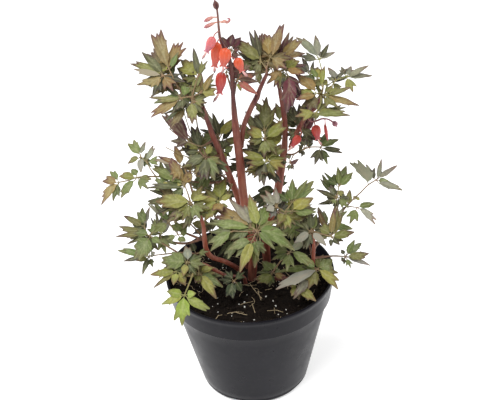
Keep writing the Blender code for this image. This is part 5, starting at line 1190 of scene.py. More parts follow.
def heart_mesh(spec, sides=8):
    rings, down = heart_rings(spec)
    verts, faces = [], []
    for p, s, f, a, b, up in rings:
        for k in range(sides):
            w = 2 * math.pi * k / sides
            c = math.cos(w)
            verts.append(p + s * (a * c) + f * (b * math.sin(w)) - down * (up * c * c))
    for i in range(len(rings) - 1):
        for k in range(sides):
            a, b = i * sides + k, i * sides + (k + 1) % sides
            faces.append([a, b, b + sides, a + sides])
    faces.append(list(reversed(range(sides))))
    faces.append([len(verts) - sides + k for k in range(sides)])
    return verts, faces


def pot_tree():
    """The pot and the soil as a plain solid of turns, for keeping leaves clear of them."""
    rings = [(POT_R_BASE, 0.0), (POT_R_NECK, POT_H - COLLAR_H - 3.0), (POT_R_NECK + 2.6, POT_H - COLLAR_H - 0.5),
             (POT_R_TOP, POT_H), (POT_R_TOP - WALL - 0.4, POT_H + 0.3), (POT_R_TOP - WALL - 1.4, SOIL_TOP),
             (60.0, SOIL_TOP + 0.6), (20.0, SOIL_TOP + 0.8)]
    m = 48
    pts = [(0.55 * 0 + (r + 0.7) * math.cos(2 * math.pi * k / m), (r + 0.7) * math.sin(2 * math.pi * k / m), z + 0.6)
           for r, z in rings for k in range(m)]
    faces = [[i * m + k, i * m + (k + 1) % m, (i + 1) * m + (k + 1) % m, (i + 1) * m + k]
             for i in range(len(rings) - 1) for k in range(m)]
    return BVHTree.FromPolygons(pts, faces, epsilon=0.0)


SHIFTS = [0, -3, 3, -6, 6, -9, 9, -12, 12, -16, 16, -20, 20, -25, 25, -30, 30]


def settled_plant():
    """Every leaf in order, slid along its sight lines to the depth where it best clears all before it."""
    solid = [("pot", pot_tree())]
    for name, axis, radii in STEM_AXES:
        solid.append((name, tree_of(*tube(axis, radii, 8, 0.1))))
    for spec in HEARTS:
        solid.append((spec[0], tree_of(*heart_mesh(spec, 8))))
    for name, points, radii, tone in BUDS:
        solid.append((name, tree_of(*tube([at_depth(*p) for p in points], radii, 8, 0.2))))
    placed = {}
    for leaf in LEAVES:
        lifts = settled_lifts(leaf)
        best = None
        for shift in SHIFTS:
            if best is not None and abs(shift) / 4.0 >= best[0]:
                continue
            layout = leaf_layout(leaf, shift, lifts)
            verts, tris, owner, without = thinned_sheet(layout, ())
            blocked = 0
            while True:
                points, faces, source = thickened(verts, tris, LEAF_T + 0.7)
                tree = tree_of(points, faces)
                count = {}
                for _, other in solid:
                    for a, _ in tree.overlap(other):
                        k = owner[source[a]]
                        count[k] = count.get(k, 0) + 1
                blocked = count.pop(-1, 0)
                if not count or blocked:
                    break
                without.add(max(sorted(count), key=lambda k: count[k]))
                verts, tris, owner, without = thinned_sheet(layout, without)
            cost = abs(shift) / 4.0 + 3.0 * len(without) + 50.0 * (blocked > 0)
            if best is None or cost < best[0]:
                best = (cost, shift, without, verts, tris, tree, blocked)
        placed[leaf[0]] = {"shift": best[1], "lifts": lifts, "without": best[2], "verts": best[3], "tris": best[4],
                           "blocked": best[6]}
        solid.append((leaf[0], best[5]))
    return placed


# ---------------------------------------------------------------- helpers
def value_noise(p, seed=0):
    """Smooth noise in -1..1 at points p (n, 3)."""
    p = np.asarray(p, float)
    i = np.floor(p).astype(np.int64)
    f = p - i
    f = f * f * (3 - 2 * f)
    out = np.zeros(len(p))
    for dx in (0, 1):
        for dy in (0, 1):
            for dz in (0, 1):
                h = ((i[:, 0] + dx) * 73856093) ^ ((i[:, 1] + dy) * 19349663) ^ ((i[:, 2] + dz) * 83492791) ^ (seed * 2654435761)
                h = (h ^ (h >> 13)) * 1274126177 & 0x7FFFFFFF
                r = (h % 100003) / 50001.5 - 1.0
                w = (f[:, 0] if dx else 1 - f[:, 0]) * (f[:, 1] if dy else 1 - f[:, 1]) * (f[:, 2] if dz else 1 - f[:, 2])
                out += r * w
    return out


def unit_rows(a):
    return a / np.maximum(np.linalg.norm(a, axis=1), 1e-9)[:, None]


class Build:
    """Gathers points, faces, material slots and per-point values for one piece."""

    def __init__(self):
        self.v, self.f, self.m, self.attr, self.n = [], [], [], [], 0

    def add(self, verts, faces, slot, attrs):
        verts = np.asarray(verts, float)
        self.v.append(verts)
        for face in faces:
            self.f.append([c + self.n for c in face])
        self.m += [slot] * len(faces) if isinstance(slot, int) else list(slot)
        full = {}
        for key in ("tint", "edge"):
            a = np.asarray(attrs.get(key, (0.2, 0.2, 0.2)), float)
            full[key] = np.tile(a, (len(verts), 1)) if a.ndim == 1 else a
        for key in ("tip", "vein", "along"):
            a = np.asarray(attrs.get(key, 0.0), float)
            full[key] = np.full(len(verts), float(a)) if a.ndim == 0 else a
        self.attr.append(full)
        self.n += len(verts)

    def make(self, name, materials, sharp=48.0):
        mesh = bpy.data.meshes.new(name)
        v = np.concatenate(self.v) * MM
        mesh.from_pydata(v.tolist(), [], self.f)
        for key in ("tint", "edge"):
            a = mesh.attributes.new(key, "FLOAT_COLOR", "POINT")
            c = np.concatenate([x[key] for x in self.attr])
            a.data.foreach_set("color", np.concatenate([c, np.ones((len(c), 1))], axis=1).astype(np.float32).ravel())
        for key in ("tip", "vein", "along"):
            a = mesh.attributes.new(key, "FLOAT", "POINT")
            a.data.foreach_set("value", np.concatenate([x[key] for x in self.attr]).astype(np.float32))
        mesh.polygons.foreach_set("material_index", np.array(self.m, dtype=np.int32))
        mesh.validate()
        for m in materials:
            mesh.materials.append(m)
        mesh.shade_smooth()
        mesh.set_sharp_from_angle(angle=math.radians(sharp))
        obj = bpy.data.objects.new(name, mesh)
        bpy.context.scene.collection.objects.link(obj)
        return obj


def smooth_path(points, radii, step=2.0):
    """A rounded curve through the points, with radii carried along."""
    p = [np.asarray(q, float) for q in points]
    if len(p) == 2:
        k = max(2, int(np.linalg.norm(p[1] - p[0]) / step) + 1)
        t = np.linspace(0, 1, k)[:, None]
        return p[0] * (1 - t) + p[1] * t, radii[0] * (1 - t[:, 0]) + radii[1] * t[:, 0]
    ext = [2 * p[0] - p[1]] + p + [2 * p[-1] - p[-2]]
    out, rad = [], []
    for i in range(len(p) - 1):
        a, b, c, d = ext[i:i + 4]
        ta = max(np.linalg.norm(b - a), 1e-6) ** 0.5
        tb = max(np.linalg.norm(c - b), 1e-6) ** 0.5
        tc = max(np.linalg.norm(d - c), 1e-6) ** 0.5
        m1 = (c - b) - (c - a) * tb / (ta + tb) + (b - a) * tb / ta
        m2 = (c - b) - (d - b) * tb / (tb + tc) + (d - c) * tb / tc
        k = max(2, int(np.linalg.norm(c - b) / step))
        for s in np.linspace(0, 1, k, endpoint=False):
            s2, s3 = s * s, s * s * s
            out.append((2 * s3 - 3 * s2 + 1) * b + (s3 - 2 * s2 + s) * m1 + (-2 * s3 + 3 * s2) * c + (s3 - s2) * m2)
            e = s * s * (3 - 2 * s)
            rad.append(radii[i] * (1 - e) + radii[i + 1] * e)
    out.append(p[-1])
    rad.append(radii[-1])
    return np.array(out), np.array(rad)


def tube_mesh(path, rad, sides=12, ridges=0.0, seed=1, rough=0.0, round_end=True):
    """A closed round tube with parallel-transported rings; ridges adds shallow grooves along it."""
    n = len(path)
    tangent = np.gradient(path, axis=0)
    tangent = unit_rows(tangent)
    s = np.cross(tangent[0], (0.3, -0.7, 0.6))
    s /= np.linalg.norm(s)
    w = np.arange(sides) * 2 * math.pi / sides
    verts = []
    if round_end:
        path = np.concatenate([path, [path[-1] + tangent[-1] * rad[-1] * 0.6, path[-1] + tangent[-1] * rad[-1] * 0.95]])
        rad = np.concatenate([rad, [rad[-1] * 0.8, rad[-1] * 0.35]])
        tangent = np.concatenate([tangent, [tangent[-1]] * 2])
        n += 2
    for i in range(n):
        s = s - tangent[i] * (s @ tangent[i])
        s /= np.linalg.norm(s)
        t = np.cross(tangent[i], s)
        r = rad[i] * (1 + ridges * np.cos(6 * w + 0.3 * math.sin(i * 0.11)))
        verts.append(path[i] + np.outer(np.cos(w) * r, s) + np.outer(np.sin(w) * r, t))
    verts = np.concatenate(verts)
    if rough:
        k = value_noise(verts * 0.8, seed) * rough
        centre = np.repeat(path, sides, axis=0)
        verts = verts + unit_rows(verts - centre) * k[:, None]
    faces = []
    for i in range(n - 1):
        for k in range(sides):
            a, b = i * sides + k, i * sides + (k + 1) % sides
            faces.append([a, b, b + sides, a + sides])
    faces.append(list(reversed(range(sides))))
    faces.append([(n - 1) * sides + k for k in range(sides)])
    along = np.repeat(np.linspace(0, 1, n), sides)
    return verts, faces, along


# ---------------------------------------------------------------- blades
def lobe_lines(blade, dist_at):
    """Curved midribs, one per lobe, in the blade's own plane: (points (m, 2), half width)."""
    axis, side, length, lobes = blade_frame(blade, None)
    k = len(lobes)
    half = blade["width"] / 2.0 * 1.06 / (k ** 0.50 if k > 1 else 1.0)
    out = []
    mean = sum(l[0] for l in lobes) / k
    for ang, a, b in lobes:
        tip = np.array([a, b])
        r = np.hypot(a, b)
        main = np.array([math.cos(mean * 0.6), math.sin(mean * 0.6)])
        ctrl = main * r * 0.34
        t = np.linspace(0, 1, 14)[:, None]
        line = 2 * t * (1 - t) * ctrl + t * t * tip
        out.append((line, half, r))
    return axis, side, length, lobes, out


def blade_surface(blade, seed, cell_k=1.0):
    """The blade's two skins and rim: points, faces, slots, and per-point values."""
    axis, side, length, lobes, lines = lobe_lines(blade, None)
    n, base = blade["n"], blade["base"]
    rng = np.random.RandomState(seed)
    k = len(lines)
    width = blade["width"]
    cell = min(0.80, max(0.42, width / 10.0, length / 36.0)) * cell_k
    ribs = []
    for line, half, r in lines:
        ribs.append((line, half, 0.0, 1.0))
        # side teeth on broad lobes
        if half > 3.4 and r > 16:
            for s0, sg in ((0.50, 1), (0.58, -1)):
                if rng.rand() < 0.35:
                    continue
                i = int(s0 * 13)
                p0 = line[i]
                d = line[i + 1] - line[i]
                d /= np.hypot(*d)
                q = np.array([-d[1], d[0]]) * sg
                tip = p0 + d * r * (0.20 + 0.07 * rng.rand()) + q * half * (0.95 + 0.25 * rng.rand())
                start = line[max(i - 3, 0)]
                t = np.linspace(0, 1, 8)[:, None]
                ctrl = p0 + d * r * 0.03 + q * half * 0.25
                tooth = (1 - t) ** 2 * start + 2 * t * (1 - t) * ctrl + t * t * tip
                ribs.append((tooth, half * 0.42, 0.35, 0.6))
    every = np.concatenate([r[0] for r in ribs])
    pad = width * 0.62 + 1.5
    lo, hi = every.min(0) - pad, every.max(0) + pad
    gx = np.arange(lo[0], hi[0] + cell, cell)
    gy = np.arange(lo[1], hi[1] + cell, cell)
    X, Y = np.meshgrid(gx, gy, indexing="ij")
    P = np.stack([X.ravel(), Y.ravel()], 1)
    wob = value_noise(np.c_[P * 0.16, np.full(len(P), seed * 1.7)], seed) * cell * 0.9
    P = P + np.c_[wob, -wob]
    field = np.full(len(P), -9.0)
    vein = np.full(len(P), 9.0)
    prog = np.zeros(len(P))
    for line, half, s_from, weight in ribs:
        a, b = line[:-1], line[1:]
        ab = b - a
        L2 = np.maximum((ab ** 2).sum(1), 1e-9)
        t = np.clip(((P[:, None, :] - a) * ab).sum(2) / L2, 0, 1)
        q = a + ab * t[:, :, None]
        d = np.hypot(P[:, None, 0] - q[:, :, 0], P[:, None, 1] - q[:, :, 1])
        j = d.argmin(1)
        dd = d[np.arange(len(P)), j]
        s = (j + t[np.arange(len(P)), j]) / len(a)
        if weight == 1.0:
            if k > 1:
                prof = np.where(s < 0.5, 0.50 + 0.50 * np.sin(math.pi * np.minimum(s, 0.55) / 1.1), 1.0)
                prof = prof * np.clip((1 - s) / 0.42, 0, 1) ** 0.72
                prof = np.maximum(prof * np.clip(0.25 + s * 3.2, 0, 1), 0)
            else:
                prof = np.clip(np.sin(math.pi * np.clip(s, 0, 1) ** 0.78), 0, 1) ** 0.8
                prof = prof * (0.9 + 0.1 * (1 - s))
        else:
            prof = np.clip(1.15 - s, 0, 1) ** 0.6
            prof = prof * np.clip((1.02 - s) / 0.35, 0, 1) ** 0.6
        h = half * prof * (1.0 + 0.05 * np.sin(s * 13 + seed * 1.3))
        val = h - dd
        better = val > field
        field = np.where(better, val, field)
        rank = np.where(dd < vein, np.maximum(s, s_from if weight < 1 else 0), prog)
        prog = rank
        vein = np.minimum(vein, dd)
    nx, ny = len(gx), len(gy)
    inside = field > 0
    # marching squares
    pts, index = [], {}

    def corner(i):
        if i not in index:
            index[i] = len(pts)
            pts.append((P[i, 0], P[i, 1], vein[i], prog[i], field[i]))
        return index[i]

    def cut(i, j):
        key = (min(i, j), max(i, j))
        if key not in index:
            index[key] = len(pts)
            t = field[i] / (field[i] - field[j])
            t = min(0.97, max(0.03, t))
            pts.append((P[i, 0] * (1 - t) + P[j, 0] * t, P[i, 1] * (1 - t) + P[j, 1] * t,
                        vein[i] * (1 - t) + vein[j] * t, prog[i] * (1 - t) + prog[j] * t, 0.0))
        return index[key]

    faces = []
    grid = inside.reshape(nx, ny)
    some = grid[:-1, :-1] | grid[1:, :-1] | grid[1:, 1:] | grid[:-1, 1:]
    for i, j in zip(*np.nonzero(some)):
        c = [i * ny + j, (i + 1) * ny + j, (i + 1) * ny + j + 1, i * ny + j + 1]
        ins = [bool(inside[q]) for q in c]
        if all(ins):
            faces.append([corner(q) for q in c])
            continue
        if sum(ins) == 2 and ins[0] == ins[2]:
            for q in range(4):
                if ins[q]:
                    faces.append([corner(c[q]), cut(c[q], c[(q + 1) % 4]), cut(c[q], c[q - 1])])
            continue
        poly = []
        for q in range(4):
            if ins[q]:
                poly.append(corner(c[q]))
            if ins[q] != ins[(q + 1) % 4]:
                a, b = (c[q], c[(q + 1) % 4]) if ins[q] else (c[(q + 1) % 4], c[q])
                poly.append(cut(a, b))
        faces.append(poly)
    if not faces:
        return None
    # keep only the body that holds most of the faces
    parent = list(range(len(pts)))

    def root(x):
        while parent[x] != x:
            parent[x] = parent[parent[x]]
            x = parent[x]
        return x

    for f in faces:
        for c in f[1:]:
            parent[root(c)] = root(f[0])
    size = {}
    for f in faces:
        size[root(f[0])] = size.get(root(f[0]), 0) + 1
    keep = max(sorted(size), key=lambda x: size[x])
    faces = [f for f in faces if root(f[0]) == keep]
    used = sorted({c for f in faces for c in f})
    new = {c: i for i, c in enumerate(used)}
    faces = [[new[c] for c in f] for f in faces]
    D = np.array([pts[c] for c in used])
    a, b, vn, pr, fd = D.T
    rel = np.clip(np.hypot(a, b) / max(length, 1e-6), 0, 1.2)
    half0 = lines[0][1]
    z = blade["lift"] * rel - 0.10 * length * rel * rel
    # folded up beside each midrib, softly rippled, margins turned down
    fold = 0.36 + 0.16 * rng.rand()
    z = z + fold * np.minimum(vn, half0) - 0.30 * np.minimum(vn, half0) ** 2 / max(half0, 1)
    z = z + value_noise(np.c_[a * 0.17, b * 0.17, np.full(len(a), seed * 3.1)], 7) * 0.55 * min(1.0, width / 8)
    z = z + 0.16 * np.sin(pr * 24 + vn * 1.2) * np.clip(vn / max(half0, 1), 0, 1)
    twist = (rng.rand() - 0.5) * 0.36
    z = z + twist * b * rel
    thick = 0.17 + 0.16 * np.clip(1 - vn / max(half0, 0.5), 0, 1) + 0.12 * np.exp(-(vn / 0.45) ** 2)
    centre = base + np.outer(a, axis) + np.outer(b, side) + np.outer(z, n)
    # local normals from the faces
    tri = np.array([[f[0], f[i], f[i + 1]] for f in faces for i in range(1, len(f) - 1)])
    nor = np.cross(centre[tri[:, 1]] - centre[tri[:, 0]], centre[tri[:, 2]] - centre[tri[:, 0]])
    vnor = np.zeros_like(centre)
    for c in range(3):
        np.add.at(vnor, tri[:, c], nor)
    vnor = unit_rows(vnor)
    top, low = centre + vnor * thick[:, None] / 2, centre - vnor * thick[:, None] / 2
    m = len(centre)
    edges = {}
    for f in faces:
        for i in range(len(f)):
            e = (f[i], f[(i + 1) % len(f)])
            if (e[1], e[0]) in edges:
                del edges[(e[1], e[0])]
            else:
                edges[e] = 1
    all_faces = list(faces) + [[c + m for c in reversed(f)] for f in faces] + [[j, i, i + m, j + m] for i, j in edges]
    flip = blade["flip"]
    slots = [1 if flip else 0] * len(faces) + [0 if flip else 1] * len(faces) + [0] * len(edges)
    tip = np.clip(0.55 * rel ** 2.2 + 0.55 * np.clip(1 - fd / max(0.5 * half0, 0.3), 0, 1) * rel, 0, 1)
    vein_v = np.exp(-(vn / 0.42) ** 2)
    two = lambda x: np.concatenate([x, x])
    return np.concatenate([top, low]), all_faces, slots, {"tip": two(tip), "vein": two(vein_v), "along": two(rel)}


# ---------------------------------------------------------------- materials
class Nodes:
    def __init__(self, name, rough=0.5, spec=0.5):
        self.m = bpy.data.materials.new(name)
        self.m.use_nodes = True
        self.t = self.m.node_tree
        self.bsdf = self.t.nodes["Principled BSDF"]
        self.bsdf.inputs["Roughness"].default_value = rough
        self.bsdf.inputs["Specular IOR Level"].default_value = spec

    def new(self, kind, **inputs):
        node = self.t.nodes.new(kind)
        for key, value in inputs.items():
            node.inputs[key.replace("_", " ")].default_value = value
        return node

    def link(self, a, b):
        self.t.links.new(a, b)

    def attribute(self, name):
        node = self.t.nodes.new("ShaderNodeAttribute")
        node.attribute_name = name
        return node

    def coords(self):
        return self.t.nodes.new("ShaderNodeTexCoord").outputs["Object"]

    def noise(self, scale, detail=4.0, rough=0.55, distortion=0.0):
        node = self.new("ShaderNodeTexNoise", Scale=scale, Detail=detail, Roughness=rough, Distortion=distortion)
        self.link(self.coords(), node.inputs["Vector"])
        return node.outputs["Fac"]

    def voronoi(self, scale, feature="F1"):
        node = self.t.nodes.new("ShaderNodeTexVoronoi")
        node.feature = feature
        node.inputs["Scale"].default_value = scale
        self.link(self.coords(), node.inputs["Vector"])
        return node.outputs["Distance"]

    def ramp(self, source, stops):
        node = self.t.nodes.new("ShaderNodeValToRGB")
        e = node.color_ramp.elements
        while len(e) < len(stops):
            e.new(0.5)
        for el, (pos, c) in zip(e, stops):
            el.position = pos
            el.color = (c, c, c, 1) if not hasattr(c, "__len__") else (c[0], c[1], c[2], 1)
        self.link(source, node.inputs["Fac"])
        return node.outputs["Color"]

    def mix(self, a, b, fac, mode="MIX"):
        node = self.t.nodes.new("ShaderNodeMix")
        node.data_type = "RGBA"
        node.blend_type = mode
        for value, socket in ((fac, node.inputs[0]), (a, node.inputs[6]), (b, node.inputs[7])):
            if hasattr(value, "is_output"):
                self.link(value, socket)
            elif hasattr(value, "__len__"):
                socket.default_value = (value[0], value[1], value[2], 1)
            else:
                socket.default_value = value
        return node.outputs[2]

    def math(self, op, a, b=None, clamp=False):
        node = self.t.nodes.new("ShaderNodeMath")
        node.operation = op
        node.use_clamp = clamp
        for value, socket in ((a, node.inputs[0]), (b, node.inputs[1])):
            if value is None:
                continue
            if hasattr(value, "is_output"):
                self.link(value, socket)
            else:
                socket.default_value = value
        return node.outputs[0]

    def bump(self, height, distance, strength=1.0):
        node = self.new("ShaderNodeBump", Distance=distance, Strength=strength)
        self.link(height, node.inputs["Height"])
        self.link(node.outputs["Normal"], self.bsdf.inputs["Normal"])

    def colour(self, socket):
        self.link(socket, self.bsdf.inputs["Base Color"])

    def roughness(self, socket):
        self.link(socket, self.bsdf.inputs["Roughness"])


def leaf_upper():
    n = Nodes("leaf_upper_skin", 0.5, 0.30)
    tint, edge = n.attribute("tint").outputs["Color"], n.attribute("edge").outputs["Color"]
    tip, vein = n.attribute("tip").outputs["Fac"], n.attribute("vein").outputs["Fac"]
    blot = n.noise(95.0, 5.0, 0.6)
    wide = n.noise(28.0, 3.0, 0.5)
    t = n.math("ADD", tip, n.math("MULTIPLY", n.math("SUBTRACT", blot, 0.5), 0.75))
    base = n.mix(tint, edge, n.ramp(t, [(0.18, 0.0), (0.62, 1.0)]))
    base = n.mix(base, n.mix(base, (0.45, 0.50, 0.20), 0.45), n.ramp(wide, [(0.45, 0.0), (0.8, 0.55)]))
    base = n.mix(base, n.mix(base, (0.60, 0.58, 0.34), 0.40), n.math("MULTIPLY", vein, 0.55))
    base = n.mix(base, (0.35, 0.35, 0.35), n.ramp(n.noise(420.0, 3.0), [(0.40, 0.32), (0.60, 0.0)]), "MULTIPLY")
    n.colour(base)
    n.roughness(n.ramp(n.noise(160.0, 4.0), [(0.3, 0.42), (0.7, 0.62)]))
    h = n.math("ADD", n.math("MULTIPLY", n.voronoi(620.0, "SMOOTH_F1"), 0.5), n.math("MULTIPLY", n.noise(300.0, 3.0), 0.6))
    h = n.math("SUBTRACT", h, n.math("MULTIPLY", vein, 0.9))
    n.bump(h, 0.00022, 0.75)
    return n.m


def leaf_under():
    n = Nodes("leaf_under_skin", 0.6, 0.25)
    tint, edge = n.attribute("tint").outputs["Color"], n.attribute("edge").outputs["Color"]
    tip, vein = n.attribute("tip").outputs["Fac"], n.attribute("vein").outputs["Fac"]
    grey = n.mix(tint, (0.34, 0.33, 0.27), 0.60)
    base = n.mix(grey, edge, n.ramp(n.math("ADD", tip, n.math("MULTIPLY", n.math("SUBTRACT", n.noise(120.0), 0.5), 0.6)),
                                    [(0.45, 0.0), (0.95, 0.6)]))
    base = n.mix(base, (0.42, 0.33, 0.24), n.math("MULTIPLY", vein, 0.35))
    n.colour(base)
    n.roughness(n.ramp(n.noise(200.0), [(0.3, 0.5), (0.7, 0.72)]))
    n.bump(n.math("ADD", n.voronoi(560.0, "SMOOTH_F1"), n.math("MULTIPLY", vein, 1.2)), 0.00018, 0.7)
    return n.m


def stalk_skin(name, bump=0.00015):
    n = Nodes(name, 0.45, 0.32)
    tint, edge = n.attribute("tint").outputs["Color"], n.attribute("edge").outputs["Color"]
    along = n.attribute("along").outputs["Fac"]
    t = n.math("ADD", along, n.math("MULTIPLY", n.math("SUBTRACT", n.noise(70.0, 4.0), 0.5), 0.5))
    base = n.mix(tint, edge, n.ramp(t, [(0.1, 0.0), (0.9, 1.0)]))
    streak = n.new("ShaderNodeTexNoise", Scale=1.0, Detail=3.0)
    mapping = n.t.nodes.new("ShaderNodeMapping")
    mapping.inputs["Scale"].default_value = (260.0, 260.0, 26.0)
    n.link(n.coords(), mapping.inputs["Vector"])
    n.link(mapping.outputs["Vector"], streak.inputs["Vector"])
    base = n.mix(base, n.mix(base, (0.60, 0.30, 0.20), 0.45), n.ramp(streak.outputs["Fac"], [(0.46, 0.0), (0.72, 0.60)]))
    base = n.mix(base, (0.55, 0.5, 0.5), n.ramp(n.noise(180.0), [(0.35, 0.35), (0.52, 0.0)]), "MULTIPLY")
    n.colour(base)
    n.roughness(n.ramp(n.noise(150.0), [(0.3, 0.36), (0.7, 0.56)]))
    n.bump(streak.outputs["Fac"], bump, 0.8)
    return n.m


def petal_skin():
    n = Nodes("petal_skin", 0.42, 0.45)
    tint, edge = n.attribute("tint").outputs["Color"], n.attribute("edge").outputs["Color"]
    along = n.attribute("along").outputs["Fac"]
    base = n.mix(tint, edge, n.ramp(n.math("ADD", along, n.math("MULTIPLY", n.math("SUBTRACT", n.noise(180.0, 3.0), 0.5), 0.35)),
                                    [(0.25, 0.0), (0.9, 1.0)]))
    streak = n.new("ShaderNodeTexNoise", Scale=1.0, Detail=2.0)
    mapping = n.t.nodes.new("ShaderNodeMapping")
    mapping.inputs["Scale"].default_value = (900.0, 900.0, 90.0)
    n.link(n.coords(), mapping.inputs["Vector"])
    n.link(mapping.outputs["Vector"], streak.inputs["Vector"])
    base = n.mix(base, n.mix(base, (0.80, 0.34, 0.24), 0.35), n.ramp(streak.outputs["Fac"], [(0.45, 0.0), (0.75, 0.5)]))
    n.colour(base)
    n.bsdf.inputs["Subsurface Weight"].default_value = 0.12
    n.bsdf.inputs["Subsurface Scale"].default_value = 0.002
    n.roughness(n.ramp(n.noise(260.0), [(0.3, 0.34), (0.7, 0.52)]))
    n.bump(streak.outputs["Fac"], 0.0001, 0.6)
    return n.m


def pot_skin():
    n = Nodes("pot_moulded_plastic", 0.32, 0.12)
    cloud = n.noise(22.0, 5.0, 0.6)
    dust = n.noise(140.0, 6.0, 0.7)
    base = n.ramp(cloud, [(0.3, (0.0060, 0.0056, 0.0085)), (0.72, (0.0115, 0.0108, 0.0150))])
    base = n.mix(base, (0.040, 0.038, 0.037), n.ramp(dust, [(0.50, 0.0), (0.95, 0.30)]))
    n.colour(base)
    n.roughness(n.ramp(n.noise(60.0, 5.0), [(0.3, 0.26), (0.7, 0.38)]))
    fine = n.new("ShaderNodeTexNoise", Scale=1.0, Detail=4.0)
    mapping = n.t.nodes.new("ShaderNodeMapping")
    mapping.inputs["Scale"].default_value = (700.0, 700.0, 160.0)
    n.link(n.coords(), mapping.inputs["Vector"])
    n.link(mapping.outputs["Vector"], fine.inputs["Vector"])
    n.bump(fine.outputs["Fac"], 0.00006, 0.6)
    return n.m


def soil_skin(name="soil_peat", lift=1.0):
    n = Nodes(name, 0.9, 0.08)
    base = n.ramp(n.noise(260.0, 6.0, 0.7), [(0.28, (0.004 * lift, 0.003 * lift, 0.0025 * lift)),
                                             (0.52, (0.011 * lift, 0.0078 * lift, 0.006 * lift)),
                                             (0.80, (0.036 * lift, 0.026 * lift, 0.018 * lift))])
    n.colour(base)
    n.roughness(n.ramp(n.noise(120.0), [(0.3, 0.75), (0.7, 0.98)]))
    n.bump(n.math("ADD", n.noise(520.0, 6.0, 0.75), n.voronoi(420.0)), 0.0009, 0.9)
    return n.m


def plain_skin(name, low, high, rough, scale, bump):
    n = Nodes(name, rough, 0.35)
    n.colour(n.ramp(n.noise(scale, 5.0, 0.6), [(0.3, low), (0.7, high)]))
    n.roughness(n.ramp(n.noise(scale * 0.7), [(0.3, rough - 0.08), (0.7, rough + 0.08)]))
    n.bump(n.noise(scale * 2.0, 4.0), bump, 0.8)
    return n.m


# tone: colour of the upper face, colour towards the tips
LEAF_TONES = {
    "bronze": ((0.275, 0.180, 0.062), (0.130, 0.040, 0.040)),
    "olive": ((0.180, 0.178, 0.048), (0.110, 0.050, 0.034)),
    "green": ((0.140, 0.180, 0.048), (0.125, 0.118, 0.042)),
    "yellow": ((0.270, 0.262, 0.056), (0.175, 0.105, 0.042)),
    "dark": ((0.066, 0.066, 0.028), (0.050, 0.020, 0.022)),
    "grey": ((0.250, 0.240, 0.185), (0.170, 0.100, 0.080)),
    "plum": ((0.110, 0.028, 0.036), (0.075, 0.014, 0.028)),
    "lime": ((0.270, 0.320, 0.056), (0.190, 0.200, 0.042)),
    "shade": ((0.046, 0.062, 0.024), (0.034, 0.040, 0.020)),
    "rose": ((0.420, 0.130, 0.095), (0.270, 0.050, 0.058)),
}
# painted shade: a darker copy of every tone, for leaflets that lie behind others
for tone, (face, tips) in list(LEAF_TONES.items()):
    LEAF_TONES[tone + "_deep"] = (tuple(c * 0.52 for c in face), tuple(c * 0.62 for c in tips))
STEM_LOW, STEM_HIGH = (0.315, 0.078, 0.036), (0.060, 0.014, 0.020)
STALK_LOW, STALK_HIGH = (0.150, 0.070, 0.045), (0.240, 0.190, 0.090)
PETALS = {
    "orange": ((0.660, 0.088, 0.026), (0.500, 0.085, 0.065)),
    "red": ((0.400, 0.030, 0.018), (0.400, 0.048, 0.060)),
    "pink": ((0.600, 0.140, 0.145), (0.450, 0.120, 0.170)),
    "rose": ((0.620, 0.260, 0.240), (0.360, 0.110, 0.130)),
    "mauve": ((0.270, 0.100, 0.110), (0.330, 0.130, 0.180)),
}


def smooth_jitter(rng, colour, amount=0.14):
    c = np.array(colour) * (1 + (rng.rand() - 0.5) * 2 * amount)
    return np.clip(c * (1 + (rng.rand(3) - 0.5) * 0.14), 0, 1)


# ---------------------------------------------------------------- build the leaves
def chosen_shift(leaf, lifts):
    """The depth at which the leaf's solid lies, read from its box."""
    lo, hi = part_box(leaf[0])
    best = None
    for shift in SHIFTS:
        verts, _, _ = leaf_sheet(leaf_layout(leaf, shift, lifts))
        v = np.array(verts) * MM
        cost = float(np.abs(v.min(0) - np.array(lo)).sum() + np.abs(v.max(0) - np.array(hi)).sum())
        if best is None or cost < best[0]:
            best = (cost, shift)
    return best[1]


def leaf_chains(layout):
    """Runs of points along the stalks, each carried straight on where the stalk forks."""
    pts = [np.array(p) for p in layout["pts"]]
    start = layout["stem_point"]
    pts[0] = np.array(start)
    links = {tuple(l) for l in layout["links"]}
    near = {}
    for i, j in layout["links"]:
        near.setdefault(i, []).append(j)
        near.setdefault(j, []).append(i)
    free = {frozenset(l) for l in layout["links"]}
    chains, heads = [], [0]
    while heads:
        at = heads.pop(0)
        for nxt in list(near.get(at, [])):
            if frozenset((at, nxt)) not in free:
                continue
            run = [at, nxt]
            free.discard(frozenset((at, nxt)))
            while True:
                options = [q for q in near[run[-1]] if frozenset((run[-1], q)) in free]
                if not options:
                    break
                d = unit(pts[run[-1]] - pts[run[-2]])
                q = max(options, key=lambda o: float(d @ unit(pts[o] - pts[run[-1]])))
                free.discard(frozenset((run[-1], q)))
                heads.append(run[-1])
                run.append(q)
            chains.append(run)
            heads += run[1:]
    return pts, chains


# leaflets of a second layer behind a leaf's own, where it isn't 4
SECOND_LAYER = {
    "leaf_star": 0, "leaf_bract": 1, "leaf_plum_top": 3, "leaf_plum_left": 1, "leaf_far_left": 4, "leaf_left_edge": 1,
    "leaf_far_right": 1, "leaf_low_far_right": 1, "leaf_left_hang": 2, "leaf_soil_right": 2, "leaf_yellow": 5,
    "leaf_mid_left": 9, "leaf_inner_left": 8, "leaf_left": 8, "leaf_mid_front": 9, "leaf_central": 7, "leaf_upper_left": 8,
    "leaf_top_left": 7, "leaf_top_mid": 7, "leaf_top_right": 8, "leaf_dark_clump": 8, "leaf_right_upper": 8, "leaf_mid": 8,
    "leaf_tall_right": 7, "leaf_back_left": 7, "leaf_back_mid": 7, "leaf_back_right": 7, "leaf_shade": 1,
    "leaf_right_fan": 8, "leaf_curled": 5, "leaf_low_left": 4, "leaf_right_low": 5, "leaf_rim_left": 5, "leaf_rim_right": 5,
    "leaf_front_right": 5, "leaf_right_small": 5,
}


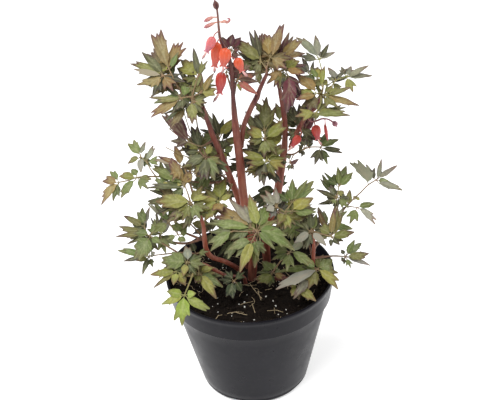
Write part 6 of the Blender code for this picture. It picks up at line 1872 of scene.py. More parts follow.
def under_blades(layout, leaf, rng):
    """Leaflets a little behind the leaf's own, turned into the gaps between them, and never reaching past them."""
    n = layout["n"]
    own = layout["blades"]
    forks = {}
    for blade in own:
        forks.setdefault(blade["at"], []).append(blade)
    keys = sorted(forks, key=lambda a: -sum(b["width"] for b in forks[a]))
    ex = unit(cross(n, vec((0.3, 0.2, 0.9))))
    ey = cross(n, ex)
    out = []
    wanted = SECOND_LAYER.get(leaf[0], 4)
    for turn in range(wanted * 3):
        if len(out) >= wanted:
            break
        at = keys[turn % len(keys)]
        group = forks[at]
        p = layout["pts"][at]
        angs = []
        for blade in group:
            mean = sum(blade["tips"]) / len(blade["tips"]) - p
            long = max(math.sqrt(dot(t - p, t - p)) for t in blade["tips"])
            angs.append((math.atan2(dot(mean, ey), dot(mean, ex)), long, blade["width"], blade["flip"]))
        if len(angs) == 1:
            a0, long, width, flip = angs[0]
            ang = a0 + (0.65 if (turn // len(keys)) % 2 else -0.65)
        else:
            angs.sort()
            gaps = []
            for i in range(len(angs)):
                a1, a2 = angs[i][0], angs[(i + 1) % len(angs)][0]
                gap = (a2 - a1) % (2 * math.pi)
                gaps.append((gap, i))
            gaps.sort(reverse=True)
            gap, i = gaps[(turn // len(keys)) % len(gaps)]
            a1, long1, width1, flip = angs[i]
            _, long2, width2, _ = angs[(i + 1) % len(angs)]
            share = 0.5 if gap < 1.7 else 0.65 / gap
            ang = a1 + gap * share
            long, width = min(long1, long2) * 0.5 + (long1 + long2) * 0.25, (width1 + width2) / 2
        long = min(long * (0.86 + 0.12 * rng.rand()), 22.0)
        if long < 6.5:
            continue
        back = n * -(1.6 + 2.4 * rng.rand())
        tips = []
        for da, sh in ((-0.40, 0.74), (0.03, 1.0), (0.42, 0.72)):
            tips.append(p + back + (ex * math.cos(ang + da) + ey * math.sin(ang + da)) * long * sh)
        base = p + back * 0.5 + (ex * math.cos(ang) + ey * math.sin(ang)) * 2.6
        # painted shade: these leaflets take the darker copy of their fork's tone
        out.append({"at": at, "base": base, "tips": tips, "width": min(max(width, long * 0.34), long * 0.52), "n": n,
                    "tone": shaded_tone(group[0]["tone"]), "flip": 0, "lift": -1.5})
    return out


def shaded_tone(tone):
    """The name of the painted-shade colour, a darker copy of the tone, for a leaflet that lies behind others."""
    return tone + "_deep"


# a second, smaller spray behind a leaf: (turn in its plane, size, how far behind in mm)
SPRAY_BEHIND = {
    "leaf_mid_left": (0.7, 0.85, 9), "leaf_inner_left": (-0.8, 0.9, 8), "leaf_left": (0.6, 0.8, 10), "leaf_mid_front": (0.8, 0.85, 9),
    "leaf_central": (0.30, 0.78, 10), "leaf_right_fan": (-0.5, 0.75, 10), "leaf_tall_right": (0.6, 0.8, 9), "leaf_right_low": (0.5, 0.8, 8),
    "leaf_dark_clump": (0.8, 0.85, 8), "leaf_mid": (0.6, 0.85, 8), "leaf_upper_left": (0.45, 0.78, 9), "leaf_top_right": (0.5, 0.78, 9),
    "leaf_right_upper": (0.30, 0.72, 9), "leaf_top_mid": (0.5, 0.85, 8), "leaf_rim_left": (0.5, 0.85, 5), "leaf_low_left": (0.3, 0.75, 8),
    "leaf_back_left": (0.9, 0.85, 7), "leaf_back_mid": (0.9, 0.85, 7), "leaf_back_right": (0.9, 0.85, 7), "leaf_top_left": (0.35, 0.8, 9),
    "leaf_curled": (0.8, 0.85, 6), "leaf_rim_right": (0.4, 0.8, 5),
}
# more sprays among the stems: like which leaf, hub (u, v), depth, turn, size, tone
MORE_SPRAYS = [
    ("leaf_mid_left", (206, 150), 8, 0.5, 0.85, "olive"),
    ("leaf_inner_left", (184, 168), -8, 0.9, 0.9, "bronze"),
    ("leaf_mid_left", (207, 171), 16, -0.6, 0.9, "green"),
    ("leaf_inner_left", (171, 226), -22, 0.4, 1.0, "green"),
    ("leaf_curled", (150, 236), -26, 1.2, 1.0, "green"),
    ("leaf_mid", (190, 222), 6, -0.9, 0.85, "olive"),
    ("leaf_mid", (222, 192), 26, 1.3, 0.9, "dark"),
    ("leaf_tall_right", (268, 222), 24, -0.7, 0.75, "green"),
    ("leaf_mid_front", (300, 222), -2, 1.0, 0.9, "green"),
    ("leaf_inner_left", (326, 226), -22, -1.1, 0.9, "green"),
    ("leaf_mid", (262, 158), 30, 1.9, 0.9, "dark"),
    ("leaf_dark_clump", (300, 128), 26, 0.6, 0.9, "dark"),
    ("leaf_mid_front", (212, 232), 20, -1.4, 0.8, "dark"),
    ("leaf_dark_clump", (276, 190), 42, 2.2, 1.0, "shade"),
    ("leaf_mid", (236, 232), 34, 2.8, 0.9, "shade"),
    ("leaf_plum_top", (241, 71), 3, 1.6, 0.85, "plum"),
    ("leaf_plum_top", (226, 72), 9, -1.3, 0.8, "plum"),
    ("leaf_bract", (237, 79), 4, 0.9, 0.85, "plum"),
    ("leaf_mid", (279, 122), 30, 0.9, 0.8, "olive"),
    ("leaf_dark_clump", (258, 142), 24, 1.0, 0.9, "olive"),
    ("leaf_mid", (168, 191), -12, 0.3, 0.75, "green"),
    ("leaf_inner_left", (228, 174), 30, 1.8, 0.9, "dark"),
]


def turned_layout(layout, hub, angle, size, tone, stalk_from=None):
    """A copy of a leaf's layout, turned in its own plane, with its hub at another place."""
    n, root, pts = layout["n"], layout["root"], layout["pts"]
    old = pts[root]
    ca, sa = math.cos(angle), math.sin(angle)

    def put(p):
        d = p - old
        return hub + (d * ca + cross(n, d) * sa + n * dot(n, d) * (1 - ca)) * size

    start = layout["stem_point"] if stalk_from is None else stalk_from
    new = [put(p) for p in pts]
    for i in range(root):
        t = i / float(root)
        if stalk_from is None:
            new[i] = pts[i] + (hub - old) * t
        else:
            new[i] = start + (hub - start) * t + vec((0, 0, 1)) * 5.0 * math.sin(math.pi * t)
    blades = []
    for blade in layout["blades"]:
        copy = dict(blade)
        copy["base"], copy["tips"] = put(blade["base"]), [put(t) for t in blade["tips"]]
        copy["width"] = blade["width"] * size
        # with no tone given, each blade takes painted shade, the darker copy of its own tone
        copy["tone"] = shaded_tone(blade["tone"]) if tone is None else tone
        copy["flip"] = 0 if tone is None else blade["flip"]
        blades.append(copy)
    out = dict(layout)
    out.update({"pts": new, "blades": blades, "stem_point": start})
    return out


def add_spray(b, layout, rng, number, tone, materials, cell_k, second=None):
    """Stalks and blades of one layout into the mesh being built."""
    pts, chains = leaf_chains(layout)
    low, high = smooth_jitter(rng, STALK_LOW), smooth_jitter(rng, STALK_HIGH)
    if tone in ("lime", "yellow"):
        low, high = np.array((0.22, 0.19, 0.08)), np.array((0.27, 0.27, 0.09))
    for c, run in enumerate(chains):
        first = 0.95 if run[0] == 0 else 0.62
        line = [pts[i] for i in run]
        rad = list(np.linspace(first, 0.55 if c == 0 else 0.42, len(line)))
        if run[0] == 0:
            rad[0] = 1.25
        path, r = smooth_path(line, rad, 1.6)
        v, f, along = tube_mesh(path, r, 8, 0.05, number, 0.05)
        b.add(v, f, 2, {"tint": low, "edge": high, "along": along if run[0] == 0 else 0.6 + 0.4 * along})
    blades = list(layout["blades"])
    if second is not None:
        blades += under_blades(layout, second, rng)
    for k, blade in enumerate(blades):
        at = pts[blade["at"]]
        base = np.array(blade["base"])
        mean = sum(np.array(t) for t in blade["tips"]) / len(blade["tips"])
        d = unit(mean - base)
        if np.linalg.norm(base - at) > 0.6:
            path, r = smooth_path([at, (at + base) / 2 + blade["n"] * -0.3, base, base + d * 2.5], [0.46, 0.4, 0.36, 0.16], 1.2)
            v, f, along = tube_mesh(path, r, 6, 0.0, k)
            b.add(v, f, 2, {"tint": low, "edge": high, "along": 0.75 + 0.25 * along})
        made = blade_surface(blade, number * 31 + k + 1, cell_k)
        if made is None:
            continue
        v, f, slots, attrs = made
        face, tips = LEAF_TONES[blade["tone"]]
        attrs["tint"] = smooth_jitter(rng, face)
        attrs["edge"] = smooth_jitter(rng, tips)
        b.add(v, f, slots, attrs)


def build_more_sprays(materials, cell_k):
    by_name = {leaf[0]: leaf for leaf in LEAVES}
    for i, (like, seen, y, angle, size, tone) in enumerate(MORE_SPRAYS):
        layout = leaf_layout(by_name[like])
        hub = at_depth(seen[0], seen[1], y)
        q, _, _ = nearest_on_stems(hub + vec((0, 0, -18.0)))
        rng = np.random.RandomState(900 + i)
        b = Build()
        add_spray(b, turned_layout(layout, hub, angle, size, tone, q), rng, 300 + i, tone, materials, cell_k)
        obj = b.make("spray_%d_blades" % (i + 1), materials)
        finish_piece(obj, [])


def build_leaf(leaf, number, materials, cell_k):
    lifts = settled_lifts(leaf)
    shift = chosen_shift(leaf, lifts)
    layout = leaf_layout(leaf, shift, lifts)
    b = Build()
    rng = np.random.RandomState(100 + number)
    add_spray(b, layout, rng, number, leaf[1], materials, cell_k, leaf)
    if leaf[0] in SPRAY_BEHIND:
        angle, size, back = SPRAY_BEHIND[leaf[0]]
        hub = layout["pts"][layout["root"]] - layout["n"] * back
        # the spray behind is given no tone, so its blades are darkened with painted shade
        add_spray(b, turned_layout(layout, hub, angle, size, None), rng, 400 + number, leaf[1], materials, cell_k * 1.1)
    obj = b.make(leaf[0] + "_blades", materials)
    finish_piece(obj, [leaf[0]])
    return obj, len(b.f)


def finish_piece(obj, nodes):
    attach(obj, "root")
    if nodes:
        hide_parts(*nodes)


def build_stem(name, axis, radii, number, skin):
    b = Build()
    pts = [np.array(p) for p in axis]
    rad = list(radii)
    if pts[0][2] < SOIL_TOP + 14:
        d = unit(pts[0] - pts[1])
        d = unit(d * 0.35 + np.array((0, 0, -1.0)))
        pts = [pts[0] + d * 9.0] + pts
        rad = [rad[0] * 1.05] + rad
    path, r = smooth_path(pts, rad, 1.5)
    r = r * (1 + 0.035 * value_noise(np.c_[path * 0.09], number))
    v, f, along = tube_mesh(path, r, 22, 0.012, number, 0.06)
    height = np.clip((v[:, 2] - SOIL_TOP) / 270.0, 0, 1)
    # darker red-brown towards the soil, partly the stem's own colour and partly painted shade inside the pot; warm
    # brown above, purple towards the top
    foot = np.clip((v[:, 2:3] - SOIL_TOP) / 70.0, 0, 1)
    low = np.array((0.120, 0.032, 0.024)) * (1 - foot) + np.array(STEM_LOW) * foot
    b.add(v, f, 0, {"tint": low, "edge": STEM_HIGH, "along": height ** 1.15})
    obj = b.make(name + "_skin", [skin])
    finish_piece(obj, [name])


def resample_rings(rings, step):
    """Rings between the given ones, so that the flower is smoothly rounded."""
    keys = np.array([np.concatenate([p, s, f, [a, c, up]]) for p, s, f, a, c, up in rings])
    out = []
    ext = np.concatenate([[2 * keys[0] - keys[1]], keys, [2 * keys[-1] - keys[-2]]])
    for i in range(len(keys) - 1):
        p0, p1, p2, p3 = ext[i:i + 4]
        n = max(2, int(np.linalg.norm(p2[:3] - p1[:3]) / step) + 1)
        for t in np.linspace(0, 1, n, endpoint=False):
            q = 0.5 * (2 * p1 + (p2 - p0) * t + (2 * p0 - 5 * p1 + 4 * p2 - p3) * t * t + (3 * p1 - p0 - 3 * p2 + p3) * t ** 3)
            out.append(q)
    out.append(keys[-1])
    return np.array(out)


def build_heart(spec, number, skins):
    name, pedicel, top, mouth, tip, y, width, thick, tone = spec
    rings, down = heart_rings(spec)
    top3, mouth3, tip3 = at_depth(top[0], top[1], y), at_depth(mouth[0], mouth[1], y), at_depth(tip[0], tip[1], y)
    length = math.sqrt(dot(mouth3 - top3, mouth3 - top3))
    side = unit(cross(TOWARDS, down))
    front = cross(down, side)
    b = Build()
    face, end = PETALS[tone]
    # stalk
    q, r, _ = nearest_on_stems(at_depth(*pedicel[0]))
    line = [q] + [at_depth(*p) for p in pedicel[1:]] + [top3 + down * 0.8]
    path, rad = smooth_path(line, [0.6] + [0.5] * (len(line) - 2) + [0.62], 1.0)
    v, f, along = tube_mesh(path, rad, 8)
    b.add(v, f, 1, {"tint": (0.30, 0.075, 0.065), "edge": (0.42, 0.12, 0.10), "along": along})
    # two outer petals: each a pouch at one shoulder that narrows and turns out at its tip
    w, t = width / 2.0, thick / 2.0
    sides = 28
    prof = [(-0.03, 0.05, 0.10), (0.0, 0.30, 0.40), (0.03, 0.54, 0.60), (0.09, 0.78, 0.80), (0.18, 0.94, 0.94), (0.32, 1.0, 1.0),
            (0.48, 0.96, 0.96), (0.62, 0.84, 0.84), (0.76, 0.66, 0.68), (0.88, 0.52, 0.54), (1.0, 0.42, 0.42)]
    ps, pa, pb = (np.array(c) for c in zip(*prof))
    S = np.linspace(-0.03, 1.0, 44)
    A, B = np.interp(S, ps, pa), np.interp(S, ps, pb)
    k = np.array([0.25, 0.5, 0.25])
    A[1:-1], B[1:-1] = np.convolve(A, k, "valid"), np.convolve(B, k, "valid")
    verts, along = [], []
    for s, a, c in zip(S, A, B):
        for j in range(sides):
            th = 2 * math.pi * j / sides
            cx, sy = math.cos(th), math.sin(th)
            seam = 1 - 0.20 * math.exp(-(cx / 0.22) ** 2) * (1 - 0.4 * s)
            x = w * a * cx * (1 + 0.05 * cx * cx)
            yv = t * c * sy * seam
            lobe = 0.055 * length * cx * cx * math.exp(-(s / 0.22) ** 2) * (1 if s < 0.5 else 0)
            verts.append(top3 + down * (length * s - lobe) + side * x + front * yv)
            along.append(s)
    faces = []
    m = len(S)
    for i in range(m - 1):
        for j in range(sides):
            p, q2 = i * sides + j, i * sides + (j + 1) % sides
            faces.append([p, q2, q2 + sides, p + sides])
    faces.append(list(reversed(range(sides))))
    faces.append([(m - 1) * sides + j for j in range(sides)])
    verts = np.array(verts)
    vol = (np.linalg.norm(verts[sides * 4] - top3))
    flipped = np.dot(np.cross(side, front), down) < 0
    if flipped:
        faces = [list(reversed(f)) for f in faces]
    b.add(verts, faces, 0, {"tint": face, "edge": end, "along": np.clip(np.array(along), 0, 1)})
    # turned-out tips of the outer petals
    for sg in (-1, 1):
        path0 = mouth3 - down * length * 0.10 + side * sg * w * 0.26
        line = [path0, mouth3 + side * sg * w * 0.36 + down * length * 0.0, mouth3 + side * sg * w * 0.56 + down * length * 0.05,
                mouth3 + side * sg * w * 0.74 + down * length * 0.045]
        path, rad = smooth_path(line, [t * 0.30, t * 0.30, t * 0.22, t * 0.05], 0.7)
        v, f, al = tube_mesh(path, rad, 10)
        c = np.repeat(np.concatenate([path, path[-1:], path[-1:]]), sides if False else 10, axis=0)[:len(v)]
        v = c + (v - c) - np.outer(((v - c) @ front) * 0.35, front)
        b.add(v, f, 0, {"tint": end, "edge": (0.72, 0.30, 0.28), "along": al})
    # inner petals: a slender crested column with a dark tip
    d = unit(tip3 - mouth3)
    inner = np.linalg.norm(tip3 - mouth3)
    line = [mouth3 - down * length * 0.15, mouth3 + (tip3 - mouth3) * 0.25, mouth3 + (tip3 - mouth3) * 0.65, tip3 - d * 0.4]
    path, rad = smooth_path(line, [t * 0.34, t * 0.30, t * 0.40, t * 0.14], 0.6)
    v, f, al = tube_mesh(path, rad, 12, 0.06)
    b.add(v, f, 0, {"tint": (0.78, 0.45, 0.42), "edge": (0.10, 0.035, 0.055), "along": al ** 1.3})
    # small sepal at the notch
    for sg in (-1, 1):
        line = [top3 + down * 0.4, top3 - down * 0.6 + side * sg * 0.7, top3 + down * 0.6 + side * sg * 1.5 + front * 0.6]
        path, rad = smooth_path(line, [0.4, 0.42, 0.1], 0.5)
        v, f, al = tube_mesh(path, rad, 8)
        b.add(v, f, 1, {"tint": (0.30, 0.09, 0.08), "edge": (0.40, 0.14, 0.12), "along": al})
    obj = b.make(name + "_petals", skins, 60.0)
    finish_piece(obj, [name])


def build_bud(name, points, radii, tone, number, skins):
    axis = [at_depth(*p) for p in points]
    q, r, _ = nearest_on_stems(axis[0], name)
    if np.linalg.norm(axis[0] - q) < 12:
        axis = [q] + axis
        radii = [radii[0]] + list(radii)
    b = Build()
    path, rad = smooth_path(axis, list(radii), 0.6)
    v, f, along = tube_mesh(path, rad, 16, 0.05, number, 0.05)
    face, end = PETALS[tone]
    b.add(v, f, 0, {"tint": face if tone != "rose" else (0.66, 0.34, 0.26), "edge": end, "along": along})
    obj = b.make(name + "_skin", skins, 60.0)
    finish_piece(obj, [name])


# ---------------------------------------------------------------- pot
def outer_radius(z):
    return POT_R_BASE + (POT_R_NECK - POT_R_BASE) * (z - 4.0) / (POT_H - COLLAR_H - 4.0)


def build_pot(skin):
    neck, low = POT_H - COLLAR_H, POT_R_NECK + COLLAR_STEP

    def arc(cx, cz, r, a0, a1, n=6):
        return [(cx + r * math.cos(math.radians(a0 + (a1 - a0) * i / n)), cz + r * math.sin(math.radians(a0 + (a1 - a0) * i / n)))
                for i in range(n + 1)]

    outer = arc(POT_R_TOP - 0.9, POT_H - 0.9, 0.9, 90, 0)
    outer += [(POT_R_TOP - 0.15, POT_H - 3.2), (POT_R_TOP - 0.55, POT_H - 3.9)]
    outer += [(low + (POT_R_TOP - 0.55 - low) * k / 6, neck + 1.2 + (POT_H - 3.9 - neck - 1.2) * k / 6) for k in (5, 4, 3, 2, 1)]
    outer += arc(low - 0.8, neck + 1.0, 0.8, 0, -80, 4)
    outer += [(POT_R_NECK + 0.35, neck - 0.15), (POT_R_NECK, neck - 0.9)]
    outer += [(outer_radius(z), z) for z in (92, 80, 66, 52, 38, 24, 14, 8.0)]
    outer += arc(POT_R_BASE - 5.6, 5.8, 5.8, 8, -88, 9)
    outer += [(POT_R_BASE - 10, 0.0), (30.0, 0.0), (0.0, 0.0)]
    inner = [(0.0, FLOOR_T), (40.0, FLOOR_T), (outer_radius(6.0) - WALL, 6.4)]
    inner += [(outer_radius(z) - WALL, z) for z in (30, 60, 90)]
    inner += [(POT_R_NECK - WALL, neck + 0.4), (low - WALL, neck + 3.4), (low - WALL + 1.2, POT_H - 12)]
    inner += arc(POT_R_TOP - WALL + 0.35, POT_H - 0.7, 0.7, 180, 90, 4)
    profile = inner + outer
    steps = 160
    verts, faces = [], []
    rows = []
    for x, z in profile:
        if x < 1e-6:
            rows.append([len(verts)])
            verts.append((0, 0, z))
            continue
        row = []
        for k in range(steps):
            a = 2 * math.pi * k / steps
            row.append(len(verts))
            verts.append((x * math.cos(a), x * math.sin(a), z))
        rows.append(row)
    for r0, r1 in zip(rows[:-1], rows[1:]):
        for k in range(steps):
            k2 = (k + 1) % steps
            if len(r0) == 1:
                faces.append([r0[0], r1[k], r1[k2]])
            elif len(r1) == 1:
                faces.append([r0[k], r1[0], r0[k2]])
            else:
                faces.append([r0[k], r1[k], r1[k2], r0[k2]])
    v = np.array(verts, float)
    # moulded plastic is never perfectly round
    ang = np.arctan2(v[:, 1], v[:, 0])
    up = np.clip((v[:, 2] - 20) / 110, 0, 1)
    v[:, :2] *= (1 + (0.0018 * np.cos(2 * ang + 0.6) + 0.0011 * np.cos(3 * ang + 2.0)) * up)[:, None]
    mesh = bpy.data.meshes.new("pot_shell")
    mesh.from_pydata((v * MM).tolist(), [], faces)
    bm = bmesh.new()
    bm.from_mesh(mesh)
    bmesh.ops.recalc_face_normals(bm, faces=bm.faces)
    bm.to_mesh(mesh)
    bm.free()
    obj = bpy.data.objects.new("pot_shell", mesh)
    bpy.context.scene.collection.objects.link(obj)
    cutters = []
    for k in range(5):
        angle = math.radians(-107.9 + 72.0 * k)
        prof = [(-15.5, -3)] + [(15.5 * math.sin(t), 4.4 * max(0.0, math.cos(t)) ** 0.45) for t in np.linspace(-math.pi / 2, math.pi / 2, 15)] + [(15.5, -3)]
        cv, cf = [], []
        for depth in (-7.0, 7.0):
            for x, z in prof:
                cv.append(((53.5 + depth) * MM, x * (1.0 + depth * 0.01) * MM, z * MM))
        n = len(prof)
        cf.append(list(range(n)))
        cf.append(list(reversed(range(n, 2 * n))))
        for i in range(n):
            j = (i + 1) % n
            cf.append([i, n + i, n + j, j])
        cm = bpy.data.meshes.new("notch")
        cm.from_pydata(cv, [], cf)
        bm = bmesh.new()
        bm.from_mesh(cm)
        bmesh.ops.recalc_face_normals(bm, faces=bm.faces)
        bm.to_mesh(cm)
        bm.free()
        co = bpy.data.objects.new("notch_%d" % k, cm)
        bpy.context.scene.collection.objects.link(co)
        co.rotation_euler = (0, 0, angle)
        mod = obj.modifiers.new("notch", "BOOLEAN")
        mod.operation, mod.solver, mod.object = "DIFFERENCE", "EXACT", co
        cutters.append(co)
    bpy.context.view_layer.update()
    graph = bpy.context.evaluated_depsgraph_get()
    made = bpy.data.meshes.new_from_object(obj.evaluated_get(graph))
    obj.modifiers.clear()
    obj.data = made
    for co in cutters:
        bpy.data.objects.remove(co, do_unlink=True)
    made.materials.clear()
    made.materials.append(skin)
    made.shade_smooth()
    made.set_sharp_from_angle(angle=math.radians(40))
    finish_piece(obj, ["pot"])


# ---------------------------------------------------------------- soil
def soil_height(x, y):
    """Height of the loose surface over the level SOIL_TOP at (x, y) in mm."""
    p = np.c_[x, y, np.zeros(len(x))]
    r = np.hypot(x, y)
    h = 1.0 * value_noise(p * 0.055, 3) + 0.9 * value_noise(p * 0.16, 5) + 0.55 * value_noise(p * 0.42, 8) + 0.28 * value_noise(p * 0.95, 9)
    h = h - 1.8 * np.clip((r - 62) / 20, 0, 1) ** 2 + 0.6 * np.exp(-(r / 34) ** 2)
    return h


def pebble(centre, size, seed, flat=0.7, subdiv=1):
    bm = bmesh.new()
    bmesh.ops.create_icosphere(bm, subdivisions=subdiv, radius=1.0)
    v = np.array([x.co[:] for x in bm.verts])
    f = [[c.index for c in face.verts] for face in bm.faces]
    bm.free()
    rng = np.random.RandomState(seed)
    k = 1 + 0.42 * value_noise(v * 1.3 + seed * 0.37, seed % 97)
    v = v * k[:, None] * np.array([1, 0.6 + 0.5 * rng.rand(), flat * (0.7 + 0.5 * rng.rand())]) * size
    a, t = rng.rand() * 6.283, (rng.rand() - 0.5) * 1.2
    rz = np.array([[math.cos(a), -math.sin(a), 0], [math.sin(a), math.cos(a), 0], [0, 0, 1]])
    rx = np.array([[1, 0, 0], [0, math.cos(t), -math.sin(t)], [0, math.sin(t), math.cos(t)]])
    return v @ rx.T @ rz.T + centre, f


def build_soil(skins):
    rng = np.random.RandomState(4)
    rings, seg = 60, 200
    R = POT_R_TOP - WALL - 1.35
    pts = [(0.0, 0.0)]
    for i in range(1, rings + 1):
        for k in range(seg):
            a = 2 * math.pi * (k + 0.5 * (i % 2)) / seg
            pts.append((R * i / rings * math.cos(a), R * i / rings * math.sin(a)))
    pts = np.array(pts)
    z = SOIL_TOP + soil_height(pts[:, 0], pts[:, 1])
    v = np.c_[pts, z]
    faces = [[0, 1 + k, 1 + (k + 1) % seg] for k in range(seg)]
    for i in range(1, rings):
        for k in range(seg):
            a, b = 1 + (i - 1) * seg + k, 1 + (i - 1) * seg + (k + 1) % seg
            faces.append([a, a + seg, b + seg, b])
    # the body of the mix down to the pot's floor
    last = 1 + (rings - 1) * seg
    below = []
    for rr, zz in ((R - 0.6, SOIL_TOP - 8), (POT_R_NECK - WALL - 0.8, POT_H - COLLAR_H), (outer_radius(8.0) - WALL - 0.8, 8.0), (44.0, FLOOR_T + 0.6)):
        below.append(len(v))
        ring = np.array([(rr * math.cos(2 * math.pi * (k + 0.5 * (rings % 2)) / seg), rr * math.sin(2 * math.pi * (k + 0.5 * (rings % 2)) / seg), zz) for k in range(seg)])
        v = np.concatenate([v, ring])
    rows = [last] + below
    for a0, b0 in zip(rows[:-1], rows[1:]):
        for k in range(seg):
            k2 = (k + 1) % seg
            faces.append([a0 + k, b0 + k, b0 + k2, a0 + k2])
    faces.append([rows[-1] + k for k in range(seg)][::-1])
    b = Build()
    b.add(v, faces, 0, {})
    # crumbs, bark and clods
    for i in range(1500):
        r, a = R * 0.985 * math.sqrt(rng.rand()), rng.rand() * 2 * math.pi
        x, y = r * math.cos(a), r * math.sin(a)
        size = 0.45 + 1.25 * rng.rand() ** 2.6
        if rng.rand() < 0.035:
            size += 1.5
        h = SOIL_TOP + float(soil_height(np.array([x]), np.array([y]))[0])
        pv, pf = pebble(np.array((x, y, h + size * 0.22)), size, i + 11, 0.62)
        b.add(pv, pf, 0 if rng.rand() < 0.72 else 1, {})
    obj = b.make("soil_mix", [skins[0], skins[1]], 70.0)
    finish_piece(obj, ["soil"])
    # white perlite: a few placed where they show, the rest scattered
    b = Build()
    spots = [(244.5, 302.5, 1.0), (244.5, 307, 1.2), (254, 319, 1.0), (266, 296.5, 1.1), (273, 301, 0.9), (275.5, 306, 1.0),
             (286, 308.5, 0.8), (218, 312, 0.7), (232, 312.5, 0.8)]
    for i, (u, vv, size) in enumerate(spots):
        d = sight(u, vv)
        p = EYE_AT + d * ((SOIL_TOP + 0.8 - EYE_AT[2]) / d[2])
        if math.hypot(p[0], p[1]) > R - 2:
            continue
        h = SOIL_TOP + float(soil_height(np.array([p[0]]), np.array([p[1]]))[0])
        pv, pf = pebble(np.array((p[0], p[1], h + size * 0.45)), size, 700 + i, 0.85, 2)
        b.add(pv, pf, 0, {})
    for i in range(46):
        r, a = R * 0.97 * math.sqrt(rng.rand()), rng.rand() * 2 * math.pi
        x, y = r * math.cos(a), r * math.sin(a)
        size = 0.35 + 0.5 * rng.rand()
        h = SOIL_TOP + float(soil_height(np.array([x]), np.array([y]))[0])
        pv, pf = pebble(np.array((x, y, h + size * 0.4)), size, 800 + i, 0.85, 1)
        b.add(pv, pf, 0, {})
    obj = b.make("soil_perlite", [skins[2]], 70.0)
    finish_piece(obj, [])
    # pale straw fibres and thin roots on the surface
    b = Build()
    lines = [[(227, 313), (234, 312), (247, 315)], [(267, 310), (275, 310), (283, 312)], [(215, 320), (218, 316), (222, 314)],
             [(210, 319), (205, 318)], [(258, 292), (261, 300)], [(265, 290), (272, 289)], [(252, 303), (255, 312)],
             [(250, 284), (255, 291), (262, 299)]]
    for i, line in enumerate(lines):
        pts3 = []
        for u, vv in line:
            d = sight(u, vv)
            p = EYE_AT + d * ((SOIL_TOP + 1.2 - EYE_AT[2]) / d[2])
            rr = math.hypot(p[0], p[1])
            if rr > R - 2:
                p[:2] *= (R - 2) / rr
            p[2] = SOIL_TOP + 1.1 + float(soil_height(np.array([p[0]]), np.array([p[1]]))[0])
            pts3.append(p)
        path, rad = smooth_path(pts3, [0.34] * len(pts3), 1.2)
        path[:, 2] += 0.5 * value_noise(path * 0.5, i)
        tv, tf, al = tube_mesh(path, rad, 6)
        b.add(tv, tf, 0, {})
    for i in range(70):
        r, a = (R - 6) * math.sqrt(rng.rand()), rng.rand() * 2 * math.pi
        p0 = np.array((r * math.cos(a), r * math.sin(a), 0.0))
        t = rng.rand() * 2 * math.pi
        step = 2.2 + 3.0 * rng.rand()
        pts3 = []
        for k in range(4):
            q = p0 + np.array((math.cos(t), math.sin(t), 0)) * step * k
            t += (rng.rand() - 0.5) * 0.9
            rr = math.hypot(q[0], q[1])
            if rr > R - 2:
                q[:2] *= (R - 2) / rr
            q[2] = SOIL_TOP + 0.9 + float(soil_height(np.array([q[0]]), np.array([q[1]]))[0])
            pts3.append(q)
        if np.linalg.norm(pts3[0] - pts3[-1]) < 2:
            continue
        path, rad = smooth_path(pts3, [0.20] * 4, 1.4)
        tv, tf, al = tube_mesh(path, rad, 5)
        b.add(tv, tf, 0, {})
    obj = b.make("soil_fibres", [skins[3]], 70.0)
    finish_piece(obj, [])


# ---------------------------------------------------------------- floor, light, camera
def light(name, at, to, size, energy, colour=(1, 1, 1)):
    data = bpy.data.lights.new(name, "AREA")
    data.shape = "RECTANGLE"
    data.size, data.size_y = size
    data.energy = energy
    data.color = colour
    obj = bpy.data.objects.new(name, data)
    bpy.context.scene.collection.objects.link(obj)
    d = Matrix.Identity(3)
    z = unit(vec(at) - vec(to))
    x = unit(cross(vec((0, 0, 1)), z))
    y = cross(z, x)
    d = Matrix(((x[0], y[0], z[0]), (x[1], y[1], z[1]), (x[2], y[2], z[2])))
    obj.matrix_world = Matrix.Translation(at) @ d.to_4x4()
    return obj


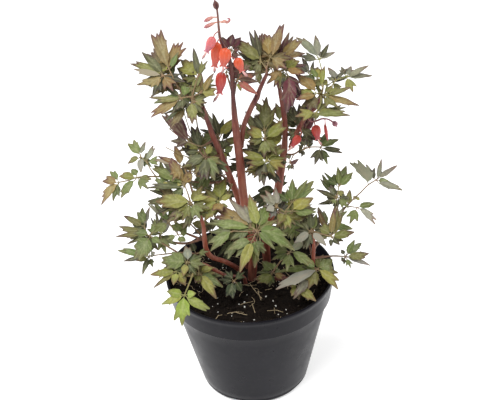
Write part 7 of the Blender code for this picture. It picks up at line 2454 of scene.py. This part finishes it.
def build_stage():
    mesh = bpy.data.meshes.new("floor")
    s, k = 6.0, 24
    verts = [(-s + 2 * s * i / k, -s + 2 * s * j / k, 0.0) for i in range(k + 1) for j in range(k + 1)]
    faces = [[i * (k + 1) + j, (i + 1) * (k + 1) + j, (i + 1) * (k + 1) + j + 1, i * (k + 1) + j + 1] for i in range(k) for j in range(k)]
    mesh.from_pydata(verts, [], faces)
    n = Nodes("floor_paper", 0.95, 0.1)
    n.colour(n.ramp(n.noise(2.0, 2.0), [(0.3, 0.90), (0.7, 0.93)]))
    n.bsdf.inputs["Emission Color"].default_value = (1.0, 1.0, 1.0, 1.0)
    n.bsdf.inputs["Emission Strength"].default_value = 0.50
    mesh.materials.append(n.m)
    floor = bpy.data.objects.new("floor", mesh)
    bpy.context.scene.collection.objects.link(floor)
    world = bpy.data.worlds.new("studio")
    world.use_nodes = True
    world.node_tree.nodes["Background"].inputs["Color"].default_value = (1.0, 1.0, 1.0, 1.0)
    world.node_tree.nodes["Background"].inputs["Strength"].default_value = 0.40
    bpy.context.scene.world = world
    light("key_light", (-0.45, -0.7, 1.7), (0, 0, 0.2), (0.9, 0.9), 23)
    light("left_light", (-1.25, 0.30, 0.50), (0, 0, 0.12), (0.35, 1.1), 8)
    light("right_light", (1.25, 0.30, 0.50), (0, 0, 0.12), (0.35, 1.1), 9.5)
    scene = bpy.context.scene
    scene.view_settings.view_transform = "Standard"
    data = bpy.data.cameras.new("camera")
    data.sensor_width = 36.0
    data.lens = REACH / 500.0 * 36.0
    data.clip_start, data.clip_end = 0.01, 50.0
    cam = bpy.data.objects.new("camera", data)
    scene.collection.objects.link(cam)
    m = Matrix(((_R2[0], _U2[0], -_FW[0]), (_R2[1], _U2[1], -_FW[1]), (_R2[2], _U2[2], -_FW[2])))
    cam.matrix_world = Matrix.Translation(tuple(EYE_AT * MM)) @ m.to_4x4()
    scene.camera = cam


def main():
    cell_k = 1.17
    build_stage()
    build_pot(pot_skin())
    build_soil([soil_skin(), soil_skin("soil_bark", 1.9),
                plain_skin("perlite_grain", (0.62, 0.60, 0.55), (0.86, 0.85, 0.80), 0.8, 500.0, 0.0003),
                plain_skin("straw_fibre", (0.30, 0.22, 0.13), (0.56, 0.45, 0.28), 0.7, 300.0, 0.0002)])
    stem = stalk_skin("stem_skin_nodes", 0.00025)
    for i, (name, axis, radii) in enumerate(STEM_AXES):
        build_stem(name, axis, radii, i + 1, stem)
    stalk = stalk_skin("leaf_stalk_skin")
    leaf_skins = [leaf_upper(), leaf_under(), stalk]
    total = 0
    for i, leaf in enumerate(LEAVES):
        _, count = build_leaf(leaf, i + 1, leaf_skins, cell_k)
        total += count
    build_more_sprays(leaf_skins, cell_k)
    petals = [petal_skin(), stalk]
    for i, spec in enumerate(HEARTS):
        build_heart(spec, i + 1, petals)
    for i, (name, points, radii, tone) in enumerate(BUDS):
        build_bud(name, points, radii, tone, i + 1, petals)
    print("leaf faces", total)


main()
